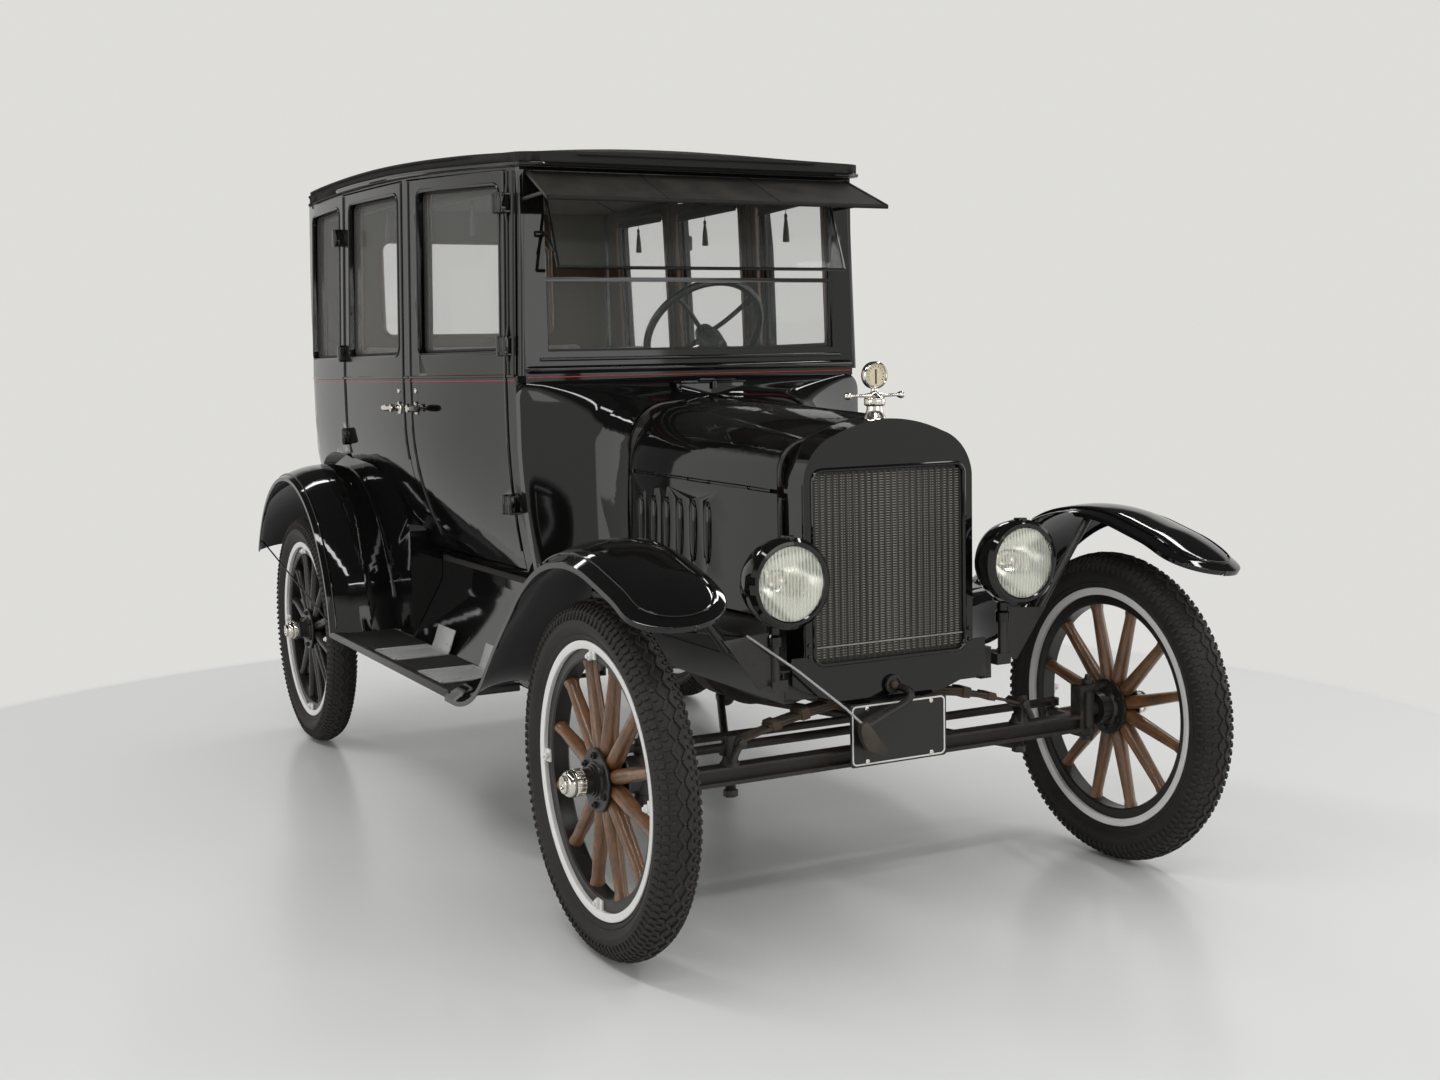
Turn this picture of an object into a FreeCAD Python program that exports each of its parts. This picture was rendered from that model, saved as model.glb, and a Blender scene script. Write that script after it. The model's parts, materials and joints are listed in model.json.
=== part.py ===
"""Four-door sedan of the early 1920s, in millimetres.

Frame: +X is the car's left-hand (driver's) side, -Y is forward, +Z is up.
The origin lies on the ground under the middle of the overall box.
"""
import FreeCAD, Part
import math
import os

V = FreeCAD.Vector
os.makedirs("parts", exist_ok=True)

# ---------------------------------------------------------------- driving sizes
WHEELBASE = 2540.0
TRACK = 1422.0
FRONT_AXLE_Y = -1300.0
REAR_AXLE_Y = FRONT_AXLE_Y + WHEELBASE
WHEEL_X = TRACK / 2
TYRE_R = 396.0
AXLE_Z = TYRE_R
FIT = 0.3                # between faces of two bodies that only pass each other
SWING_GAP = 5.0          # round a door or lid
SKIN = 3.0               # fenders, aprons and hood panels

# wheels: clincher tyre, steel rim, twelve wooden spokes, flanged hub
TYRE_HALF_W = 48.0
RIM_FLANGE_R = 304.0
RIM_FLANGE_X = 33.0
RIM_BASE_R = 288.0
RIM_SHEET = 4.0
FELLOE_INNER_R = 262.0
FELLOE_HALF_W = 22.0
SPOKES = 12
SPOKE_ROOT_R = 19.0
SPOKE_TIP_R = 15.0
HUB_FLANGE_R = 70.0
HUB_FLANGE_X = 24.0
HUB_BARREL_R = 34.0
HUB_CAP_R = 27.0
HUB_CAP_END = 105.0      # outboard of the wheel's middle plane
HUB_BORE_R = 19.0
BRAKE_DRUM_R = 110.0
BRAKE_DRUM_X = (-66.0, -28.0)

# front axle and steering
KINGPIN_X = 625.0
KINGPIN_R = 8.0
KINGPIN_Z = (322.0, 480.0)
YOKE_ARM = 18.0
YOKE_GAP_Z = (350.0, 442.0)
YOKE_R = 19.0
BEAM_Z = (345.0, 387.0)
BEAM_FLANGE = 9.0
BEAM_HALF_Y = 22.0
STEER_ARM = 140.0
STEER_ARM_Z = 366.0
STUD_R = 6.0
TIE_ROD_R = 11.0
TIE_ROD_Z = 392.0
DRAG_ROD_R = 10.0
DRAG_EYE_Z = 420.0
PITMAN_LENGTH = 105.0
PITMAN_BALL_R = 14.0
COLUMN_X = 245.0
WHEEL_HUB_Y = 55.0
WHEEL_HUB_Z = 1388.0
COLUMN_SLOPE = 38.0      # degrees between the column and the level
COLUMN_R = 19.0
COLUMN_END_Z = 621.5     # where the column's tube ends above the frame
COLUMN_LENGTH = (WHEEL_HUB_Z - COLUMN_END_Z) / math.sin(math.radians(COLUMN_SLOPE))
PITMAN_SHAFT_R = 8.0
PITMAN_ROOT_Z = 515.0
PITMAN_DISTANCE = (WHEEL_HUB_Z - PITMAN_ROOT_Z) / math.sin(math.radians(COLUMN_SLOPE))
HAND_WHEEL_R = 200.0
HAND_WHEEL_RIM = 12.0
BALL_JOINT = (0.0, -505.0, 366.0)
BALL_JOINT_R = 27.5
CRANK_Z = 536.0
CRANK_R = 11.0

# springs
FRONT_SPRING_Y = FRONT_AXLE_Y - 10.0
FRONT_SPRING_HALF = 392.0
FRONT_SPRING_END_Z = 438.0
FRONT_SPRING_TOP_Z = 497.0
REAR_SPRING_HALF = 545.0
REAR_SPRING_END_Z = 455.0
REAR_SPRING_TOP_Z = 622.0
FRONT_LEAVES = 4
REAR_LEAVES = 5
LEAF = 6.5
SPRING_HALF_Y = 22.0
PERCH_R = 14.0

# frame
RAIL_X = (258.0, 290.0)
RAIL_Z = (520.0, 596.0)
RAIL_REAR_GAP = 27.0     # from the rails' rear ends to the rear axle's middle
RAIL_Y = (-1344.7, REAR_AXLE_Y - RAIL_REAR_GAP)
LEDGE_X = (280.0, 288.0)
LEDGE_TOP = 690.0
RAIL_SHEET = 5.0

# cabin: plan stations along the side, with half-widths at belt and at roof
SILL_HALF = 490.0
BODY_BOTTOM = 712.0
FLOOR_Z = (694.0, BODY_BOTTOM)
TUCK_Z = 1150.0
BELT_Z = 1265.0
SILL_TOP = 1338.0
WALL = 38.0
BODY_FRONT_Y = -345.0
BODY_REAR_Y = 1560.0
STATIONS = (
    # y, half-width at the belt, half-width at the roof
    (-345.0, 529.0, 511.0),
    (-291.0, 535.0, 519.0),
    (326.0, 616.0, 600.0),
    (971.0, 641.0, 619.0),
    (1390.0, 634.0, 611.0),
    (1560.0, 612.0, 588.0),
)
REAR_CORNER_R = 135.0
FRONT_DOOR_Y = (-291.0, 321.0)
REAR_DOOR_Y = (369.0, 966.0)
DOOR_BOTTOM = 740.0
WINDOW_CORNER = 26.0
FRONT_WINDOW = (-252.0, 187.0)
REAR_WINDOW = (410.0, 851.0)
QUARTER_WINDOW = (1020.0, 1400.0)
WINDOW_HEAD = 47.0       # from the roof's edge down to the glass
GLASS_GROOVE = 12.0
DOOR_TOP_RAIL = 12.0
CABIN_HIDDEN_DEPTH = 5.0
BACK_LIGHT = (-330.0, 330.0, 1420.0, 1760.0)
GLASS = 6.0
HINGE_Z = {"front": (920.0, 1350.0, 1730.0), "rear": (1075.0, 1350.0, 1730.0)}
HINGE_OUT = 10.0
HINGE_BARREL_R = 8.0
HINGE_BARREL_H = 24.0
HINGE_KNUCKLE_H = 13.0
HINGE_PIN_R = 3.0
HANDLE_Z = 1177.0

# roof: underside line in side view
ROOF_Y = (-425.0, 1585.0)
ROOF_UNDER = ((-425.0, 1816.0), (326.0, 1861.0), (1585.0, 1876.0))
ROOF_EDGE = 36.0
ROOF_OVERHANG = 14.0

COWL_SHEET = 5.0

# windscreen
SCREEN_Y = (-377.0, BODY_FRONT_Y)
SCREEN_OPEN_X = 446.0
SCREEN_SILL_Z = (1293.0, 1332.0)
SCREEN_HEAD_Z = 1790.0
DIVIDER_Z = 1525.0
SCREEN_MIDDLE_Y = (SCREEN_Y[0] + SCREEN_Y[1]) / 2
SCREEN_BAR_Z = 1785.0
SCREEN_BAR_R = 6.0
SCREEN_OPEN_ANGLE = 22.0  # the upper pane stands ajar at its foot

# hood
HOOD_Y = (-1255.0, -548.0)
HOOD_ROD_R = 3.0
HOOD_BARREL_R = 6.0
HOOD_SHEET_X = 9.0
SIDE_PIN_R = 1.8
SIDE_BARREL_R = 4.0
SIDE_EDGE = 5.0          # from the shoulder hinge to each sheet's edge
COWL_FRONT_Y = -540.0
HOOD_TOP_Z = (1163.0, 1198.0)
HOOD_HINGE = ((246.0, 995.0), (289.0, 1013.0))
HOOD_BOTTOM_Z = 700.0
HOOD_HALF_BOTTOM = (246.0, 296.0)
LOUVRES = 6
LOUVRE_PITCH = 68.0
LOUVRE_FIRST_Y = -600.0
LOUVRE_Z = (800.0, 955.0)

# radiator
SHELL_Y = (-1350.0, -1262.0)
APRON_SHEET = 5.0
SHELL_HALF = 232.0
SHELL_TOP_Z = 1157.0
SHELL_FOOT_Z = RAIL_Z[1]
SHELL_SHEET = 5.0
SHELL_FACE = 8.0
CORE_HALF = 208.0
CORE_Z = (600.0, 1046.0)
CORE_TUBES = 23
CAP_Y = -1290.0

# fenders and running boards
FENDER_X = (577.0, 800.0)
FENDER_CROWN = 34.0
REAR_FENDER_CENTRE = (1210.0, 402.0)
REAR_FENDER_R = 530.0
HOUSING_X = (460.0, 589.0)
HOUSING_Y = (472.0, 1557.0)
SEAT_CLEARANCE = 10.0    # between the benches and the wheel housings
SEAT_HALF = HOUSING_X[0] - SEAT_CLEARANCE
BOARD_X = (590.0, 790.0)
BOARD_Y = (-460.0, 740.0)
BOARD_Z = (438.0, 460.0)
BOARD_IRONS_Y = (-330.0, 560.0)
STEP_PLATES_Y = (-250.0, 170.0)
FRONT_TIP_Y = -1715.0
REAR_TAIL_ANGLE = 26.44  # degrees above the level at which the rear fender ends

# lamps
LAMP_X = 317.0
LAMP_Y = -1430.0
LAMP_Z = 807.0
LAMP_R = 103.0
LENS_R = 88.0
LAMP_DEPTH = 106.0
TORQUE_TUBE_END = (0.0, -470.0, 452.0)
SILENCER_Z = 522.0
PLATE_Y = -1378.0
PLATE_HALF = 133.0
PLATE_Z = (357.0, 505.0)
PLATE_SHEET = 3.0
PLATE_HOLES = (178.0, 124.0)
PLATE_HOLE_R = 3.5
CRANK_ARM_Y = -1404.0


# ---------------------------------------------------------------- helpers
def box(x0, x1, y0, y1, z0, z1):
    """Box between two corners."""
    return Part.makeBox(x1 - x0, y1 - y0, z1 - z0, V(x0, y0, z0))


def rod(a, b, r):
    """Cylinder of radius r from point a to point b."""
    a, b = V(*a), V(*b)
    return Part.makeCylinder(r, (b - a).Length, a, b - a)


def cone(a, b, r0, r1):
    """Cone or taper from radius r0 at a to r1 at b."""
    a, b = V(*a), V(*b)
    return Part.makeCone(r0, r1, (b - a).Length, a, b - a)


def pipe(points, r):
    """Round bar through the points, rounded at its corners."""
    parts = [rod(a, b, r) for a, b in zip(points, points[1:])]
    parts += [Part.makeSphere(r, V(*p)) for p in points[1:-1]]
    return fuse(parts)


def fuse(shapes):
    """One shape from several that touch or overlap."""
    shapes = list(shapes)
    if len(shapes) == 1:
        return shapes[0]
    return shapes[0].multiFuse(shapes[1:]).removeSplitter()


def mirror(shape):
    """The same shape on the other side of the car."""
    return shape.mirror(V(0, 0, 0), V(1, 0, 0))


def both(shape):
    """A left-hand shape and its right-hand mirror image, as separate solids."""
    return Part.makeCompound(shape.Solids + mirror(shape).Solids)


def face(points, place):
    """Closed outline; place turns a pair into a point. A triple marks an arc's middle."""
    edges, i, n = [], 0, len(points)
    loop = points + [points[0]]
    while i < n:
        a, b = loop[i], loop[i + 1]
        if len(b) == 3:
            c = loop[i + 2]
            edges.append(Part.Arc(place(a), place(b[:2]), place(c)).toShape())
            i += 2
        else:
            if place(a).distanceToPoint(place(b)) > 1e-6:
                edges.append(Part.LineSegment(place(a), place(b)).toShape())
            i += 1
    return Part.Wire(edges)


def side(x):
    """Pairs are (y, z) on the plane at x."""
    return lambda p: V(x, p[0], p[1])


def front(y):
    """Pairs are (x, z) on the plane at y."""
    return lambda p: V(p[0], y, p[1])


def plan(z):
    """Pairs are (x, y) on the plane at z."""
    return lambda p: V(p[0], p[1], z)


def prism(points, place, along):
    """Solid from a closed outline, extruded along a vector."""
    return Part.Face(face(points, place)).extrude(V(*along))


def rounded(a0, a1, b0, b1, r):
    """Outline of a rectangle with round corners, as pairs and arc middles."""
    k = r * (1 - math.sqrt(0.5))
    return [(a0 + r, b0), (a1 - r, b0), (a1 - k, b0 + k, 0), (a1, b0 + r), (a1, b1 - r),
            (a1 - k, b1 - k, 0), (a1 - r, b1), (a0 + r, b1), (a0 + k, b1 - k, 0),
            (a0, b1 - r), (a0, b0 + r), (a0 + k, b0 + k, 0)]


def turned(profile, centre, axis, angle=360.0, start=None):
    """Solid of revolution of a closed outline."""
    f = Part.Face(profile)
    if start:
        f.rotate(centre, axis, start)
    return f.revolve(centre, axis, angle)


def largest(shape):
    """The biggest of a shape's solids."""
    return max(shape.Solids, key=lambda solid: solid.Volume)


def save(name, shape):
    """Write one node; solids that do not touch stay separate solids of it."""
    solids = shape.Solids
    shape = solids[0] if len(solids) == 1 else Part.makeCompound(solids)
    shape.exportStep("parts/%s.step" % name)
    FINISHED[name] = shape


FINISHED = {}


def at_station(y, column):
    """Half-width between two stations, by straight interpolation."""
    for a, b in zip(STATIONS, STATIONS[1:]):
        if y <= b[0]:
            t = (y - a[0]) / (b[0] - a[0])
            return a[column] + t * (b[column] - a[column])
    return STATIONS[-1][column]


def tuck(z, belt_half):
    """How far the side has turned under at height z."""
    if z >= TUCK_Z:
        return 0.0
    d = belt_half - SILL_HALF
    h = TUCK_Z - BODY_BOTTOM
    r = (d * d + h * h) / (2 * d)
    return r - math.sqrt(r * r - (TUCK_Z - z) ** 2)


def side_half(y, z):
    """Half-width of the cabin's outside at any place on its side."""
    belt, roof = at_station(y, 1), at_station(y, 2)
    if z <= BELT_Z:
        return belt - tuck(z, belt)
    return belt + (roof - belt) * (z - BELT_Z) / (ROOF_UNDER[1][1] - BELT_Z)


def roof_under(y):
    """Height of the roof's underside at y."""
    (y0, z0), (y1, z1), (y2, z2) = ROOF_UNDER
    l0 = (y - y1) * (y - y2) / ((y0 - y1) * (y0 - y2))
    l1 = (y - y0) * (y - y2) / ((y1 - y0) * (y1 - y2))
    l2 = (y - y0) * (y - y1) / ((y2 - y0) * (y2 - y1))
    return z0 * l0 + z1 * l1 + z2 * l2


# ---------------------------------------------------------------- wheels
def tyre(cx, cy):
    """Clincher tyre, its beads inside the rim's flanges."""
    inner = RIM_BASE_R + RIM_SHEET + FIT
    bead = RIM_FLANGE_X - RIM_SHEET - FIT
    pts = [(bead, inner), (bead, RIM_FLANGE_R + 3), (TYRE_HALF_W, 345.0, 0), (39.0, 381.0),
           (0.0, TYRE_R, 0), (-39.0, 381.0), (-TYRE_HALF_W, 345.0, 0), (-bead, RIM_FLANGE_R + 3),
           (-bead, inner)]
    wire = face(pts, lambda p: V(cx + p[0], cy, AXLE_Z + p[1]))
    return turned(wire, V(cx, cy, AXLE_Z), V(1, 0, 0))


def wheel(cx, cy, sign, drum):
    """Rim, felloe, spokes and hub on one axis; sign points outboard."""
    centre = V(cx, cy, AXLE_Z)
    axis = V(1, 0, 0)

    def ring(x0, x1, r0, r1):
        x0, x1 = sorted((cx + sign * x0, cx + sign * x1))
        outer = Part.makeCylinder(r1, x1 - x0, V(x0, cy, AXLE_Z), axis)
        inner = Part.makeCylinder(r0, x1 - x0, V(x0, cy, AXLE_Z), axis)
        return outer.cut(inner)

    base = RIM_FLANGE_X - RIM_SHEET
    pieces = [
        ring(-RIM_FLANGE_X, RIM_FLANGE_X, RIM_BASE_R, RIM_BASE_R + RIM_SHEET),
        ring(base, RIM_FLANGE_X, RIM_BASE_R, RIM_FLANGE_R),
        ring(-RIM_FLANGE_X, -base, RIM_BASE_R, RIM_FLANGE_R),
        ring(-FELLOE_HALF_W, FELLOE_HALF_W, FELLOE_INNER_R, RIM_BASE_R),
        ring(-HUB_FLANGE_X, HUB_FLANGE_X, HUB_BORE_R, HUB_FLANGE_R),
        ring(HUB_FLANGE_X, 72.0, HUB_BORE_R, HUB_BARREL_R),
        ring(-66.0, -HUB_FLANGE_X, HUB_BORE_R, HUB_BARREL_R + 6),
    ]
    pieces.append(rod((cx + sign * 72.0, cy, AXLE_Z), (cx + sign * HUB_CAP_END, cy, AXLE_Z), HUB_CAP_R))
    if drum:
        pieces.append(ring(BRAKE_DRUM_X[0], BRAKE_DRUM_X[1], HUB_BORE_R, BRAKE_DRUM_R))
    for i in range(SPOKES):
        a = 2 * math.pi * (i + 0.5) / SPOKES
        d = V(0, math.cos(a), math.sin(a))
        pieces.append(Part.makeCone(SPOKE_ROOT_R, SPOKE_TIP_R, FELLOE_INNER_R - 48.0 + 8.0,
                                    centre + d * 48.0, d))
    return fuse(pieces)


WHEELS = (
    # corner, x, y, outboard sign, rear brake drum
    ("front_left", WHEEL_X, FRONT_AXLE_Y, 1, False),
    ("front_right", -WHEEL_X, FRONT_AXLE_Y, -1, False),
    ("rear_left", WHEEL_X, REAR_AXLE_Y, 1, True),
    ("rear_right", -WHEEL_X, REAR_AXLE_Y, -1, True),
)


def make_wheels():
    for corner, x, y, sign, drum in WHEELS:
        save("tyre_" + corner, tyre(x, y))
        save("wheel_" + corner, wheel(x, y, sign, drum))


# ---------------------------------------------------------------- running gear
def leaf_stack(y, half, end_z, top_z, leaves, step):
    """Transverse spring: the long leaf lowest, shorter ones stacked on it."""
    rise = top_z - end_z
    radius = (half * half + rise * rise) / (2 * rise)
    parts = []
    for i in range(leaves):
        span = half - step * i
        r0 = radius + LEAF * i
        r1 = r0 + LEAF
        zc = top_z - radius

        def at(x, r):
            return (x, zc + math.sqrt(r * r - x * x))
        pts = [at(-span, r0), (0, zc + r0, 0), at(span, r0), at(span, r1), (0, zc + r1, 0),
               at(-span, r1)]
        parts.append(prism(pts, front(y - SPRING_HALF_Y), (0, 2 * SPRING_HALF_Y, 0)))
    return fuse(parts)


def make_springs():
    fore = leaf_stack(FRONT_SPRING_Y, FRONT_SPRING_HALF, FRONT_SPRING_END_Z,
                      FRONT_SPRING_TOP_Z, FRONT_LEAVES, 75.0)
    aft = leaf_stack(REAR_AXLE_Y, REAR_SPRING_HALF, REAR_SPRING_END_Z,
                     REAR_SPRING_TOP_Z, REAR_LEAVES, 90.0)
    save("springs", Part.makeCompound(fore.Solids + aft.Solids))


def make_front_axle():
    """I-section beam, forked ends, spring perches and the two radius rods."""
    y = FRONT_AXLE_Y
    end = KINGPIN_X - YOKE_R - 14
    z0, z1 = BEAM_Z
    beam = [box(-end, end, y - BEAM_HALF_Y, y + BEAM_HALF_Y, z0, z0 + BEAM_FLANGE),
            box(-end, end, y - BEAM_HALF_Y, y + BEAM_HALF_Y, z1 - BEAM_FLANGE, z1),
            box(-end, end, y - 4, y + 4, z0, z1)]
    arms = []
    for s in (1, -1):
        x = s * KINGPIN_X
        lower = YOKE_GAP_Z[0] - YOKE_ARM
        upper = YOKE_GAP_Z[1] + YOKE_ARM
        back = sorted((s * (end - 6), s * end + s * 8))
        arms.append(box(back[0], back[1], y - YOKE_R, y + YOKE_R, lower, upper))
        for za in (lower, YOKE_GAP_Z[1]):
            reach = sorted((s * end, x))
            arms.append(box(reach[0], reach[1], y - YOKE_R, y + YOKE_R, za, za + YOKE_ARM))
            arms.append(Part.makeCylinder(YOKE_R, YOKE_ARM, V(x, y, za)))
        arms.append(rod((x, y, KINGPIN_Z[0]), (x, y, KINGPIN_Z[1]), KINGPIN_R))
        perch_x = s * (FRONT_SPRING_HALF + PERCH_R + FIT)
        arms.append(rod((perch_x, FRONT_SPRING_Y, z1 - 4), (perch_x, FRONT_SPRING_Y,
                                                            FRONT_SPRING_END_Z + 18), PERCH_R))
        arms.append(rod((perch_x, y, z0 - 15), (perch_x, y, z0 + 4), 12.0))
        arms.append(pipe([(perch_x, y, z0 - 15), (s * 22.0, BALL_JOINT[1] - 12, BALL_JOINT[2])], 11.0))
    ball = Part.makeSphere(BALL_JOINT_R, V(*BALL_JOINT))
    save("front_axle", fuse(beam + arms + [ball]))


def make_rear_axle():
    """Bell-shaped centre housing, tapered tubes, torque tube and radius rods."""
    y, z = REAR_AXLE_Y, AXLE_Z
    pts = [(0, 0), (0, 142.0), (26.0, 142.0), (95.0, 112.0, 0), (150.0, 44.0), (560.0, 30.0),
           (560.0, 92.0), (WHEEL_X - 70.0, 92.0), (WHEEL_X - 70.0, 0)]
    half = turned(face(pts, lambda p: V(p[0], y, z + p[1])), V(0, y, z), V(1, 0, 0))
    stub = rod((0, y, z), (WHEEL_X + 60, y, z), HUB_BORE_R - FIT)
    tube = cone((0, y, z), (0, TORQUE_TUBE_END[1] + 120, TORQUE_TUBE_END[2] - 6), 62.0, 34.0)
    nose = cone((0, TORQUE_TUBE_END[1] + 120, TORQUE_TUBE_END[2] - 6), TORQUE_TUBE_END, 34.0, 48.0)
    parts = [half, mirror(half), stub, mirror(stub), tube, nose]
    for s in (1, -1):
        parts.append(pipe([(s * 545.0, y - 20, z - 20), (s * 40.0, -250.0, 442.0)], 11.0))
        perch_x = s * (REAR_SPRING_HALF + PERCH_R + FIT)
        parts.append(rod((perch_x, y, z), (perch_x, y, REAR_SPRING_END_Z + 14), PERCH_R))
    save("rear_axle", fuse(parts).cut(box(-200, 200, -900, TORQUE_TUBE_END[1] + FIT, 0, 900)))


def make_frame():
    """Two channel rails, front, middle and rear cross members."""
    x0, x1 = RAIL_X
    z0, z1 = RAIL_Z
    y0, y1 = RAIL_Y
    rail = box(x0, x1, y0, y1, z0, z1).cut(
        box(x0 - 1, x1 - RAIL_SHEET, y0 - 1, y1 + 1, z0 + RAIL_SHEET, z1 - RAIL_SHEET))
    parts = [rail, mirror(rail)]
    spring_top = FRONT_SPRING_TOP_Z + FRONT_LEAVES * LEAF
    member = box(-x1, x1, FRONT_SPRING_Y - 27, FRONT_SPRING_Y + 27, spring_top, z1)
    parts.append(member.cut(rod((0, y0 - 50, CRANK_Z), (0, y0 + 200, CRANK_Z), CRANK_R + FIT)))
    parts.append(box(-x1, x1, -480.0, -430.0, z1 - 30, z1))
    rise = REAR_SPRING_TOP_Z - REAR_SPRING_END_Z
    bend = (REAR_SPRING_HALF ** 2 + rise ** 2) / (2 * rise)
    under = bend + REAR_LEAVES * LEAF + FIT
    over = under + 28.0
    middle_z = REAR_SPRING_TOP_Z - bend
    parts.append(prism([(-x1, middle_z + math.sqrt(under ** 2 - x1 ** 2)), (0, middle_z + under, 0),
                        (x1, middle_z + math.sqrt(under ** 2 - x1 ** 2)),
                        (x1, middle_z + math.sqrt(over ** 2 - x1 ** 2)), (0, middle_z + over, 0),
                        (-x1, middle_z + math.sqrt(over ** 2 - x1 ** 2))],
                       front(REAR_AXLE_Y - 25.0), (0, 50.0, 0)))
    riser = box(x0, x1, y1 - 38.0, REAR_AXLE_Y - 25.0, z0, middle_z + math.sqrt(over ** 2 - x1 ** 2))
    parts += [riser, mirror(riser)]
    web = box(LEDGE_X[0], LEDGE_X[1], HOOD_Y[0], HOOD_Y[1], z1, LEDGE_TOP)
    shelf = prism([(HOOD_HALF_BOTTOM[0] - 10, HOOD_Y[0]), (LEDGE_X[1], HOOD_Y[0]),
                   (HOOD_HALF_BOTTOM[1] + 2, HOOD_Y[1]),
                   (HOOD_HALF_BOTTOM[1] - 30, HOOD_Y[1])], plan(LEDGE_TOP - 4), (0, 0, 4))
    column = rod(column_point(0.0), column_point(COLUMN_LENGTH), COLUMN_R + 6)
    ledge = fuse([web, shelf]).cut(column)
    parts += [ledge, mirror(ledge)]
    save("frame", fuse(parts))


def make_engine():
    """Engine and transmission as one block at their place, with the rounded pan below."""
    y0, y1 = -1165.0, -650.0
    block = box(-105.0, 105.0, y0, y1, CRANK_Z - 40, 900.0)
    fore_pan = rod((0, y0, CRANK_Z - 6), (0, -860.0, CRANK_Z - 6), 92.0)
    pan = rod((0, -860.0, CRANK_Z - 6), (0, y1, CRANK_Z - 6), 126.0)
    bell = rod((0, y1, CRANK_Z + 4), (0, -560.0, CRANK_Z + 4), 160.0)
    gearbox = cone((0, y1, 500.0), TORQUE_TUBE_END, 130.0, 49.0)
    arms = box(-LEDGE_X[0] + 6, LEDGE_X[0] - 6, -620.0, -590.0, RAIL_Z[1], RAIL_Z[1] + 10)
    whole = fuse([block, fore_pan, pan, bell, gearbox, arms])
    save("engine", whole.cut(box(-200, 200, TORQUE_TUBE_END[1], 0, 0, 900)))


def make_exhaust():
    run = pipe([(-105.0, -760.0, 640.0), (-168.0, -760.0, 640.0), (-208.0, -600.0, 500.0),
                (-208.0, -100.0, 500.0),
                (-150.0, 150.0, SILENCER_Z)], 20.0)
    silencer = rod((-150.0, 150.0, SILENCER_Z), (-150.0, 620.0, SILENCER_Z), 60.0)
    tail = rod((-150.0, 620.0, SILENCER_Z), (-150.0, 760.0, SILENCER_Z), 16.0)
    strap = box(-275.0, -150.0, 380.0, 400.0, RAIL_Z[1] - RAIL_SHEET - 10, RAIL_Z[1] - RAIL_SHEET)
    save("exhaust", fuse([run, silencer, tail, strap]))


# ---------------------------------------------------------------- steering
def column_point(distance):
    """Point on the column's axis, measured down from the hand wheel's hub."""
    a = math.radians(COLUMN_SLOPE)
    return (COLUMN_X, WHEEL_HUB_Y - distance * math.cos(a), WHEEL_HUB_Z - distance * math.sin(a))


def make_knuckles():
    for name, s in (("left", 1), ("right", -1)):
        x, y = s * KINGPIN_X, FRONT_AXLE_Y
        low, high = YOKE_GAP_Z[0] + FIT, YOKE_GAP_Z[1] - FIT
        barrel = rod((x, y, low), (x, y, high), YOKE_R - 2)
        bore = rod((x, y, low - 1), (x, y, high + 1), KINGPIN_R + FIT)
        spindle = rod((x, y, AXLE_Z), (s * (WHEEL_X + 60), y, AXLE_Z), HUB_BORE_R - FIT)
        arm = box(x - 9, x + 9, y, y + STEER_ARM, STEER_ARM_Z - 7, STEER_ARM_Z + 7)
        eye = rod((x, y + STEER_ARM, STEER_ARM_Z - 9), (x, y + STEER_ARM, STEER_ARM_Z + 9), 15.0)
        stud = rod((x, y + STEER_ARM, STEER_ARM_Z), (x, y + STEER_ARM,
                                                     (TIE_ROD_Z + 12) if s > 0 else DRAG_EYE_Z + 12),
                   STUD_R)
        save("knuckle_" + name, fuse([barrel, spindle, arm, eye, stud]).cut(bore))


def make_linkage():
    """Tie rod behind the axle, drag link from the gear's arm to the right-hand arm."""
    y = FRONT_AXLE_Y + STEER_ARM
    bar = rod((-KINGPIN_X, y, TIE_ROD_Z), (KINGPIN_X, y, TIE_ROD_Z), TIE_ROD_R)
    eyes, bores = [], []
    for s in (1, -1):
        eyes.append(rod((s * KINGPIN_X, y, TIE_ROD_Z - 9), (s * KINGPIN_X, y, TIE_ROD_Z + 9), 17.0))
        bores.append(rod((s * KINGPIN_X, y, TIE_ROD_Z - 20), (s * KINGPIN_X, y, TIE_ROD_Z + 20),
                         STUD_R + FIT))
    save("tie_rod", fuse([bar] + eyes).cut(Part.makeCompound(bores)))
    ball = PITMAN_BALL
    cup_top = ball[2] - PITMAN_BALL_R - 0.7
    inner = (ball[0], ball[1], cup_top - 40.0)
    outer = (-KINGPIN_X, y, DRAG_EYE_Z)
    link = rod(outer, inner, DRAG_ROD_R)
    eye = rod((-KINGPIN_X, y, DRAG_EYE_Z - 8), (-KINGPIN_X, y, DRAG_EYE_Z + 8), 16.0)
    bore = rod((-KINGPIN_X, y, DRAG_EYE_Z - 20), (-KINGPIN_X, y, DRAG_EYE_Z + 20), STUD_R + FIT)
    cup = rod((inner[0], inner[1], inner[2] - 10), (inner[0], inner[1], cup_top), 15.0)
    save("drag_link", fuse([link, eye, cup]).cut(bore))


PITMAN_ROOT = column_point(PITMAN_DISTANCE)
PITMAN_BALL = (PITMAN_ROOT[0],
               PITMAN_ROOT[1] + PITMAN_LENGTH * math.sin(math.radians(COLUMN_SLOPE)),
               PITMAN_ROOT[2] - PITMAN_LENGTH * math.cos(math.radians(COLUMN_SLOPE)))


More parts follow.
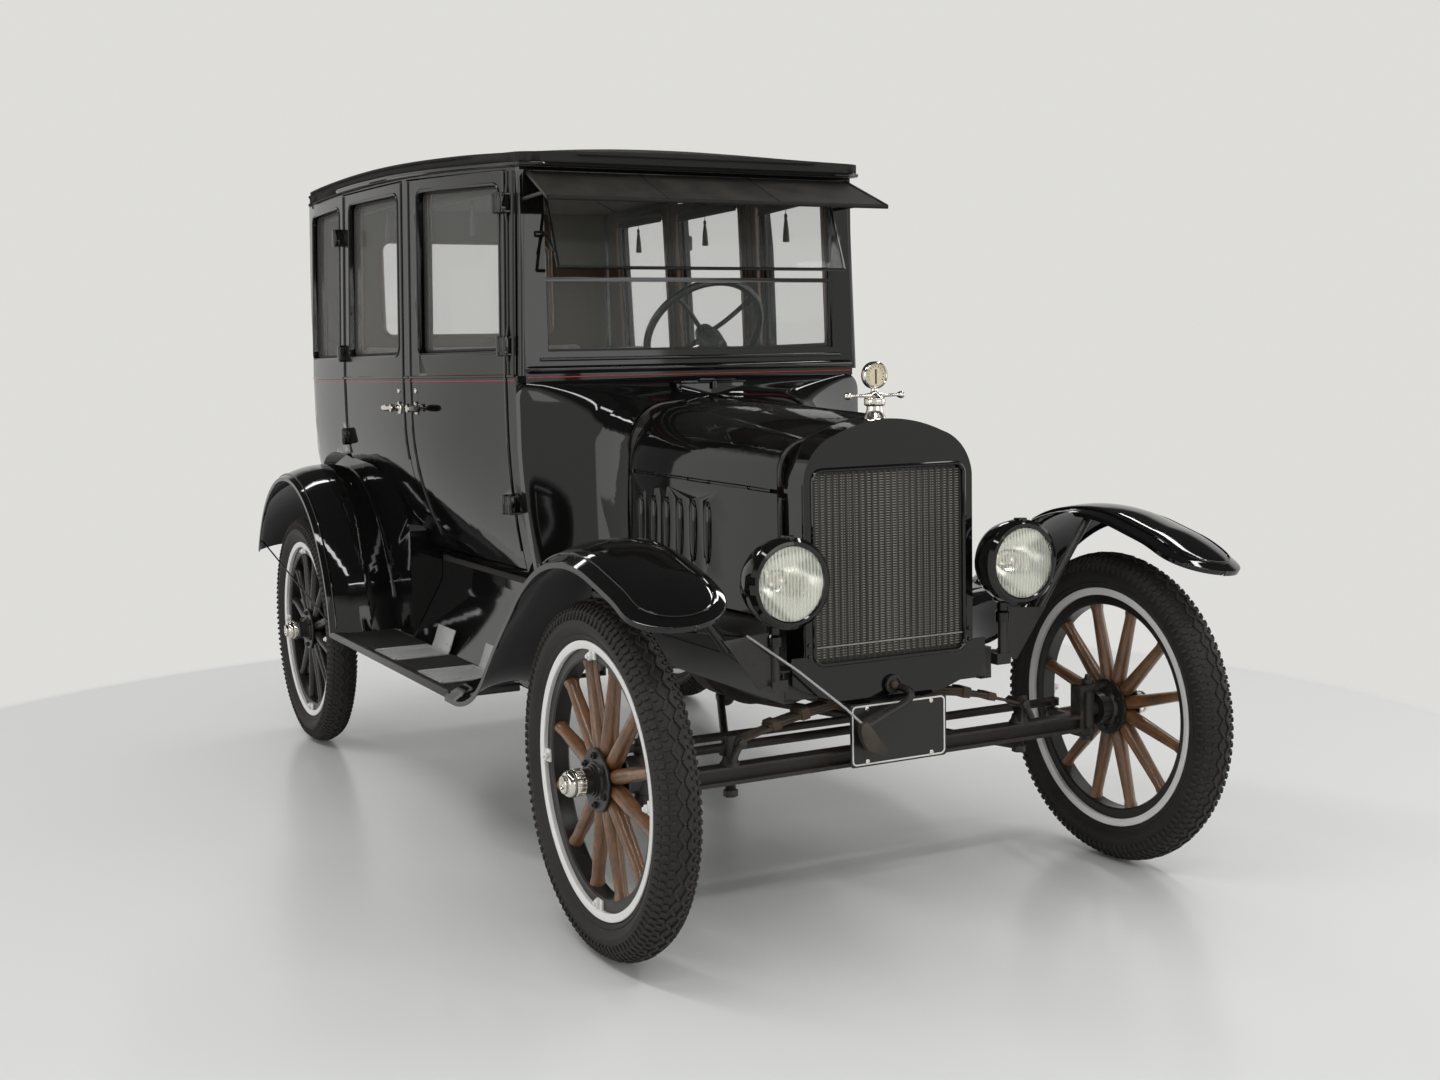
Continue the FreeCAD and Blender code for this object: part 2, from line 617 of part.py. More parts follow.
def make_column():
    """Steering column with its gear case under the hand wheel, and the gear's arm."""
    tube = rod(column_point(40.0), column_point(COLUMN_LENGTH), COLUMN_R)
    case = rod(column_point(36.0), column_point(86.0), 42.0)
    foot_y = column_point(COLUMN_LENGTH)[1]
    foot = box(COLUMN_X - 9, LEDGE_X[0] - 6, foot_y + 12, foot_y + 46, RAIL_Z[1],
               column_point(COLUMN_LENGTH - 30)[2])
    save("steering_column", fuse([tube, case, foot]))
    shaft = rod(column_point(COLUMN_LENGTH + FIT), column_point(PITMAN_DISTANCE + 12), PITMAN_SHAFT_R)
    arm = rod(PITMAN_ROOT, PITMAN_BALL, 7.0)
    ball = Part.makeSphere(PITMAN_BALL_R, V(*PITMAN_BALL))
    save("pitman_arm", fuse([shaft, arm, ball]))


def make_hand_wheel():
    centre = V(*column_point(0.0))
    down = V(*column_point(1.0)) - centre
    rim = Part.makeTorus(HAND_WHEEL_R - HAND_WHEEL_RIM, HAND_WHEEL_RIM, centre, down)
    hub = rod(column_point(-14.0), column_point(36.0 - FIT), 30.0)
    across = V(1, 0, 0)
    up = across.cross(down)
    arms = []
    for i in range(4):
        a = math.pi / 4 + i * math.pi / 2
        d = across * math.cos(a) + up * math.sin(a)
        arms.append(Part.makeCone(11.0, 8.0, HAND_WHEEL_R - HAND_WHEEL_RIM, centre, d))
    save("steering_wheel", fuse([rim, hub] + arms))


# ---------------------------------------------------------------- cabin
def cabin_section(y, belt_half, roof_half, wall, top):
    """Half section of the cabin: turned-under side, straight tumblehome above the belt."""
    w = belt_half - wall
    wt = roof_half - wall
    mid_z = (BODY_BOTTOM + TUCK_Z) / 2
    w_mid = belt_half - tuck(mid_z, belt_half) - wall
    base = SILL_HALF - wall
    pts = [(0, BODY_BOTTOM - CABIN_HIDDEN_DEPTH * (wall > 0)),
           (base, BODY_BOTTOM - CABIN_HIDDEN_DEPTH * (wall > 0)),
           (base, BODY_BOTTOM), (w_mid, mid_z, 0), (w, TUCK_Z), (w, BELT_Z), (wt, top), (0, top)]
    return face(pts, front(y))


def cabin_block(wall):
    """Solid of the cabin's half, set in from its outside by the wall."""
    top = 1960.0
    wires = []
    for y, belt, roof in STATIONS:
        slope = (top - BELT_Z) / (ROOF_UNDER[1][1] - BELT_Z)
        wires.append(cabin_section(y, belt, belt + (roof - belt) * slope, wall, top))
    block = Part.makeLoft(wires, True, False)
    return block


def plan_outline(inset):
    """Plan of the cabin: nearly square front corners, rounded back corners."""
    w = 700.0 - inset
    y0 = BODY_FRONT_Y + inset
    y1 = BODY_REAR_Y - inset
    half = STATIONS[-1][1] + 6.0 - inset
    r = REAR_CORNER_R - inset
    k = r * (1 - math.sqrt(0.5))
    return [(-1.0, y0), (w, y0), (w, 1300.0), (half + 6.0, y1 - r), (half - k, y1 - k, 0),
            (half - r, y1), (-1.0, y1)]


def cabin_shell():
    """Hollow cabin half with its underside open, cut level with the roof's underside."""
    outer = cabin_block(0.0).common(prism(plan_outline(0.0), plan(600.0), (0, 0, 1500)))
    inner = cabin_block(WALL).common(prism(plan_outline(WALL), plan(600.0), (0, 0, 1500)))
    shell = outer.cut(inner)
    above = prism([ROOF_UNDER[0], (ROOF_UNDER[1][0], ROOF_UNDER[1][1], 0), ROOF_UNDER[2],
                   (1700.0, 1876.0), (1700.0, 2100.0), (-600.0, 2100.0), (-600.0, 1800.0)],
                  side(-10.0), (900, 0, 0))
    return shell.cut(above)


def front_door_outline(g):
    """Front door in side view, grown by g on every side."""
    y0, y1 = FRONT_DOOR_Y
    return [(y0 - g, DOOR_BOTTOM - g), (y1 + g, DOOR_BOTTOM - g), (y1 + g, door_top(y1) + g),
            (y0 - g, door_top(y0) + g)]


def door_top(y):
    """Top edge of a door, just under the roof's edge."""
    return roof_under(y) - DOOR_TOP_RAIL


def rear_door_outline(g):
    """Rear door in side view: its lower rear corner is cut away round the wheel housing."""
    y0, y1 = REAR_DOOR_Y
    return [(y0 - g, DOOR_BOTTOM - g), (465.0 + g, DOOR_BOTTOM - g), (465.0 + g, 790.0),
            (590.0 + 0.7 * g, 925.0 - 0.7 * g, 0), (800.0, 992.0 - g), (y1 + g, 1005.0 - g),
            (y1 + g, door_top(y1) + g), (y0 - g, door_top(y0) + g)]


def window_cut(window):
    """Window opening through the left-hand wall; its head runs with the roof's edge."""
    y0, y1 = window
    z0 = SILL_TOP
    outline = []
    for point in rounded(y0, y1, z0, z0 + 400.0, WINDOW_CORNER):
        if point[1] > z0 + 200.0:
            point = (point[0], point[1] - z0 - 400.0 + roof_under(point[0]) - WINDOW_HEAD) + point[2:]
        outline.append(point)
    return prism(outline, side(400.0), (400, 0, 0))


def glass_pane(window):
    """Flat pane in the middle of the left-hand wall, let into a groove all round."""
    ya, yb = window[0] - GLASS_GROOVE, window[1] + GLASS_GROOVE
    za = SILL_TOP - GLASS_GROOVE

    def on_wall(y, z):
        return V(side_half(y, z) - WALL / 2, y, z)
    a, b = on_wall(ya, za), on_wall(yb, za)
    c = on_wall(yb, roof_under(yb) - WINDOW_HEAD + GLASS_GROOVE)
    normal = (b - a).cross(c - b)
    normal.normalize()
    zd = roof_under(ya) - WINDOW_HEAD + GLASS_GROOVE
    d = V(a.x - (normal.y * (ya - a.y) + normal.z * (zd - a.z)) / normal.x, ya, zd)
    pane = Part.Face(Part.makePolygon([a, b, c, d, a])).extrude(normal * GLASS)
    pane.translate(normal * (-GLASS / 2))
    return pane


def hinge_set(y_pin, heights, toward_door):
    """Barrels on the door and knuckles with their pin on the post, at one hinge line."""
    widest = max([at_station(y_pin, 1)] + [side_half(y_pin, z) for z in heights])
    x_pin = widest + HINGE_OUT
    half = HINGE_BARREL_H / 2
    near, far = HINGE_PIN_R - 1.0, HINGE_PIN_R + 23.0
    door_parts, post_parts = [], []
    for z in heights:
        x_root = side_half(y_pin, z) - 7.0
        barrel = rod((x_pin, y_pin, z - half), (x_pin, y_pin, z + half), HINGE_BARREL_R)
        y0, y1 = sorted((y_pin + toward_door * near, y_pin + toward_door * far))
        leaf = box(x_root, x_pin + 3, y0, y1, z - half, z + half)
        bore = rod((x_pin, y_pin, z - half - 1), (x_pin, y_pin, z + half + 1), HINGE_PIN_R + FIT)
        door_parts.append(fuse([barrel, leaf]).cut(bore))
        y0, y1 = sorted((y_pin - toward_door * near, y_pin - toward_door * far))
        for s in (1, -1):
            za, zb = sorted((z + s * (half + FIT), z + s * (half + HINGE_KNUCKLE_H)))
            post_parts.append(rod((x_pin, y_pin, za), (x_pin, y_pin, zb), HINGE_BARREL_R))
            post_parts.append(box(x_root, x_pin + 3, y0, y1, za, zb))
        post_parts.append(rod((x_pin, y_pin, z - half - 10), (x_pin, y_pin, z + half + 10), HINGE_PIN_R))
    return door_parts, post_parts


def handle(y, x, toward):
    """Lever handle on a round boss."""
    boss = cone((x - 6, y, HANDLE_Z), (x + 26, y, HANDLE_Z), 17.0, 10.0)
    lever = cone((x + 22, y, HANDLE_Z), (x + 28, y + toward * 95.0, HANDLE_Z), 8.0, 10.0)
    return fuse([boss, lever])


def housing_line(y_start, drop):
    """Line in side view along which the rear fender's housing meets the body."""
    return [(y_start, 790.0), (y_start + 124.0, 922.0 - drop, 0), (800.0, 987.0 - drop),
            (971.0, 1000.0 - drop),
            (1210.0, 1011.0 - drop, 0), (HOUSING_Y[1] + 60.0, 860.0 - drop)]


def make_cabin(roof):
    """Door posts and sills, rear body and four doors, all cut from one hollow shell."""
    shell = cabin_shell().cut(roof)
    openings = [prism(front_door_outline(SWING_GAP), side(300.0), (500, 0, 0)),
                prism(rear_door_outline(SWING_GAP), side(300.0), (500, 0, 0))]
    quarter_pane = glass_pane(QUARTER_WINDOW)
    fixed = shell.cut(Part.makeCompound(openings)).cut(window_cut(QUARTER_WINDOW)).cut(quarter_pane)
    housing = prism([(HOUSING_Y[0] - 2.0, 600.0)] + housing_line(HOUSING_Y[0] - 2.0, -FIT) +
                    [(HOUSING_Y[1] + 60.0, 600.0)], side(HOUSING_X[0] - 5.0), (500, 0, 0))
    fixed = fixed.cut(housing)
    y0, y1, z0, z1 = BACK_LIGHT
    fixed = fixed.cut(prism(rounded(y0, y1, z0, z1, 30.0), front(BODY_REAR_Y - 80),
                            (0, 160, 0))).cut(back_pane())
    # the windscreen and the cowl close the front
    fixed = fixed.cut(box(-10, SCREEN_OPEN_X + 20, BODY_FRONT_Y - 5, BODY_FRONT_Y + WALL + 2, 700, 1900))

    hinges = {"front": hinge_set(FRONT_DOOR_Y[0] - SWING_GAP / 2, HINGE_Z["front"], 1),
              "rear": hinge_set(REAR_DOOR_Y[1] + SWING_GAP / 2, HINGE_Z["rear"], -1)}
    rear_line = REAR_DOOR_Y[1] + SWING_GAP / 2
    posts = fixed.common(box(-10, 800, BODY_FRONT_Y - 5, rear_line, 600, 2000))
    quarter = fixed.common(box(-10, 800, rear_line, 1700, 600, 2000))
    save("door_posts", both(fuse([posts] + hinges["front"][1])))
    quarter = fuse([quarter] + hinges["rear"][1])
    save("rear_body", fuse([quarter, mirror(quarter)]))

    doors = {
        "front": (front_door_outline(0.0), FRONT_WINDOW, FRONT_DOOR_Y[1] - 42.0, -1),
        "rear": (rear_door_outline(0.0), REAR_WINDOW, REAR_DOOR_Y[0] + 42.0, 1),
    }
    for name, (outline, window, handle_y, toward) in doors.items():
        door = shell.common(prism(outline, side(300.0), (500, 0, 0)))
        pane = glass_pane(window)
        door = door.cut(window_cut(window)).cut(pane)
        door = fuse([door, handle(handle_y, side_half(handle_y, HANDLE_Z), toward)] + hinges[name][0])
        save("door_%s_left" % name, door)
        save("door_%s_right" % name, mirror(door))
        save("glass_%s_left" % name, pane)
        save("glass_%s_right" % name, mirror(pane))


def back_pane():
    """Pane of the back light, let into the back wall."""
    x0, x1, z0, z1 = BACK_LIGHT
    return prism(rounded(x0 - 8, x1 + 8, z0 - 8, z1 + 8, 38.0), front(BODY_REAR_Y - WALL / 2 - GLASS / 2),
                 (0, GLASS, 0))


def roof_solid():
    """Padded roof with a moulded edge, crowned both ways."""
    sections = (
        # y, crown above the edge
        (ROOF_Y[0], 8.0),
        (-291.0, 24.0),
        (326.0, 44.0),
        (971.0, 46.0),
        (1390.0, 34.0),
        (ROOF_Y[1], 8.0),
    )
    wires = []
    for y, crown in sections:
        w = max(at_station(y, 2), 511.0) + ROOF_OVERHANG
        zu = roof_under(y)
        pts = [(-w, zu), (w, zu), (w, zu + ROOF_EDGE), (0, zu + ROOF_EDGE + crown, 0), (-w, zu + ROOF_EDGE)]
        wires.append(face(pts, front(y)))
    slab = Part.makeLoft(wires, True, False)
    w = 640.0
    outline = [(0, ROOF_Y[0])] + [(470.0, ROOF_Y[0]), (513.0, ROOF_Y[0] + 17, 0), (530.0, ROOF_Y[0] + 60),
                                  (w, 300.0), (w, 1300.0), (605.0, 1420.0), (565.0, 1540.0, 0), (450.0,
                                          ROOF_Y[1]),
                                  (0, ROOF_Y[1])]
    half = prism(outline, plan(1700.0), (0, 0, 400))
    return slab.common(fuse([half, mirror(half)]))


def make_windscreen(roof):
    """Frame round two panes, the hinge bar of the upper one and the ledge under them."""
    y0, y1 = SCREEN_Y
    z0, z1 = SCREEN_SILL_Z
    outer = 512.0
    frame = box(-outer, outer, y0, y1, z0, 1840.0).cut(roof)
    frame = largest(frame).cut(box(-SCREEN_OPEN_X, SCREEN_OPEN_X, y0 - 5, y1 + 5, z1, SCREEN_HEAD_Z))
    rail = box(-SCREEN_OPEN_X, SCREEN_OPEN_X, y0 + 10, y1 - 10, DIVIDER_Z - 6, DIVIDER_Z + 6)
    bar = rod((-SCREEN_OPEN_X, SCREEN_MIDDLE_Y, SCREEN_BAR_Z),
              (SCREEN_OPEN_X, SCREEN_MIDDLE_Y, SCREEN_BAR_Z), SCREEN_BAR_R)
    ledge = box(-outer, outer, y0, y1, BELT_Z - 60, z0)
    half = cowl_block(0.0)
    ledge = largest(ledge.cut(half).cut(mirror(half)))
    whole = fuse([frame, rail, bar, ledge])
    save("windscreen_frame", whole)
    return whole


def make_fixed_glass():
    """Windscreen panes, quarter windows and the back light."""
    y = SCREEN_MIDDLE_Y
    lower = box(-SCREEN_OPEN_X + 1, SCREEN_OPEN_X - 1, y - 3, y + 3, SCREEN_SILL_Z[1], DIVIDER_Z - 6)
    upper = box(-SCREEN_OPEN_X + 8, SCREEN_OPEN_X - 8, y - 3, y + 3, DIVIDER_Z + 12,
                SCREEN_BAR_Z - SCREEN_BAR_R - FIT)
    upper.rotate(V(0, y, SCREEN_BAR_Z), V(1, 0, 0), -SCREEN_OPEN_ANGLE)
    pane = glass_pane(QUARTER_WINDOW)
    save("fixed_glass", Part.makeCompound([lower, upper, pane, mirror(pane), back_pane()]))


def make_visor(roof, screen):
    """Sloping sun visor over the windscreen, with its end brackets."""
    top_y, top_z = SCREEN_Y[0] - 6.0, 1808.0
    low_y, low_z = -575.0, 1722.0
    pts = [(-496.0, top_y, top_z), (496.0, top_y, top_z), (515.0, low_y, low_z), (-515.0, low_y, low_z)]
    wire = Part.makePolygon([V(*p) for p in pts] + [V(*pts[0])])
    normal = (V(*pts[1]) - V(*pts[0])).cross(V(*pts[2]) - V(*pts[1]))
    normal.normalize()
    plate = Part.Face(wire).extrude(normal * 8.0)
    arms = [pipe([(s * 500.0, SCREEN_Y[0] + 8, 1735.0), (s * 507.0, low_y + 40, low_z + 14),
                  (s * 500.0, (top_y + low_y) / 2, (top_z + low_z) / 2)], 5.0) for s in (1, -1)]
    save("sun_visor", largest(fuse([plate] + arms).cut(roof).cut(screen)))


def cowl_profile(y, half, top, corner, foot_half, sheet):
    """Half section of the cowl, set in by the sheet."""
    w, t = half - sheet, top - sheet
    r = corner
    k = r * (1 - math.sqrt(0.5))
    mid = (foot_half + half) / 2 + 6.0 - sheet
    pts = [(0, BODY_BOTTOM), (foot_half - sheet, BODY_BOTTOM), (mid, 930.0, 0), (w, 1100.0 - 0.2 * r),
           (w, t - r - 14.0), (w - k, t - k - 10.0, 0), (w - r, t - 6.0), (w / 3, t - 1.5, 0), (0, t)]
    return face(pts, front(y))


COWL_STATIONS = (
    # y, half-width, top, corner radius, half-width at the foot
    (COWL_FRONT_Y, 290.0, 1199.0, 118.0, 296.0),
    (-450.0, 345.0, 1214.0, 105.0, 340.0),
    (BODY_FRONT_Y, 529.0, BELT_Z, 40.0, 489.0),
)


def cowl_block(sheet):
    """Solid half of the flared scuttle, set in from its outside by the sheet."""
    return Part.makeLoft([cowl_profile(y, h, t, r, f, sheet) for y, h, t, r, f in COWL_STATIONS], True,
                         False)


def make_cowl():
    """Flared scuttle between hood and cabin, with the firewall and the vent lid."""
    inner = cowl_block(COWL_SHEET)
    skin = cowl_block(0.0).cut(inner)
    wall = inner.common(box(-10, 700, COWL_FRONT_Y - 5, COWL_FRONT_Y + 12, 700, 1300))
    half = fuse([skin, wall])
    vent = box(-95.0, 95.0, -470.0, -395.0, 1205.0, 1243.0).cut(inner).cut(mirror(inner))
    whole = fuse([half, mirror(half), largest(vent)])
    column = rod(column_point(0.0), column_point(COLUMN_LENGTH), COLUMN_R + 6)
    a, b = hood_hinge_line()
    pin = rod(along(a, b, -0.0095), along(a, b, 1.014), HOOD_ROD_R)
    save("cowl", fuse([whole.cut(column), pin]))


def make_floor():
    """Floor boards on two sills that rest on the frame."""
    pts = [(0, COWL_FRONT_Y), (293.0, COWL_FRONT_Y), (338.0, -450.0), (SILL_HALF - 4, BODY_FRONT_Y),
           (SILL_HALF - 4, HOUSING_Y[0] - 7), (HOUSING_X[0] - 5, HOUSING_Y[0] - 7), (HOUSING_X[0] - 5,
                   BODY_REAR_Y),
           (0, BODY_REAR_Y)]
    board = prism(pts, plan(FLOOR_Z[0]), (0, 0, FLOOR_Z[1] - FLOOR_Z[0]))
    sill = box(RAIL_X[0], RAIL_X[1], COWL_FRONT_Y, 1160.0, RAIL_Z[1], FLOOR_Z[0])
    half = fuse([board, sill])
    save("floor", fuse([half, mirror(half)]))


def make_seats():
    """Front and rear benches as plain padded blocks on their boxes."""
    def bench(y0, y1, back_y, half, top, back_top):
        base = box(-half + 30, half - 30, y0 + 40, y1, FLOOR_Z[1], 930.0)
        cushion = box(-half, half, y0, y1, 930.0, top)
        back = box(-half, half, y1, back_y, 930.0, back_top)
        return fuse([base, cushion, back])
    fore = bench(400.0, 800.0, 900.0, SEAT_HALF, 1070.0, 1380.0)
    aft = bench(1080.0, 1420.0, 1515.0, SEAT_HALF, 1070.0, 1400.0)
    save("seats", Part.makeCompound(fore.Solids + aft.Solids))


# ---------------------------------------------------------------- hood and radiator
def along(a, b, t):
    """Point a fraction t of the way from a to b."""
    return tuple(p + (q - p) * t for p, q in zip(a, b))


def hood_hinge_line():
    """Ends of the hood's centre hinge."""
    return ((0.0, HOOD_Y[0], HOOD_TOP_Z[0] - SKIN / 2), (0.0, HOOD_Y[1], HOOD_TOP_Z[1] - SKIN / 2))


def shoulder_line(s):
    """Ends of the hinge between the hood's top and its side panel."""
    return tuple((s * (x - SKIN / 2), y, z) for y, (x, z) in zip(HOOD_Y, HOOD_HINGE))


def strip(a, b, span, dx, dz):
    """Flat bar along part of a line: its section is dx wide and dz high round the line."""
    wires = []
    for t in span:
        x, y, z = along(a, b, t)
        wires.append(Part.makePolygon([V(x + p, y, z + q) for p, q in
                                       ((dx[0], dz[0]), (dx[1], dz[0]), (dx[1], dz[1]), (dx[0], dz[1]),
                                        (dx[0], dz[0]))]))
    return Part.makeLoft(wires, True, True)


def barrels(a, b, spans, r, pin_r):
    """Hinge barrels on parts of a line, as solids, and the bore through them."""
    tubes = [rod(along(a, b, p), along(a, b, q), r) for p, q in spans]
    return tubes, rod(along(a, b, -0.02), along(a, b, 1.02), pin_r + FIT)


def hood_top_profile(i, s, d):
    """One half of the hood's top at its front (0) or rear (1) edge, set in by d."""
    y = HOOD_Y[i]
    top = HOOD_TOP_Z[i]
    hx, hz = HOOD_HINGE[i]
    shoulder = ((170.0, 1116.0, 230.0, 1086.0, 246.0, 1040.0),
                (150.0, 1189.0, 250.0, 1128.0, 285.0, 1050.0))[i]
    x1, z1, x2, z2, x3, z3 = shoulder
    crown = (90.0, (top + z1) / 2 + 6.0)

    def p(x, z, nx, nz, depth):
        return (s * (x - nx * depth), z - nz * depth)
    out = [p(HOOD_SHEET_X, top, 0, 1, 0), p(crown[0], crown[1], 0, 1, 0) + (0,), p(x1, z1, 0, 1, 0),
           p(x2, z2, 0.7, 0.7, 0) + (0,),
           p(x3, z3, 1, 0, 0), p(hx, hz + SIDE_EDGE, 1, 0, 0)]
    back = [p(hx, hz + SIDE_EDGE, 1, 0, d), p(x3, z3, 1, 0, d), p(x2, z2, 0.7, 0.7, d) + (0,),
            p(x1, z1, 0, 1, d),
            p(crown[0], crown[1], 0, 1, d) + (0,), p(HOOD_SHEET_X, top, 0, 1, d)]
    return face(out + back, front(y))


def hood_side_profile(i, s, d):
    y = HOOD_Y[i]
    hx, hz = HOOD_HINGE[i]
    b = HOOD_HALF_BOTTOM[i]
    pts = [(s * hx, hz - SIDE_EDGE), (s * b, HOOD_BOTTOM_Z), (s * (b - d), HOOD_BOTTOM_Z),
           (s * (hx - d), hz - SIDE_EDGE)]
    return face(pts, front(y))


def make_hood():
    """Two curved tops on a centre hinge, two louvred sides hinged at the shoulders."""
    a, b = hood_hinge_line()
    for name, s, spans in (("left", 1, ((0.02, 0.24), (0.51, 0.73))),
                           ("right", -1, ((0.25, 0.50), (0.74, 0.98)))):
        top = Part.makeLoft([hood_top_profile(0, s, SKIN), hood_top_profile(1, s, SKIN)], True, True)
        tubes, bore = barrels(a, b, spans, HOOD_BARREL_R, HOOD_ROD_R)
        tabs = [strip(a, b, span, sorted((s * (HOOD_ROD_R + 1.5), s * (HOOD_SHEET_X + 2.0))),
                      (-1.4, 1.4)) for span in spans]
        c, d = shoulder_line(s)
        top_spans, side_spans = ((0.04, 0.16), (0.44, 0.56), (0.84, 0.96)), ((0.18, 0.42), (0.58, 0.82))
        upper, side_bore = barrels(c, d, top_spans, SIDE_BARREL_R, SIDE_PIN_R)
        upper_tabs = [strip(c, d, span, (-1.2, 1.2), (SIDE_PIN_R + 1.0,
                                                      SIDE_EDGE + 1.0)) for span in top_spans]
        pin = rod(along(c, d, 0.05), along(c, d, 0.95), SIDE_PIN_R)
        top = fuse([top] + tubes + tabs).cut(bore)
        save("hood_top_" + name, fuse([top] + upper + upper_tabs + [pin]))

        panel = Part.makeLoft([hood_side_profile(0, s, SKIN), hood_side_profile(1, s, SKIN)], True, True)
        lower, side_bore = barrels(c, d, side_spans, SIDE_BARREL_R, SIDE_PIN_R)
        lower_tabs = [strip(c, d, span, (-1.2, 1.2), (-SIDE_EDGE - 1.0,
                                                      -SIDE_PIN_R - 1.0)) for span in side_spans]
        ridges = []
        for i in range(LOUVRES):
            y = LOUVRE_FIRST_Y - i * LOUVRE_PITCH
            t = (y - HOOD_Y[0]) / (HOOD_Y[1] - HOOD_Y[0])
            x = HOOD_HINGE[0][0] + t * (HOOD_HINGE[1][0] - HOOD_HINGE[0][0]) + 2.0
            pts = [(x - 3, y - 12), (x + 9, y - 12), (x - 3, y + 16)]
            ridges.append(prism([(s * p, q) for p, q in pts], plan(LOUVRE_Z[0]),
                                (0, 0, LOUVRE_Z[1] - LOUVRE_Z[0])))
        save("hood_side_" + name, fuse([panel] + lower + lower_tabs + ridges).cut(side_bore))


def shell_outline(d):
    """Radiator shell seen from the front, set in by d."""
    w = SHELL_HALF - d
    top = SHELL_TOP_Z - d
    return [(-w, SHELL_FOOT_Z), (w, SHELL_FOOT_Z), (w, 1020.0), (w - 24.0, 1082.0, 0),
            (148.0 - 0.3 * d, 1124.0 - d),
            (80.0, top - 10.0, 0), (0, top), (-80.0, top - 10.0, 0), (-148.0 + 0.3 * d, 1124.0 - d),
            (-w + 24.0, 1082.0, 0), (-w, 1020.0)]


def make_radiator():
    """Pressed shell with its lower apron, the core inside it and the cap."""
    y0, y1 = SHELL_Y
    outer = prism(shell_outline(0.0), front(y0), (0, y1 - y0, 0))
    hollow = prism(shell_outline(SHELL_SHEET), front(y0 + SHELL_FACE), (0, y1 - y0, 0))
    window = prism(rounded(-CORE_HALF, CORE_HALF, CORE_Z[0], CORE_Z[1], 24.0), front(y0 - 5), (0, 60, 0))
    lug = box(-9.0, 9.0, y1 - 1.5, y1 + 2.5, SHELL_TOP_Z - 4, HOOD_TOP_Z[0] + 6)
    apron = prism([(-268.0, 622.0), (-268.0, 560.0), (-150.0, 512.0, 0), (0, 494.0), (150.0, 512.0, 0),
                   (268.0, 560.0),
                   (268.0, 622.0), (SHELL_HALF - 3, 622.0), (SHELL_HALF - 3,
                                                             CORE_Z[0] - 3), (-SHELL_HALF + 3,
                                                                     CORE_Z[0] - 3),
                   (-SHELL_HALF + 3, 622.0)], front(y0), (0, APRON_SHEET, 0))
    shaft_hole = rod((0, y0 - 50, CRANK_Z), (0, y1, CRANK_Z), CRANK_R + FIT)
    a, b = hood_hinge_line()
    rod_hole = rod(along(a, b, -0.0095), along(a, b, 0.02), HOOD_ROD_R)
    shell = outer.cut(hollow).cut(window)
    save("radiator_shell", fuse([shell, apron, lug]).cut(shaft_hole).cut(rod_hole))

    core = prism(shell_outline(SHELL_SHEET + FIT), front(y0 + SHELL_FACE + FIT),
                 (0, y1 - y0 - SHELL_FACE - 4, 0))
    pitch = 2 * (CORE_HALF - 6) / CORE_TUBES
    slots = [box(-CORE_HALF + 6 + i * pitch + 3, -CORE_HALF + 6 + (i + 1) * pitch - 3, y0 + 5, y0 + 20,
                 CORE_Z[0] + 12, CORE_Z[1] - 12) for i in range(CORE_TUBES)]
    save("radiator_core", core.cut(Part.makeCompound(slots)))

    foot, top = SHELL_TOP_Z - 7, SHELL_TOP_Z + 69
    profile = [(0, foot), (26.0, foot), (20.0, SHELL_TOP_Z + 15), (17.0, SHELL_TOP_Z + 31),
               (24.0, SHELL_TOP_Z + 33),
               (24.0, SHELL_TOP_Z + 49), (12.0, SHELL_TOP_Z + 55), (9.0, top), (0, top)]
    neck = turned(face(profile, lambda p: V(p[0], CAP_Y, p[1])), V(0, CAP_Y, 0), V(0, 0, 1)).cut(outer)
    wing_z = SHELL_TOP_Z + 52
    wings = rod((-72.0, CAP_Y, wing_z), (72.0, CAP_Y, wing_z), 4.0)
    balls = [Part.makeSphere(8.5, V(s * 74.0, CAP_Y, wing_z)) for s in (1, -1)]
    dial = rod((0, CAP_Y - 8, top + 30), (0, CAP_Y + 8, top + 30), 31.0)
    save("radiator_cap", fuse([neck, wings, dial] + balls))


# ---------------------------------------------------------------- fenders and boards
FRONT_PATH = ((-440.0, 449.0), (-665.0, 449.0), (-1098.0, 882.0), (-1340.0, 922.0), (-1716.0, 818.0))
FRONT_BENDS = (330.0, 400.0, 480.0)


def bent_path(points, radii):
    """Straight runs joined by tangent arcs, in the side view plane."""
    edges, last = [], V(0, *points[0])
    for i, r in enumerate(radii):
        p, q, n = (V(0, *points[i + j]) for j in range(3))
        u, w = (p - q), (n - q)
        u.normalize()
        w.normalize()
        half = u.getAngle(w) / 2
        reach = r / math.tan(half)
        a, b = q + u * reach, q + w * reach
        bis = u + w
        bis.normalize()
        mid = q + bis * (r / math.sin(half) - r)
        edges.append(Part.LineSegment(last, a).toShape())
        edges.append(Part.Arc(a, mid, b).toShape())
        last = b
    edges.append(Part.LineSegment(last, V(0, *points[-1])).toShape())
    return Part.Wire(edges)


def crown_section():
    """Pairs across a fender: lip edge, crown, inner edge."""
    x0, x1 = FENDER_X
    lip = 12.0
    return [(x1, -lip), (x1, 0.0), (x1 - 85.0, FENDER_CROWN, 0), (x0, FENDER_CROWN - 8.0),
            (x0, FENDER_CROWN - 8.0 - SKIN), (x1 - 85.0, FENDER_CROWN - SKIN, 0), (x1 - SKIN,
                    -2.0), (x1 - SKIN, -lip)]


def board_box(margin):
    """Left-hand running board, grown by a margin."""
    return box(BOARD_X[0] - margin, BOARD_X[1] + margin, BOARD_Y[0] - margin, BOARD_Y[1] + margin,
               BOARD_Z[0] - margin, BOARD_Z[1] + margin)


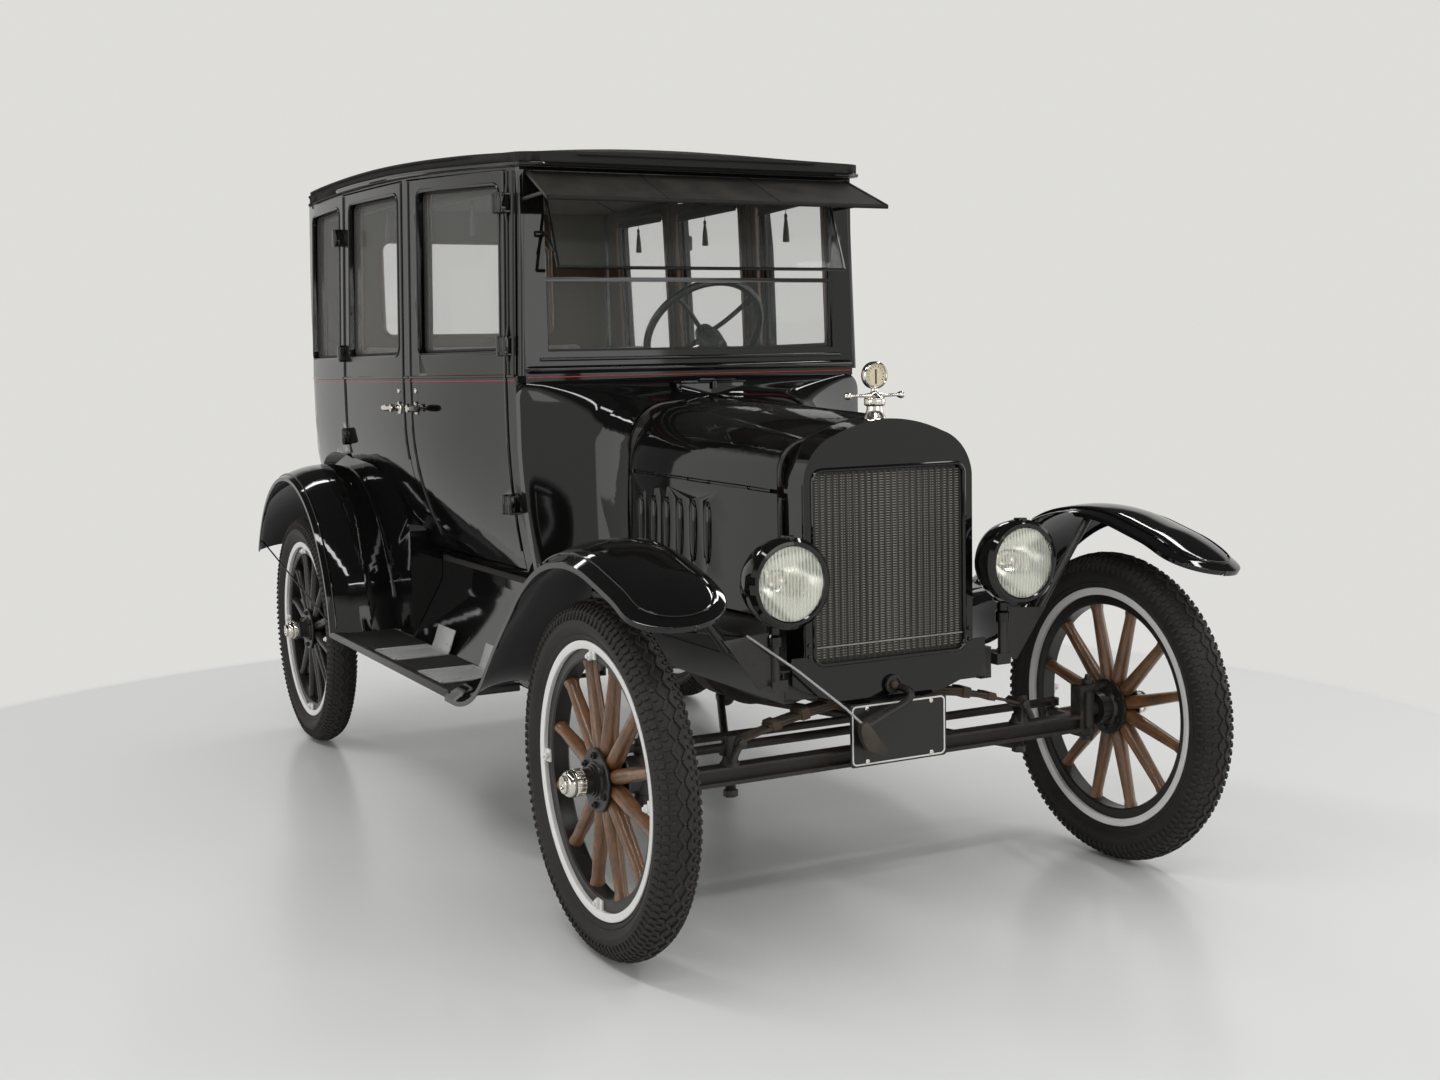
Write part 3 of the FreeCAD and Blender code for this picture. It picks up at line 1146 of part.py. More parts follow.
def make_front_fenders():
    """Crowned fender swept from the running board over the wheel, with its inner apron."""
    path = bent_path(FRONT_PATH, FRONT_BENDS)
    start = FRONT_PATH[0]
    section = face(crown_section(), lambda p: V(p[0], start[0], start[1] + p[1]))
    sweep = path.makePipeShell([section], True, False)
    x0, x1 = FENDER_X
    y_end = FRONT_TIP_Y
    trim = prism([(x0 - 5, 0.0), (x0 - 5, -1600.0), (x0 + 30, y_end + 22, 0), (x0 + 95, y_end),
                  (x1 - 60, y_end),
                  (x1 + 2, y_end + 90, 0), (x1 + 2, -1560.0), (x1 + 2, 0.0)], plan(300.0), (0, 0, 900))
    sweep = largest(sweep.common(trim).cut(board_box(FIT)))

    def inner_edge(y):
        """Height of the middle of the sweep's sheet along its inner edge."""
        def height(v):
            upright = Part.makeLine(V(0, v, 0), V(0, v, 1500))
            return upright.distToShape(path)[1][0][0].z
        slope = (height(y + 2) - height(y - 2)) / 4
        return height(y) + (FENDER_CROWN - 8.0 - SKIN / 2) * math.sqrt(1 + slope * slope)
    rows = (
        # y, height at the frame, height half way out
        (-1150.0, 650.0, 715.0),
        (-1090.0, 652.0, 715.0),
        (-1030.0, 654.0, 712.0),
        (-960.0, 655.0, 705.0),
        (-890.0, 650.0, 685.0),
        (-820.0, 635.0, 645.0),
        (-750.0, 622.0, 600.0),
        (-705.0, 614.0, 570.0),
        (-662.0, 608.0, 545.0),
    )
    wires = []
    for y, za, zb in rows:
        xa, zc = LEDGE_X[1] + FIT, inner_edge(y)
        pts = [(xa, za), (520.0, zb), (x0 + 12, zc + 1.5), (x0 + 12, zc + 1.5 - SKIN), (520.0, zb - SKIN),
               (xa, za - SKIN)]
        wires.append(face(pts, front(y)))
    apron = Part.makeLoft(wires, True, True)
    whole = fuse([sweep, apron])
    save("front_fenders", both(whole))
    return whole


def make_rear_fenders():
    """Round fender over the wheel and the housing that closes it against the body."""
    cy, cz = REAR_FENDER_CENTRE
    centre = V(0, cy, cz)
    section = face(crown_section(), lambda p: V(p[0], cy, cz + REAR_FENDER_R + p[1]))
    swept = Part.Face(section)
    swept.rotate(centre, V(1, 0, 0), -(90.0 - REAR_TAIL_ANGLE))
    crown = swept.revolve(centre, V(1, 0, 0), 180.0 - REAR_TAIL_ANGLE)
    crown = crown.cut(box(0, 900, 0, cy, 0, BOARD_Z[1] + FIT))
    inner_r = REAR_FENDER_R + FENDER_CROWN - 8.0 - SKIN
    x0, x1 = HOUSING_X
    y0, y1 = HOUSING_Y
    foot = BOARD_Z[1] + FIT
    line = housing_line(y0, 0.0)
    outline = [(y0, foot)] + line + [(line[-1][0], foot)]
    line = housing_line(y0 + SKIN, SKIN)
    hollow = [(y0 + SKIN, foot - 5)] + line[:-1] + [(line[-1][0] + 5, line[-1][1]),
                                                    (line[-1][0] + 5, foot - 5)]
    pan = prism(outline, side(x0), (x1 - x0, 0, 0)).cut(prism(hollow, side(x0 + SKIN),
                                                              (x1 - x0 - 2 * SKIN, 0, 0)))
    pan = pan.cut(box(x0 - 1, x1 - SKIN, y1, y1 + 100, 400, 1100))
    back = prism(outline, side(x0), (x1 - x0, 0, 0)).common(box(x0, x1, y1 - SKIN, y1, 400, 1100))
    below = box(x0 - 1, x0 + SKIN + 1, y0 + SKIN + 1, y1 + 100, 400, FLOOR_Z[0])
    arch = Part.makeCylinder(inner_r, 400.0, V(x0 + SKIN, cy, cz), V(1, 0, 0))
    pan = fuse([pan, back]).cut(below).cut(arch)
    save("rear_fenders", both(fuse([crown, pan])))


def make_boards():
    """Running boards on irons from the frame, with step plates and their kick plates."""
    x0, x1 = BOARD_X
    pieces = [board_box(0.0)]
    for y in BOARD_IRONS_Y:
        pieces.append(box(RAIL_X[1] + FIT, x1 - 40, y - 16.0, y + 16.0, BOARD_Z[0] - 8, BOARD_Z[0]))
        pieces.append(box(RAIL_X[1] + FIT, RAIL_X[1] + 10, y - 16.0, y + 16.0, BOARD_Z[0] - 8,
                          RAIL_Z[0] + 50))
    for y in STEP_PLATES_Y:
        pieces.append(box(x0 + 18, x1 - 12, y - 105.0, y + 105.0, BOARD_Z[1], BOARD_Z[1] + 4))
        pts = [(x0 + 6, BOARD_Z[1]), (x0 + 17, BOARD_Z[1]), (x0 - 12, BOARD_Z[1] + 66),
               (x0 - 16, BOARD_Z[1] + 64)]
        pieces.append(prism(pts, front(y - 75.0), (0, 150.0, 0)))
    save("running_boards", both(fuse(pieces)))


def make_splash_aprons(fender):
    """Curved apron that closes the gap between body, frame and running board."""
    d = SKIN
    x1, top = BOARD_X[0], FLOOR_Z[0] - FIT
    pts = [(440.0, top), (487.0, top), (487.0, 640.0), (505.0, 604.0), (563.0, 503.0, 0),
           (x1, BOARD_Z[1] - 4),
           (x1, BOARD_Z[1] - 4 - d), (560.0, 501.0, 0), (502.0, 602.0), (484.0, 639.0), (484.0,
                   top - d), (440.0, top - d)]
    apron = prism(pts, front(-655.0), (0, HOUSING_Y[0] - 5.0 + 655.0, 0))
    save("splash_aprons", both(largest(apron.cut(fender))))


# ---------------------------------------------------------------- lamps and small parts
def make_lamps(fender):
    """Drum headlamps on posts from the fender irons, with their gussets."""
    y0 = LAMP_Y
    profile = [(0, y0 + LAMP_DEPTH), (40.0, y0 + LAMP_DEPTH - 2), (73.0, y0 + LAMP_DEPTH - 24, 0),
               (96.0, y0 + 48),
               (96.0, y0 + 22), (LAMP_R, y0 + 20), (LAMP_R, y0 - 4), (LENS_R + FIT,
                       y0 - 10), (LENS_R + FIT, y0 + 6), (0, y0 + 6)]
    bucket = turned(face(profile, lambda p: V(LAMP_X + p[0], p[1], LAMP_Z)), V(LAMP_X, 0, LAMP_Z),
                    V(0, 1, 0))
    post_y = LAMP_Y + 75.0
    foot = RAIL_X[1] + FIT
    bracket = box(foot, LAMP_X + 14, post_y - 14, RAIL_Y[0] + 45, RAIL_Z[0] + 34, RAIL_Z[0] + 60)
    post = rod((LAMP_X, post_y, RAIL_Z[0] + 40), (LAMP_X, post_y, LAMP_Z - 60), 12.0)
    gusset = prism([(LAMP_X, 690.0), (LAMP_X + 130.0, 690.0), (LAMP_X + 40.0, 560.0), (LAMP_X, 575.0)],
                   front(post_y - 2), (0, 4, 0))
    iron_y = post_y + 18
    iron = pipe([(LAMP_X - 12, iron_y, 568.0), (LAMP_X + 110, iron_y, 662.0),
                 (FENDER_X[0] + 45, iron_y + 6, 955.0)], 10.0)
    iron = largest(iron.cut(fender))
    link = rod((LAMP_X + 100, post_y, 660.0), (LAMP_X + 108, iron_y, 662.0), 8.0)
    save("headlamps", both(fuse([bucket, bracket, post, gusset, iron, link])))
    lens = rod((LAMP_X, y0 - 8, LAMP_Z), (LAMP_X, y0 + 6, LAMP_Z), LENS_R)
    save("headlamp_lenses", both(lens))


def make_crank():
    """Starting crank: shaft through the apron, swept arm, grip and the strap that holds it up."""
    y = CRANK_ARM_Y
    shaft = rod((0, FRONT_SPRING_Y + 50, CRANK_Z), (0, y, CRANK_Z), CRANK_R)
    arm = pipe([(0, y, CRANK_Z), (12.0, y - 2, CRANK_Z - 14), (-118.0, y - 8, 458.0)], 10.0)
    grip = prism([(-128.0, 448.0), (-112.0, 470.0), (-56.0, 402.0), (-62.0, 388.0), (-108.0, 404.0)],
                 front(y - 18.0), (0, 18.0, 0))
    strap = rod((-118.0, y - 8, 462.0), (-LAMP_X - 73, LAMP_Y + 73.0, 684.0), 3.0)
    strap = strap.cut(box(-500, 0, LAMP_Y + 75.0 - 2 - FIT, 0, 0, 900))
    save("crank_handle", fuse([shaft, arm, grip, strap]))


def make_plate():
    """Blank number plate on a stay from the apron."""
    z0, z1 = PLATE_Z
    plate = prism(rounded(-PLATE_HALF, PLATE_HALF, z0, z1, 8.0), front(PLATE_Y), (0, PLATE_SHEET, 0))
    dx, dz = PLATE_HOLES[0] / 2, PLATE_HOLES[1] / 2
    middle = (z0 + z1) / 2
    holes = [rod((x, PLATE_Y - 20, middle + z), (x, PLATE_Y + 20, middle + z), PLATE_HOLE_R)
             for x in (-dx, dx) for z in (-dz, dz)]
    stay = box(-60.0, 60.0, PLATE_Y + PLATE_SHEET, SHELL_Y[0] - FIT, z1 - 6, z1 - 2)
    save("number_plate", fuse([plate, stay]).cut(Part.makeCompound(holes)))


def main():
    make_wheels()
    make_springs()
    make_front_axle()
    make_rear_axle()
    make_frame()
    make_engine()
    make_exhaust()
    make_knuckles()
    make_linkage()
    make_column()
    make_hand_wheel()
    roof = roof_solid()
    save("roof", roof)
    make_cabin(roof)
    screen = make_windscreen(roof)
    make_fixed_glass()
    make_visor(roof, screen)
    make_cowl()
    make_floor()
    make_seats()
    make_hood()
    make_radiator()
    fender = make_front_fenders()
    make_rear_fenders()
    make_boards()
    make_splash_aprons(fender)
    make_lamps(fender)
    make_crank()
    make_plate()
    total = Part.makeCompound(list(FINISHED.values())).BoundBox
    print("nodes", len(FINISHED), "box", [round(v, 1) for v in (total.XMin, total.XMax, total.YMin,
                                                                total.YMax,
                                                               total.ZMin, total.ZMax)])
    for name, shape in FINISHED.items():
        bad = "" if shape.isValid() and shape.Volume > 0 else "  INVALID"
        print("%-26s solids %d  vol %.0f cm3%s" % (name, len(shape.Solids), shape.Volume / 1000, bad))


if __name__ == "__main__":
    main()
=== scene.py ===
"""Dressed model of a four-door sedan of the early 1920s.

+X is the car's left-hand side, -Y is forward and +Z is up; all sizes are in metres.
"""
from __future__ import annotations

import json
import logging
import math
import sys
from contextlib import contextmanager
from dataclasses import dataclass, field
from enum import Enum
from typing import Callable, Iterable, Iterator, Sequence

import bpy
from mathutils import Matrix, Vector
from mathutils.bvhtree import BVHTree

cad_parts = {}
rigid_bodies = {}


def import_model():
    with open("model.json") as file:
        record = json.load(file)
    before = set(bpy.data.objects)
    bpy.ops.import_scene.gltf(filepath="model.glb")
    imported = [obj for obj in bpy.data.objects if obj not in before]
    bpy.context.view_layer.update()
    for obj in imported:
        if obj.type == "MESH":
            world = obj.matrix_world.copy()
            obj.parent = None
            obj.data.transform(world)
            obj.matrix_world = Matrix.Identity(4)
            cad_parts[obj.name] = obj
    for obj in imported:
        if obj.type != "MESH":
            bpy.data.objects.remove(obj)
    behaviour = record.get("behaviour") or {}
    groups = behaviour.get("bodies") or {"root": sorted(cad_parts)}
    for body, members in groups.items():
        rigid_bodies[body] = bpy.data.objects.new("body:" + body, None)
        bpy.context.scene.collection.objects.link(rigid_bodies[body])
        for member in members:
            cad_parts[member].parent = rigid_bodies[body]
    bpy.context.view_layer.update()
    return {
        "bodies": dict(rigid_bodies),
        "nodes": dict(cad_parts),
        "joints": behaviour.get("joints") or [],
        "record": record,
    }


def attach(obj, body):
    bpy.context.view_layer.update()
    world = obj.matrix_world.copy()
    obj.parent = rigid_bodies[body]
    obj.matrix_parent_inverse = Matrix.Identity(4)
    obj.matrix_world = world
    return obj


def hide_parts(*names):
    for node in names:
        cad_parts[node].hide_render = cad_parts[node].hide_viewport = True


LOG = logging.getLogger("sedan")
Point = Sequence[float]
X_AXIS, Y_AXIS, Z_AXIS = Vector((1, 0, 0)), Vector((0, 1, 0)), Vector((0, 0, 1))
MIRROR = Matrix.Scale(-1, 4, X_AXIS)
WELD = 1e-5


class Side(Enum):
    """The two sides of the car, with the sign of X on each."""

    LEFT = 1
    RIGHT = -1

    @property
    def word(self) -> str:
        """The side as it stands in the names of nodes."""
        return self.name.lower()

    @property
    def flip(self) -> Matrix:
        """What turns a piece drawn for the left into this side's."""
        return MIRROR if self is Side.RIGHT else Matrix.Identity(4)


def clamped(value: float) -> float:
    """Keep a share between 0 and 1."""
    return min(1.0, max(0.0, value))


def eased(share: float) -> float:
    """Ease a share in and out; 0 and 1 stay."""
    return share * share * (3 - 2 * share)


def rounded(low: tuple[float, float], high: tuple[float, float], corner: float,
            steps: int) -> list[tuple[float, float]]:
    """Outline of a rectangle with round corners.

    Args:
        low: its lowest corner.
        high: its highest corner.
        corner: radius of the corners.
        steps: steps round each corner.
    Returns:
        Its points in order, as pairs.
    """
    (a0, b0), (a1, b1) = (low[0] + corner, low[1] + corner), (high[0] - corner, high[1] - corner)
    points = []
    for a, b, start in ((a1, b1, 0), (a0, b1, 90), (a0, b0, 180), (a1, b0, 270)):
        for k in range(steps + 1):
            t = math.radians(start + 90 / steps * k)
            points.append((a + corner * math.cos(t), b + corner * math.sin(t)))
    return points


def spun(count: int, shift: float = 0.0) -> list[Matrix]:
    """Turns about X that spread copies evenly round an axle.

    Args:
        count: how many copies.
        shift: how far the first one is turned, in steps.
    Returns:
        The turns in order.
    """
    return [Matrix.Rotation((i + shift) * math.tau / count, 4, "X") for i in range(count)]


# ------------------------------------------------------------------ shader groups
class Tree:
    """Thin wrapper that adds and joins nodes of one node tree."""

    def __init__(self, tree: bpy.types.NodeTree) -> None:
        """Keep the tree that the nodes go into."""
        self.tree = tree

    def add(self, kind: str, values: dict | None = None, **settings: object) -> bpy.types.Node:
        """Add a node.

        Args:
            kind: the node's type without its ShaderNode prefix.
            values: numbers for its input sockets, by name or index.
            settings: plain properties of the node.
        Returns:
            The new node.
        """
        node = self.tree.nodes.new("ShaderNode" + kind)
        for key, value in settings.items():
            setattr(node, key, value)
        for key, value in (values or {}).items():
            node.inputs[key].default_value = value
        return node

    def link(self, source: bpy.types.NodeSocket, target: bpy.types.NodeSocket) -> None:
        """Join two sockets."""
        self.tree.links.new(source, target)

    def math(self, operation: str, a: object, b: object = 0.5, clamp: bool = False) -> bpy.types.NodeSocket:
        """Add a math node fed by sockets or numbers.

        Args:
            operation: the node's operation.
            a: first socket or number.
            b: second socket or number.
            clamp: whether the result stays between 0 and 1.
        Returns:
            The result's socket.
        """
        node = self.add("Math", operation=operation, use_clamp=clamp)
        for index, value in enumerate((a, b)):
            if isinstance(value, bpy.types.NodeSocket):
                self.link(value, node.inputs[index])
            else:
                node.inputs[index].default_value = value
        return node.outputs[0]

    def noise(self, vector: bpy.types.NodeSocket, scale: float, detail: float = 3.0,
              roughness: float = 0.55) -> bpy.types.NodeSocket:
        """Add a noise texture and give back its factor.

        Args:
            vector: the coordinates' socket.
            scale: the noise's scale.
            detail: its octaves.
            roughness: how strong the fine octaves are.
        Returns:
            The factor's socket.
        """
        node = self.add("TexNoise", {"Scale": scale, "Detail": detail, "Roughness": roughness})
        self.link(vector, node.inputs["Vector"])
        return node.outputs["Factor" if "Factor" in node.outputs else "Fac"]

    def ramp(self, factor: bpy.types.NodeSocket, low: float, high: float) -> bpy.types.NodeSocket:
        """Stretch a factor so that low becomes 0 and high becomes 1.

        Args:
            factor: the socket to stretch.
            low: value that becomes 0.
            high: value that becomes 1.
        Returns:
            The stretched socket.
        """
        node = self.add("MapRange", {"From Min": low, "From Max": high}, clamp=True)
        self.link(factor, node.inputs["Value"])
        return node.outputs[0]


class Effect(Enum):
    """Surface effects shared by several finishes, each built once as a node group."""

    DUST = "settled_dust"
    GRAIN = "wood_grain"
    RUST = "rust_patches"
    WEAVE = "cloth_weave"
    HIDE = "leather_grain"

    def group(self) -> bpy.types.NodeTree:
        """Return the effect's node group, made on first use."""
        found = bpy.data.node_groups.get(self.value)
        return found or EFFECT_MAKERS[self](self.value)


def new_group(name: str, inputs: dict[str, float]) -> tuple[Tree, bpy.types.Node, bpy.types.Node]:
    """Start a node group with number inputs and the outputs Mask and Height.

    Args:
        name: the group's name.
        inputs: its inputs with their defaults.
    Returns:
        The tree, the group's input node and its output node.
    """
    group = bpy.data.node_groups.new(name, "ShaderNodeTree")
    for key, value in inputs.items():
        socket = group.interface.new_socket(key, in_out="INPUT", socket_type="NodeSocketFloat")
        socket.default_value = value
    for key in ("Mask", "Height"):
        group.interface.new_socket(key, in_out="OUTPUT", socket_type="NodeSocketFloat")
    tree = Tree(group)
    return tree, group.nodes.new("NodeGroupInput"), group.nodes.new("NodeGroupOutput")


def scaled_coordinates(tree: Tree, given: bpy.types.Node, stretch: Point = (1, 1, 1)) -> bpy.types.NodeSocket:
    """Object coordinates times the group's Scale input and a fixed stretch.

    Args:
        tree: the group's tree.
        given: its input node.
        stretch: factors along X, Y and Z.
    Returns:
        The vector's socket.
    """
    place = tree.add("TexCoord")
    fixed = tree.add("VectorMath", operation="MULTIPLY")
    fixed.inputs[1].default_value = stretch
    tree.link(place.outputs["Object"], fixed.inputs[0])
    scaled = tree.add("VectorMath", operation="SCALE")
    tree.link(fixed.outputs[0], scaled.inputs[0])
    tree.link(given.outputs["Scale"], scaled.inputs["Scale"])
    return scaled.outputs[0]


def make_dust(name: str) -> bpy.types.NodeTree:
    """Make the dust that lies on faces that look up and gathers in soft patches.

    Args:
        name: what the group is called.
    Returns:
        The node group.
    """
    tree, given, result = new_group(name, {"Scale": 1.0, "Amount": 0.5})
    vector = scaled_coordinates(tree, given)
    cloud = tree.ramp(tree.noise(vector, 3.0, 5.0), 0.35, 0.75)
    fine = tree.noise(vector, 90.0, 2.0)
    split = tree.add("SeparateXYZ")
    tree.link(tree.add("TexCoord").outputs["Normal"], split.inputs[0])
    upward = tree.ramp(split.outputs["Z"], -0.2, 1.0)
    mask = tree.math(
        "MULTIPLY", tree.math("ADD", tree.math("MULTIPLY", cloud, 0.6), tree.math("MULTIPLY", upward, 0.5)),
        tree.ramp(fine, 0.2, 0.8)
    )
    tree.link(tree.math("MULTIPLY", mask, given.outputs["Amount"], clamp=True), result.inputs["Mask"])
    tree.link(fine, result.inputs["Height"])
    return tree.tree


def make_grain(name: str) -> bpy.types.NodeTree:
    """Make long wood fibres with darker pores.

    Args:
        name: what the group is called.
    Returns:
        The node group.
    """
    tree, given, result = new_group(name, {"Scale": 1.0, "Contrast": 1.0})
    fibre = tree.noise(scaled_coordinates(tree, given, (14.0, 2.0, 2.0)), 9.0, 6.0, 0.65)
    pores = tree.noise(scaled_coordinates(tree, given, (60.0, 6.0, 6.0)), 14.0, 3.0)
    mix = tree.math("ADD", tree.math("MULTIPLY", fibre, 0.7), tree.math("MULTIPLY", pores, 0.3))
    level = tree.ramp(mix, 0.32, 0.68)
    tree.link(tree.math("MULTIPLY", level, given.outputs["Contrast"], clamp=True), result.inputs["Mask"])
    tree.link(pores, result.inputs["Height"])
    return tree.tree


def make_rust(name: str) -> bpy.types.NodeTree:
    """Make scabs of rust over old paint or steel.

    Args:
        name: what the group is called.
    Returns:
        The node group.
    """
    tree, given, result = new_group(name, {"Scale": 1.0, "Amount": 0.5})
    vector = scaled_coordinates(tree, given)
    broad = tree.noise(vector, 16.0, 6.0, 0.65)
    fine = tree.noise(vector, 220.0, 4.0)
    spots = tree.math("ADD", broad, tree.math("MULTIPLY", tree.math("SUBTRACT", fine, 0.5), 0.35))
    edge = tree.math("SUBTRACT", 0.78, tree.math("MULTIPLY", given.outputs["Amount"], 0.5))
    mask = tree.math("MULTIPLY", tree.math("SUBTRACT", spots, edge), 9.0, clamp=True)
    tree.link(mask, result.inputs["Mask"])
    tree.link(
        tree.math("ADD", tree.math("MULTIPLY", mask, 0.6), tree.math("MULTIPLY", fine, 0.4)),
        result.inputs["Height"]
    )
    return tree.tree


def make_weave(name: str) -> bpy.types.NodeTree:
    """Make crossed threads.

    Args:
        name: what the group is called.
    Returns:
        The node group.
    """
    tree, given, result = new_group(name, {"Scale": 1.0, "Wear": 0.3})
    vector = scaled_coordinates(tree, given)
    heights = []
    for direction in ("X", "Y", "Z"):
        wave = tree.add(
            "TexWave", {"Scale": 1.0, "Distortion": 1.2, "Detail": 1.0}, wave_type="BANDS",
            bands_direction=direction
        )
        tree.link(vector, wave.inputs["Vector"])
        heights.append(wave.outputs["Fac"])
    threads = tree.math(
        "MULTIPLY", tree.math("ADD", tree.math("ADD", heights[0], heights[1]), heights[2]), 0.333
    )
    worn = tree.noise(vector, 0.02, 4.0)
    tree.link(
        tree.math(
            "ADD", tree.math("MULTIPLY", threads, 0.6),
            tree.math("MULTIPLY", tree.math("MULTIPLY", worn, given.outputs["Wear"]), 1.2), clamp=True
        ),
        result.inputs["Mask"]
    )
    tree.link(threads, result.inputs["Height"])
    return tree.tree


def make_hide(name: str) -> bpy.types.NodeTree:
    """Make the pebbled grain of coated cloth or leather.

    Args:
        name: what the group is called.
    Returns:
        The node group.
    """
    tree, given, result = new_group(name, {"Scale": 1.0, "Wear": 0.3})
    vector = scaled_coordinates(tree, given)
    cells = tree.add("TexVoronoi", {"Scale": 260.0, "Randomness": 1.0}, feature="F1")
    tree.link(vector, cells.inputs["Vector"])
    creases = tree.noise(vector, 12.0, 6.0, 0.6)
    tree.link(
        tree.math("MULTIPLY", tree.ramp(creases, 0.4, 0.7), given.outputs["Wear"], clamp=True),
        result.inputs["Mask"]
    )
    tree.link(
        tree.math("ADD", tree.math("MULTIPLY", cells.outputs["Distance"], 0.8), creases),
        result.inputs["Height"]
    )
    return tree.tree


EFFECT_MAKERS: dict[Effect, Callable[[str], bpy.types.NodeTree]] = {
    Effect.DUST: make_dust, Effect.GRAIN: make_grain, Effect.RUST: make_rust,
    Effect.WEAVE: make_weave, Effect.HIDE: make_hide,
}


@dataclass(frozen=True)
class Layer:
    """One effect on a finish: where its mask is 1 the second colour and roughness show."""

    effect: Effect
    colour: tuple[float, float, float]
    roughness: float
    scale: float = 1.0
    strength: float = 0.5
    bump: float = 0.0
    bump_distance: float = 0.001


@dataclass(frozen=True)
class Finish:
    """A material: a base and the layers over it."""

    name: str
    slot: str
    colour: tuple[float, float, float]
    roughness: float
    metallic: float = 0.0
    coat: float = 0.0
    coat_roughness: float = 0.05
    sheen: float = 0.0
    specular: float = 0.5
    layers: tuple[Layer, ...] = ()

    def material(self) -> bpy.types.Material:
        """Look the material up, or make it on first use.

        Returns:
            The finish's material.
        """
        found = bpy.data.materials.get(self.name)
        if found:
            return found
        material = bpy.data.materials.new(self.name)
        material.use_nodes = True
        material.diffuse_color = (*self.colour, 1.0)
        tree = Tree(material.node_tree)
        shader = material.node_tree.nodes["Principled BSDF"]
        shader.inputs["Metallic"].default_value = self.metallic
        shader.inputs["Coat Weight"].default_value = self.coat
        shader.inputs["Coat Roughness"].default_value = self.coat_roughness
        shader.inputs["Sheen Weight"].default_value = self.sheen
        shader.inputs["Specular IOR Level"].default_value = self.specular
        shader.inputs["Base Color"].default_value = (*self.colour, 1.0)
        shader.inputs["Roughness"].default_value = self.roughness
        colour: object = (*self.colour, 1.0)
        rough: object = self.roughness
        normal = None
        for layer in self.layers:
            group = tree.add("Group")
            group.node_tree = layer.effect.group()
            group.inputs["Scale"].default_value = layer.scale
            group.inputs[1].default_value = layer.strength
            mix = tree.add("Mix", data_type="RGBA")
            if isinstance(colour, bpy.types.NodeSocket):
                tree.link(colour, mix.inputs[6])
            else:
                mix.inputs[6].default_value = colour
            mix.inputs[7].default_value = (*layer.colour, 1.0)
            tree.link(group.outputs["Mask"], mix.inputs["Factor"])
            colour = mix.outputs[2]
            blend = tree.add("Mix", data_type="FLOAT")
            if isinstance(rough, bpy.types.NodeSocket):
                tree.link(rough, blend.inputs[2])
            else:
                blend.inputs[2].default_value = rough
            blend.inputs[3].default_value = layer.roughness
            tree.link(group.outputs["Mask"], blend.inputs["Factor"])
            rough = blend.outputs[0]
            if layer.bump:
                bump = tree.add("Bump", {"Strength": layer.bump, "Distance": layer.bump_distance})
                tree.link(group.outputs["Height"], bump.inputs["Height"])
                if normal:
                    tree.link(normal, bump.inputs["Normal"])
                normal = bump.outputs["Normal"]
        if isinstance(colour, bpy.types.NodeSocket):
            tree.link(colour, shader.inputs["Base Color"])
            tree.link(rough, shader.inputs["Roughness"])
        if normal:
            tree.link(normal, shader.inputs["Normal"])
        return material


@dataclass(frozen=True)
class Glass(Finish):
    """Clear glass with a faint tint; where it is fluted, pale opaque bands along the ridges are painted
    highlights for the light that the flutes catch.
    """

    alpha: float = 0.22
    # Strength of the pale opaque bands along the flutes: a painted highlight, not milky glass.
    fluted: float = 0.0

    def material(self) -> bpy.types.Material:
        """Look the material up, or make it on first use.

        Returns:
            The glass's material.
        """
        found = bpy.data.materials.get(self.name)
        if found:
            return found
        material = super().material()
        shader = material.node_tree.nodes["Principled BSDF"]
        shader.inputs["Alpha"].default_value = self.alpha
        shader.inputs["IOR"].default_value = 1.5
        if self.fluted:
            tree = Tree(material.node_tree)
            # Pale opaque bands across the flutes: painted highlights that stand in for light caught in the
            # ridges.
            bands = tree.add(
                "TexWave", {"Scale": 36.0, "Distortion": 0.6, "Detail": 1.0, "Detail Scale": 0.5},
                wave_type="BANDS", bands_direction="X"
            )
            tree.link(tree.add("TexCoord").outputs["Object"], bands.inputs["Vector"])
            ridge = tree.math("POWER", bands.outputs["Fac"], 1.6)
            tree.link(
                tree.math("ADD", tree.math("MULTIPLY", ridge, self.fluted), self.alpha),
                shader.inputs["Alpha"]
            )
        return material


DUST_COLOUR = (0.15, 0.13, 0.108)
FILM = Layer(Effect.DUST, (0.060, 0.056, 0.050), 0.40, 1.0, 0.05)
FLOOR_DUST = Layer(Effect.DUST, DUST_COLOUR, 0.9, 3.0, 0.5)
THREADS = Layer(Effect.WEAVE, (0.027, 0.026, 0.025), 0.9, 400.0, 0.35, 0.25)
BLACK_GLOSS = Finish("black_gloss_paint", "black_gloss", (0.0045, 0.0043, 0.0042), 0.05, layers=(FILM,))
BLACK_UPPER = Finish("black_upper_paint", "black_gloss", (0.0085, 0.0083, 0.0080), 0.16,
                     layers=(Layer(Effect.DUST, (0.05, 0.048, 0.045), 0.4, 1.6, 0.10),))
BLACK_CHASSIS = Finish("black_chassis_paint", "black_gloss", (0.008, 0.0075, 0.007), 0.32,
                       layers=(Layer(Effect.DUST, DUST_COLOUR, 0.8, 2.0, 0.22),
                               Layer(Effect.RUST, (0.050, 0.027, 0.015), 0.8, 1.0, 0.25, 0.3)))
PINSTRIPE = Finish("red_pinstripe", "black_gloss", (0.36, 0.030, 0.020), 0.3, layers=(FILM,))
GRIME = Finish("oily_iron", "grimy_iron", (0.016, 0.0135, 0.011), 0.42, specular=0.4,
               layers=(Layer(Effect.RUST, (0.060, 0.034, 0.019), 0.85, 1.0, 0.40, 0.5),
                       Layer(Effect.DUST, DUST_COLOUR, 0.9, 3.0, 0.38)))
RUSTY = Finish("rusty_spring", "rusty_steel", (0.026, 0.019, 0.014), 0.6,
               layers=(Layer(Effect.RUST, (0.062, 0.038, 0.023), 0.9, 1.5, 0.75, 0.8, 0.002), FLOOR_DUST))
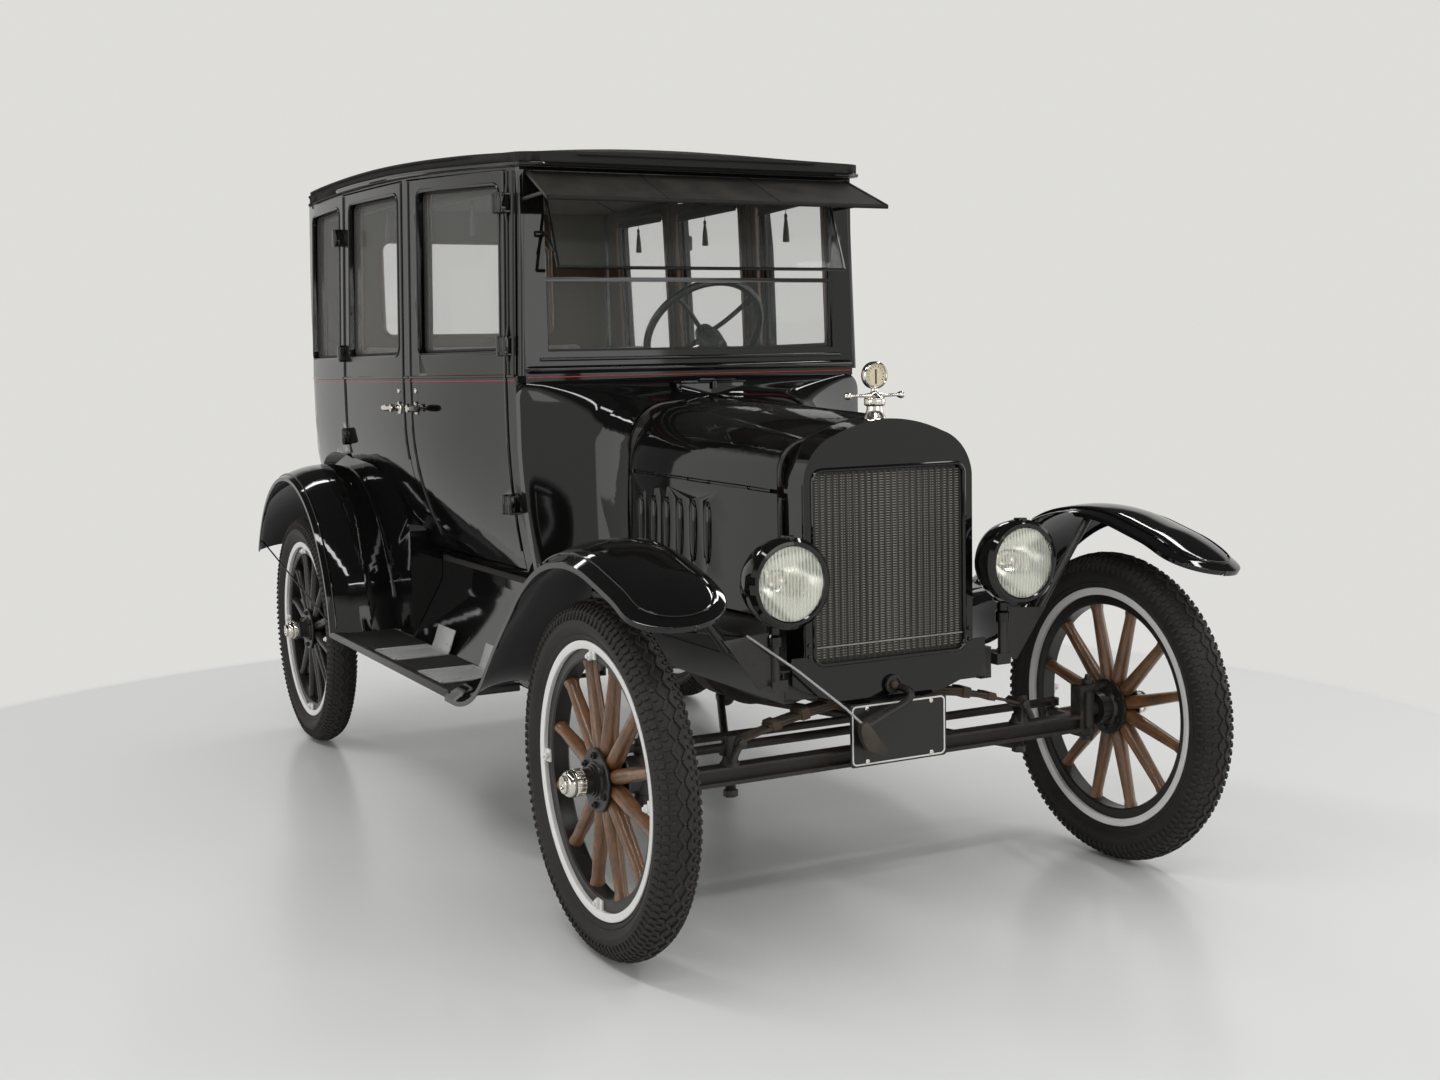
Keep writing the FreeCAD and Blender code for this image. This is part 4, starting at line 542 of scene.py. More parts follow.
VARNISH = Finish("varnished_wood", "brown_wood", (0.245, 0.108, 0.040), 0.25, coat=0.5, coat_roughness=0.14,
                 layers=(Layer(Effect.GRAIN, (0.040, 0.017, 0.008), 0.5, 1.0, 0.95, 0.25),
                         Layer(Effect.DUST, DUST_COLOUR, 0.8, 3.0, 0.12)))
BLACK_WOOD = Finish("black_painted_wood", "black_wood", (0.007, 0.0065, 0.006), 0.22,
                    layers=(Layer(Effect.GRAIN, (0.014, 0.011, 0.009), 0.4, 1.0, 0.6, 0.2),
                            Layer(Effect.DUST, DUST_COLOUR, 0.8, 3.0, 0.2)))
RUBBER = Finish("dusty_rubber", "tyre_rubber", (0.0105, 0.0100, 0.0095), 0.55, specular=0.35,
                layers=(Layer(Effect.DUST, (0.095, 0.078, 0.060), 0.9, 2.0, 0.55, 0.4),
                        Layer(Effect.HIDE, (0.022, 0.020, 0.018), 0.7, 1.0, 0.4, 0.25)))
RIM_SILVER = Finish("silvered_rim", "rusty_steel", (0.88, 0.87, 0.84), 0.34, metallic=0.15,
                    layers=(Layer(Effect.RUST, (0.30, 0.24, 0.17), 0.8, 2.0, 0.18, 0.3),
                            Layer(Effect.DUST, (0.48, 0.45, 0.40), 0.8, 3.0, 0.20)))
NICKEL = Finish("worn_nickel", "nickel", (0.72, 0.69, 0.62), 0.13, metallic=1.0,
                layers=(Layer(Effect.RUST, (0.35, 0.29, 0.20), 0.4, 3.0, 0.22, 0.1),))
REFLECTOR = Finish("silver_reflector", "nickel", (0.95, 0.95, 0.90), 0.16, metallic=1.0)
WINDOW = Glass("old_window_glass", "window_glass", (0.36, 0.37, 0.35), 0.02, specular=0.6, alpha=0.15)
SCREEN = Glass("screen_glass", "window_glass", (0.30, 0.33, 0.31), 0.02, specular=0.6, alpha=0.07)
# The pale colour shows where the flute bands make the lens opaque: a painted highlight, not milky glass.
LENS = Glass("fluted_lens", "lens_glass", (0.86, 0.88, 0.78), 0.04, specular=0.9, alpha=0.05, fluted=0.42)
ROOF_CLOTH = Finish("woven_roof_cloth", "roof_cloth", (0.016, 0.0155, 0.015), 0.8, specular=0.15,
                    layers=(THREADS, Layer(Effect.DUST, (0.03, 0.028, 0.025), 0.95, 1.2, 0.10)))
LEATHERETTE = Finish("coated_cloth", "leatherette", (0.020, 0.0175, 0.0150), 0.45,
                     layers=(Layer(Effect.HIDE, (0.036, 0.031, 0.026), 0.6, 1.0, 0.7, 0.45),
                             Layer(Effect.DUST, (0.08, 0.07, 0.055), 0.9, 2.0, 0.20)))
HEADLINER = Finish("headliner_cloth", "seat_cloth", (0.085, 0.057, 0.036), 0.92, sheen=0.1,
                   layers=(Layer(Effect.WEAVE, (0.125, 0.090, 0.060), 0.95, 600.0, 0.4, 0.4),))
SEAT_CLOTH = Finish("worn_seat_cloth", "seat_cloth", (0.17, 0.155, 0.14), 0.9, sheen=0.3,
                    layers=(Layer(Effect.WEAVE, (0.26, 0.24, 0.22), 0.95, 700.0, 0.5, 0.5),
                            Layer(Effect.DUST, (0.24, 0.22, 0.20), 0.95, 2.0, 0.3)))
SHADE_CLOTH = Finish("blind_cloth", "seat_cloth", (0.035, 0.027, 0.021), 0.85, sheen=0.1,
                     layers=(Layer(Effect.WEAVE, (0.060, 0.046, 0.035), 0.9, 800.0, 0.4, 0.4),))
CORE = Finish("dusty_core", "core_brass", (0.012, 0.0115, 0.010), 0.5,
              layers=(Layer(Effect.DUST, (0.05, 0.045, 0.037), 0.9, 4.0, 0.4),))
# The fins share the core's metal but get a far paler colour than the core and the tubes: a painted highlight
# for the light that their front edges catch.
FINS = Finish(
    "dull_fins", "core_brass", (0.34, 0.32, 0.27), 0.45,
    layers=(Layer(Effect.DUST, (0.12, 0.11, 0.09), 0.9, 6.0, 0.6),)
)
TUBES = Finish(
    "dark_tubes", "core_brass", (0.045, 0.042, 0.036), 0.5,
    layers=(Layer(Effect.DUST, (0.14, 0.13, 0.11), 0.9, 8.0, 0.35),)
)
LEATHER = Finish(
    "old_leather", "leatherette", (0.026, 0.021, 0.014), 0.55,
    layers=(Layer(Effect.HIDE, (0.085, 0.065, 0.042), 0.7, 1.0, 0.6, 0.4),)
)
BOARD_MAT = Finish("ribbed_mat", "board_steel", (0.008, 0.0076, 0.0072), 0.45,
                   layers=(Layer(Effect.DUST, (0.07, 0.063, 0.054), 0.9, 2.0, 0.3),))
ALUMINIUM = Finish("scuffed_aluminium", "nickel", (0.46, 0.46, 0.45), 0.42, metallic=0.4,
                   layers=(Layer(Effect.RUST, (0.20, 0.19, 0.17), 0.6, 3.0, 0.35, 0.2),
                           Layer(Effect.DUST, (0.22, 0.20, 0.18), 0.8, 3.0, 0.30)))
PLATE_BLACK = Finish("plate_enamel", "plate_black", (0.007, 0.0068, 0.0065), 0.30,
                     layers=(Layer(Effect.DUST, DUST_COLOUR, 0.7, 3.0, 0.10),))
WHITE_ENAMEL = Finish("white_enamel", "plate_black", (0.76, 0.75, 0.70), 0.4,
                      layers=(Layer(Effect.RUST, (0.40, 0.34, 0.26), 0.7, 2.0, 0.10),))
HAND_RUBBER = Finish("hand_wheel_black", "hand_wheel", (0.008, 0.0076, 0.0074), 0.25, layers=(FILM,))
FLOOR_MAT = Finish("floor_mat", "floor_wood", (0.014, 0.0125, 0.011), 0.85,
                   layers=(Layer(Effect.DUST, (0.05, 0.044, 0.038), 0.95, 2.0, 0.4),))
DIAL_FACE = Finish("dial_cream", "nickel", (0.66, 0.60, 0.42), 0.4,
                   layers=(Layer(Effect.RUST, (0.45, 0.36, 0.20), 0.5, 4.0, 0.3),))
DIAL_INK = Finish("dial_ink", "plate_black", (0.10, 0.035, 0.02), 0.5, layers=(FILM,))
ENGINE_GREY = Finish("oily_engine", "grimy_iron", (0.030, 0.028, 0.025), 0.5, metallic=0.3,
                     layers=(Layer(Effect.RUST, (0.07, 0.042, 0.025), 0.85, 1.0, 0.5, 0.5), FLOOR_DUST))


# ------------------------------------------------------------------ workshop
def deselect() -> None:
    """Leave edit mode and deselect everything."""
    if bpy.context.object and bpy.context.object.mode != "OBJECT":
        bpy.ops.object.mode_set(mode="OBJECT")
    bpy.ops.object.select_all(action="DESELECT")


def pick(*objects: bpy.types.Object) -> None:
    """Select only these objects and make the first one active."""
    deselect()
    for piece in objects:
        piece.select_set(True)
    bpy.context.view_layer.objects.active = objects[0]


def delete_selected(piece: bpy.types.Object) -> None:
    """Take the selected faces off a piece.

    Args:
        piece: the object whose faces were selected in object mode.
    """
    pick(piece)
    bpy.context.tool_settings.mesh_select_mode = (False, False, True)
    bpy.ops.object.mode_set(mode="EDIT")
    bpy.ops.mesh.delete(type="FACE")
    bpy.ops.object.mode_set(mode="OBJECT")


@contextmanager
def editing(piece: bpy.types.Object) -> Iterator[None]:
    """Edit one piece with all of it selected, then go back to object mode.

    Args:
        piece: the object.
    Returns:
        The context.
    """
    pick(piece)
    bpy.ops.object.mode_set(mode="EDIT")
    bpy.ops.mesh.select_all(action="SELECT")
    yield
    bpy.ops.object.mode_set(mode="OBJECT")


def settle(piece: bpy.types.Object) -> bpy.types.Object:
    """Move a piece's place, turn and size into its mesh.

    Args:
        piece: the object.
    Returns:
        The same object.
    """
    pick(piece)
    bpy.ops.object.transform_apply(location=True, rotation=True, scale=True)
    return piece


def apply_modifier(piece: bpy.types.Object, kind: str, **settings: object) -> bpy.types.Object:
    """Add a modifier, set it and apply it.

    Args:
        piece: the object.
        kind: the modifier's type.
        settings: its properties.
    Returns:
        The piece.
    """
    pick(piece)
    modifier = piece.modifiers.new(kind.lower(), kind)
    for key, value in settings.items():
        setattr(modifier, key, value)
    bpy.ops.object.modifier_apply(modifier=modifier.name)
    return piece


def slab(name: str, low: Point, high: Point, bevel: float = 0.0, segments: int = 2) -> bpy.types.Object:
    """Block between two corners with eased edges.

    Args:
        name: the piece's name.
        low: lowest corner.
        high: highest corner.
        bevel: width of the eased edges.
        segments: steps across each eased edge.
    Returns:
        The piece.
    """
    deselect()
    middle = [(a + b) / 2 for a, b in zip(low, high)]
    bpy.ops.mesh.primitive_cube_add(size=1.0, location=middle, scale=[b - a for a, b in zip(low, high)])
    piece = bpy.context.object
    piece.name = name
    settle(piece)
    if bevel:
        apply_modifier(piece, "BEVEL", width=bevel, segments=segments, limit_method="ANGLE")
    return piece


def rod(name: str, start: Point, end: Point, radius: float, end_radius: float | None = None, sides: int = 24,
        bevel: float = 0.0) -> bpy.types.Object:
    """Round bar or taper between two points.

    Args:
        name: the piece's name.
        start: middle of one end.
        end: middle of the other end.
        radius: radius at the start.
        end_radius: radius at the end, if it differs.
        sides: faces round it.
        bevel: width of the eased rims.
    Returns:
        The piece.
    """
    deselect()
    a, b = Vector(start), Vector(end)
    bpy.ops.mesh.primitive_cone_add(
        vertices=sides, radius1=radius, radius2=radius if end_radius is None else end_radius,
        depth=(b - a).length, location=(a + b) / 2, rotation=(b - a).to_track_quat("Z", "Y").to_euler()
    )
    piece = bpy.context.object
    piece.name = name
    settle(piece)
    if bevel:
        apply_modifier(
            piece, "BEVEL", width=bevel, segments=2, limit_method="ANGLE", angle_limit=math.radians(50)
        )
    return piece


def outline_ring(name: str, points: Iterable[Point], fill: bool) -> bpy.types.Object:
    """Circle primitive whose corners are moved onto an outline.

    Args:
        name: the piece's name.
        points: the outline's corners in order.
        fill: whether the outline is one face.
    Returns:
        The piece.
    """
    deselect()
    points = list(points)
    bpy.ops.mesh.primitive_circle_add(
        vertices=len(points), radius=1.0, fill_type="NGON" if fill else "NOTHING"
    )
    piece = bpy.context.object
    piece.name = name
    for vertex, point in zip(piece.data.vertices, points):
        vertex.co = point
    return piece


def lathe(
    name: str, centre: Point, axis: Vector, profile: Sequence[tuple[float, float]], steps: int = 64
) -> bpy.types.Object:
    """Piece turned round an axis.

    Args:
        name: the piece's name.
        centre: a point on the axis.
        axis: the axis's direction.
        profile: closed outline as pairs (distance along the axis, radius).
        steps: faces round the axis.
    Returns:
        The piece.
    """
    middle, axis = Vector(centre), axis.normalized()
    out = axis.orthogonal().normalized()
    piece = outline_ring(name, [middle + axis * a + out * r for a, r in profile], False)
    with editing(piece):
        bpy.ops.mesh.spin(steps=steps, angle=math.tau, center=middle, axis=axis)
        bpy.ops.mesh.select_all(action="SELECT")
        bpy.ops.mesh.remove_doubles(threshold=WELD)
        bpy.ops.mesh.normals_make_consistent(inside=False)
    return piece


def plate(name: str, outline: Sequence[Point], along: Point, bevel: float = 0.0) -> bpy.types.Object:
    """Flat piece: an outline in space extruded along a vector.

    Args:
        name: the piece's name.
        outline: corners in order.
        along: thickness as a vector.
        bevel: width of the eased edges.
    Returns:
        The piece.
    """
    piece = outline_ring(name, outline, True)
    with editing(piece):
        bpy.ops.mesh.extrude_region_move(TRANSFORM_OT_translate={"value": tuple(along)})
        bpy.ops.mesh.select_all(action="SELECT")
        bpy.ops.mesh.normals_make_consistent(inside=False)
    if bevel:
        apply_modifier(piece, "BEVEL", width=bevel, segments=2, limit_method="ANGLE")
    return piece


def tube(name: str, points: Sequence[Point], radius: float, closed: bool = False, sides: int = 3,
         curved: bool = False) -> bpy.types.Object:
    """Round bar that follows points.

    Args:
        name: the piece's name.
        points: its centre line.
        radius: its radius.
        closed: whether the ends meet.
        sides: bevel resolution.
        curved: whether the line is rounded between the points.
    Returns:
        The piece as a mesh.
    """
    curve = bpy.data.curves.new(name, "CURVE")
    curve.dimensions = "3D"
    spline = curve.splines.new("NURBS" if curved else "POLY")
    spline.points.add(len(points) - 1)
    for place, point in zip(spline.points, points):
        place.co = (*point, 1.0)
    spline.use_cyclic_u = closed
    if curved:
        spline.order_u = 3
        spline.use_endpoint_u = True
    curve.bevel_depth = radius
    curve.bevel_resolution = sides
    curve.use_fill_caps = True
    piece = bpy.data.objects.new(name, curve)
    bpy.context.collection.objects.link(piece)
    pick(piece)
    bpy.ops.object.convert(target="MESH")
    piece = bpy.context.object
    with editing(piece):
        bpy.ops.mesh.normals_make_consistent(inside=False)
    return piece


def copy_of(source: bpy.types.Object, name: str, matrix: Matrix) -> bpy.types.Object:
    """Copy with its own mesh, moved by a matrix.

    Args:
        source: the piece to copy.
        name: the copy's name.
        matrix: where the copy goes.
    Returns:
        The copy.
    """
    mesh = source.data.copy()
    mesh.transform(matrix)
    if matrix.determinant() < 0:
        mesh.flip_normals()
    piece = bpy.data.objects.new(name, mesh)
    bpy.context.collection.objects.link(piece)
    return piece


def joined(name: str, pieces: Sequence[bpy.types.Object]) -> bpy.types.Object:
    """Join pieces into one.

    Args:
        name: the result's name.
        pieces: what is joined.
    Returns:
        The joined piece.
    """
    pick(*pieces)
    if len(pieces) > 1:
        bpy.ops.object.join()
    piece = bpy.context.object
    piece.name = name
    return piece


def repeated(source: bpy.types.Object, matrices: Iterable[Matrix], name: str) -> bpy.types.Object:
    """Copies of one piece at many places, as one piece; the source goes.

    Args:
        source: the piece that repeats.
        matrices: where the copies go.
        name: the result's name.
    Returns:
        The joined copies.
    """
    copies = [copy_of(source, name, matrix) for matrix in matrices]
    bpy.data.objects.remove(source)
    return joined(name, copies)


@dataclass
class Garage:
    """What every sub-assembly needs to know about the frame."""

    frame: dict
    trees: dict[str, BVHTree] = field(default_factory=dict)

    def body_of(self, node: str) -> str:
        """Name of the body that a node rides on."""
        bodies = self.frame["record"]["behaviour"]["bodies"]
        return next(body for body, nodes in bodies.items() if node in nodes)

    def place(
        self, piece: bpy.types.Object, finish: Finish, body: str, replaces: Sequence[str] = (),
        angle: float = 35.0
    ) -> bpy.types.Object:
        """Give a finished piece its material, shading and body.

        Args:
            piece: the mesh object, already in its place.
            finish: its finish.
            body: the body that it rides on.
            replaces: nodes that it stands for.
            angle: edges sharper than this stay sharp, in degrees.
        Returns:
            The piece.
        """
        pick(piece)
        bpy.ops.object.shade_smooth_by_angle(angle=math.radians(angle), keep_sharp_edges=False)
        piece.data.materials.clear()
        piece.data.materials.append(finish.material())
        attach(piece, body)
        if replaces:
            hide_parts(*replaces)
        LOG.info("%-28s %-18s %7d faces", piece.name, body, len(piece.data.polygons))
        return piece

    def carry(self, node: str, finish: Finish, angle: float = 28.0) -> bpy.types.Object:
        """Stand a smoothed copy in for a node whose shape is right.

        Args:
            node: the node.
            finish: the copy's finish.
            angle: edges sharper than this stay sharp, in degrees.
        Returns:
            The copy.
        """
        piece = copy_of(self.frame["nodes"][node], node + "_dressed", Matrix.Identity(4))
        with editing(piece):
            bpy.ops.mesh.remove_doubles(threshold=2 * WELD)
        self.place(piece, finish, self.body_of(node), (node,), angle)
        apply_modifier(piece, "WEIGHTED_NORMAL", keep_sharp=True)
        return piece

    def hit(self, nodes: Sequence[str], origin: Point, direction: Point) -> Vector | None:
        """Nearest point of some nodes along a ray.

        Args:
            nodes: the nodes that count.
            origin: where the ray starts.
            direction: where it goes.
        Returns:
            The point, or None.
        """
        found = []
        for node in nodes:
            if node not in self.trees:
                mesh = self.frame["nodes"][node].data
                self.trees[node] = BVHTree.FromPolygons(
                    [v.co.copy() for v in mesh.vertices], [tuple(p.vertices) for p in mesh.polygons]
                )
            place = self.trees[node].ray_cast(Vector(origin), Vector(direction).normalized())[0]
            if place is not None:
                found.append(place)
        return min(found, key=lambda p: (p - Vector(origin)).length) if found else None

    def skin_line(
        self, nodes: Sequence[str], side: Side, stations: Iterable[tuple[float, float]], out: float = 0.0
    ) -> list[Vector]:
        """Points on the outside of a side wall.

        Args:
            nodes: the nodes of the wall.
            side: which side.
            stations: pairs (y, z).
            out: how far outside the skin the points lie.
        Returns:
            The points that were found.
        """
        line = []
        for y, z in stations:
            place = self.hit(nodes, (side.value * 1.2, y, z), (-side.value, 0, 0))
            if place is not None:
                line.append(place + Vector((side.value * out, 0, 0)))
        return line


# ------------------------------------------------------------------ wheels
@dataclass(frozen=True)
class TreadRow:
    """One ring of rubber blocks: its lean from the crown, its half-sizes and how it is turned."""

    tilt: float
    half_x: float
    half_y: float
    turn: float = 0.0
    shift: float = 0.0
    per_link: int = 1
    sunk: float = 0.0


TREAD = tuple(TreadRow(s * tilt, half_x, half_y, s * turn, shift, per_link, sunk) for s in (-1, 1)
              for tilt, half_x, half_y, turn, shift, per_link, sunk in (
                  (9.5, 0.0034, 0.0125, 33.0, 0.0, 1, 0.0), (9.5, 0.0034, 0.0125, -33.0, 0.5, 1, 0.0),
                  (27.0, 0.0060, 0.0036, 0.0, 0.25, 2, 0.0004), (44.5, 0.0074, 0.0048, 0.0, 0.75, 2, 0.0),
                  (64.0, 0.0088, 0.0040, 0.0, 0.75, 2, 0.0032)))


@dataclass
class RoadWheels:
    """Four wooden wheels with steel rims and chain-tread tyres; sizes are about the hub's middle."""

    garage: Garage
    axle_z: float = 0.396
    track_half: float = 0.711
    axles: tuple[float, float] = (-1.300, 1.240)
    tread_blocks: int = 58
    crown_radius: float = 0.0582
    crown_centre: float = 0.3378
    spokes: int = 12
    hub_bolts: int = 6
    bolt_circle: float = 0.055
    cap_ribs: int = 44
    clamps: int = 4

    def build(self) -> None:
        """Model one of each part and stand copies at the four corners."""
        masters: list[tuple[str, bpy.types.Object, Finish, Finish]] = [
            ("tyre", self.tyre(), RUBBER, RUBBER),
            ("rim", self.rim(), RIM_SILVER, RIM_SILVER),
            ("felloe", self.felloe(), BLACK_CHASSIS, BLACK_WOOD),
            ("spokes", self.spoke_set(), VARNISH, BLACK_WOOD),
            ("hub", self.hub(), BLACK_CHASSIS, BLACK_CHASSIS),
            ("hub_cap", self.cap(), NICKEL, NICKEL),
            ("rim_lugs", self.lugs(), RIM_SILVER, RIM_SILVER),
        ]
        drum = lathe("drum", (0, 0, 0), X_AXIS,
                     [(-0.066, 0.02), (-0.066, 0.106), (-0.063, 0.110), (-0.060, 0.110), (-0.058, 0.1075),
                      (-0.034, 0.1075), (-0.031, 0.110), (-0.028, 0.106), (-0.028, 0.02)], 72)
        for end, y in zip(("front", "rear"), self.axles):
            for side in Side:
                corner = f"{end}_{side.word}"
                place = Matrix.Translation((side.value * self.track_half, y, self.axle_z)) @ side.flip
                body = f"wheel_{corner}"
                for word, master, front, rear in masters:
                    piece = copy_of(master, f"{word}_{corner}_piece", place)
                    taken = {"tyre": (f"tyre_{corner}",), "rim": (f"wheel_{corner}",)}.get(word, ())
                    self.garage.place(piece, front if end == "front" else rear, body, taken)
                if end == "rear":
                    self.garage.place(copy_of(drum, f"brake_drum_{corner}", place), BLACK_CHASSIS, body)
        for _, master, _, _ in masters:
            bpy.data.objects.remove(master)
        bpy.data.objects.remove(drum)

    def tyre(self) -> bpy.types.Object:
        """Carcass, a chain of six-sided links round the crown, short bars and ribbed shoulders.

        Returns:
            The piece.
        """
        low = 0.0046
        wall = [(0.0287, 0.2925), (0.0287, 0.306), (0.032, 0.3085), (0.0375, 0.316), (0.0385, 0.3185),
                (0.0372, 0.321), (0.0425, 0.328), (0.0462, 0.337), (0.0472, 0.339), (0.0472, 0.342),
                (0.0465, 0.344), (0.0470, 0.352), (0.0455, 0.362), (0.0425, 0.371)]
        crown = [
            (
                (self.crown_radius - low) * math.sin(a),
                self.crown_centre + (self.crown_radius - low) * math.cos(a)
            )
            for a in (math.radians(d) for d in (44, 33, 22, 11, 0))
        ]
        half = wall + crown
        pieces = [lathe("carcass", (0, 0, 0), X_AXIS, half + [(-x, r) for x, r in reversed(half[:-1])], 112)]
        for row in TREAD:
            height = self.crown_radius - row.sunk
            block = slab("block", (-row.half_x, -row.half_y, height - low - 0.004),
                         (row.half_x, row.half_y, height - 0.0004), 0.0013, 1)
            lean = Matrix.Translation((0, 0, self.crown_centre)) @ Matrix.Rotation(
                math.radians(row.tilt), 4, "Y"
            )
            lean = lean @ Matrix.Rotation(math.radians(row.turn), 4, "Z")
            turns = [turn @ lean for turn in spun(self.tread_blocks * row.per_link, row.shift)]
            pieces.append(repeated(block, turns, "blocks"))
        return joined("tyre_master", pieces)

    def rim(self) -> bpy.types.Object:
        """Make the steel clincher rim with its rolled edges.

        Returns:
            The piece.
        """
        half = [
            (0.0262, 0.2885), (0.0275, 0.2872), (0.0315, 0.2875), (0.0330, 0.2900), (0.0333, 0.2985),
            (0.0345, 0.3020), (0.0340, 0.3050), (0.0318, 0.3060), (0.0300, 0.3045), (0.0292, 0.3000),
            (0.0288, 0.2925)
        ]
        return lathe("rim_master", (0, 0, 0), X_AXIS, half + [(-x, r) for x, r in reversed(half)], 120)

    def felloe(self) -> bpy.types.Object:
        """Wooden ring under the rim with eased edges.

        Returns:
            The piece.
        """
        return lathe(
            "felloe_master", (0, 0, 0), X_AXIS,
            [
                (-0.022, 0.2882), (-0.022, 0.266), (-0.018, 0.262), (0.018, 0.262), (0.022, 0.266),
                (0.022, 0.2882)
            ],
            96
        )

    def spoke_set(self) -> bpy.types.Object:
        """Make the turned oval spokes with their square shoulders at the felloe.

        Returns:
            The piece.
        """
        profile = [
            (0.045, 0.0005), (0.045, 0.0165), (0.072, 0.0195), (0.088, 0.0192), (0.110, 0.0185),
            (0.150, 0.0172), (0.190, 0.0160), (0.225, 0.0150), (0.246, 0.0148), (0.254, 0.0168),
            (0.264, 0.0172), (0.266, 0.0005)
        ]
        spoke = lathe("spoke", (0, 0, 0), Z_AXIS, profile, 22)
        spoke.data.transform(Matrix.Scale(1.04, 4, X_AXIS) @ Matrix.Scale(0.9, 4, Y_AXIS))
        return repeated(spoke, spun(self.spokes, 0.5), "spokes_master")

    def hub(self) -> bpy.types.Object:
        """Make the pressed hub flanges, the barrel and the bolts.

        Returns:
            The piece.
        """
        outer = [(0.020, 0.019), (0.020, 0.067), (0.022, 0.0705), (0.0255, 0.0705), (0.0275, 0.068),
                 (0.0280, 0.043), (0.0310, 0.0415), (0.0320, 0.037), (0.0365, 0.0365), (0.0375, 0.0325),
                 (0.0420, 0.0325), (0.0430, 0.0285), (0.0590, 0.0275), (0.0600, 0.019)]
        inner = [
            (-0.020, 0.019), (-0.020, 0.067), (-0.022, 0.0705), (-0.0265, 0.0705), (-0.028, 0.067),
            (-0.029, 0.048), (-0.036, 0.042), (-0.066, 0.0405), (-0.066, 0.019)
        ]
        pieces = [
            lathe("flange", (0, 0, 0), X_AXIS, outer, 64), lathe("flange", (0, 0, 0), X_AXIS, inner, 48)
        ]
        bolt = joined(
            "bolt",
            [
                rod(
                    name, (x, 0, self.bolt_circle), (x + 0.008, 0, self.bolt_circle), radius, sides=sides,
                    bevel=bevel
                )
                for name, x, radius, sides, bevel in (
                    ("bolt", 0.026, 0.0085, 6, 0.0012), ("end", 0.030, 0.0042, 12, 0.0008),
                    ("head", -0.034, 0.0085, 16, 0.0015)
                )
            ]
        )
        pieces.append(repeated(bolt, spun(self.hub_bolts), "bolts"))
        return joined("hub_master", pieces)

    def cap(self) -> bpy.types.Object:
        """Screwed hub cap: a ribbed band, a shoulder and a small round end.

        Returns:
            The piece.
        """
        barrel = lathe(
            "cap", (0, 0, 0), X_AXIS,
            [
                (0.0570, 0.0004), (0.0570, 0.0285), (0.0585, 0.0300), (0.0775, 0.0300), (0.0790, 0.0290),
                (0.0805, 0.0300), (0.0850, 0.0298), (0.0920, 0.0284), (0.0965, 0.0250), (0.0975, 0.0225),
                (0.0975, 0.0004)
            ],
            60
        )
        end = lathe(
            "end", (0, 0, 0), X_AXIS,
            [
                (0.0960, 0.0004), (0.0960, 0.0205), (0.1025, 0.0200), (0.1045, 0.0182), (0.1045, 0.0120),
                (0.1010, 0.0105), (0.1010, 0.0004)
            ],
            48
        )
        rib = slab("rib", (0.0595, -0.0010, 0.0292), (0.0765, 0.0010, 0.0312), 0.0005, 1)
        ribs = repeated(rib, spun(self.cap_ribs), "ribs")
        return joined("cap_master", [barrel, end, ribs])

    def lugs(self) -> bpy.types.Object:
        """Make the rim clamps with their nuts, and the tyre valve.

        Returns:
            The piece.
        """
        lug = joined(
            "lug",
            [
                slab("lug", (0.0205, -0.015, 0.266), (0.0275, 0.015, 0.290), 0.002),
                rod("nut", (0.0265, 0, 0.2735), (0.036, 0, 0.2735), 0.0095, sides=6, bevel=0.0012),
                rod("stud", (0.030, 0, 0.2735), (0.041, 0, 0.2735), 0.0048, sides=12, bevel=0.0008)
            ]
        )
        lugs = repeated(lug, spun(self.clamps), "lugs")
        turn = Matrix.Rotation(math.radians(225), 4, "X")
        valve = joined(
            "valve",
            [
                rod("stem", (0, 0, 0.228), (0, 0, 0.263), 0.0042, 0.0048, 12),
                rod("cap", (0, 0, 0.219), (0, 0, 0.231), 0.0060, 0.0055, 14, 0.001)
            ]
        )
        valve.data.transform(turn)
        return joined("lugs_master", [lugs, valve])


# ------------------------------------------------------------------ running gear
@dataclass(frozen=True)
class LeafSpring:
    """One transverse spring.

    half is half of its longest leaf's span, end_z and top_z are the heights of its ends and its
    middle, step is how much shorter each leaf is at each end, perch_z is where its shackles end and
    taken are the nodes that it replaces.
    """

    name: str
    y: float
    half: float
    end_z: float
    top_z: float
    leaves: int
    step: float
    perch_z: float
    taken: tuple[str, ...] = ()


SPRINGS = (
    LeafSpring("front_spring", -1.310, 0.392, 0.438, 0.497, 4, 0.075, 0.405, ("springs",)),
    LeafSpring("rear_spring", 1.240, 0.545, 0.455, 0.622, 5, 0.090, 0.425),
)


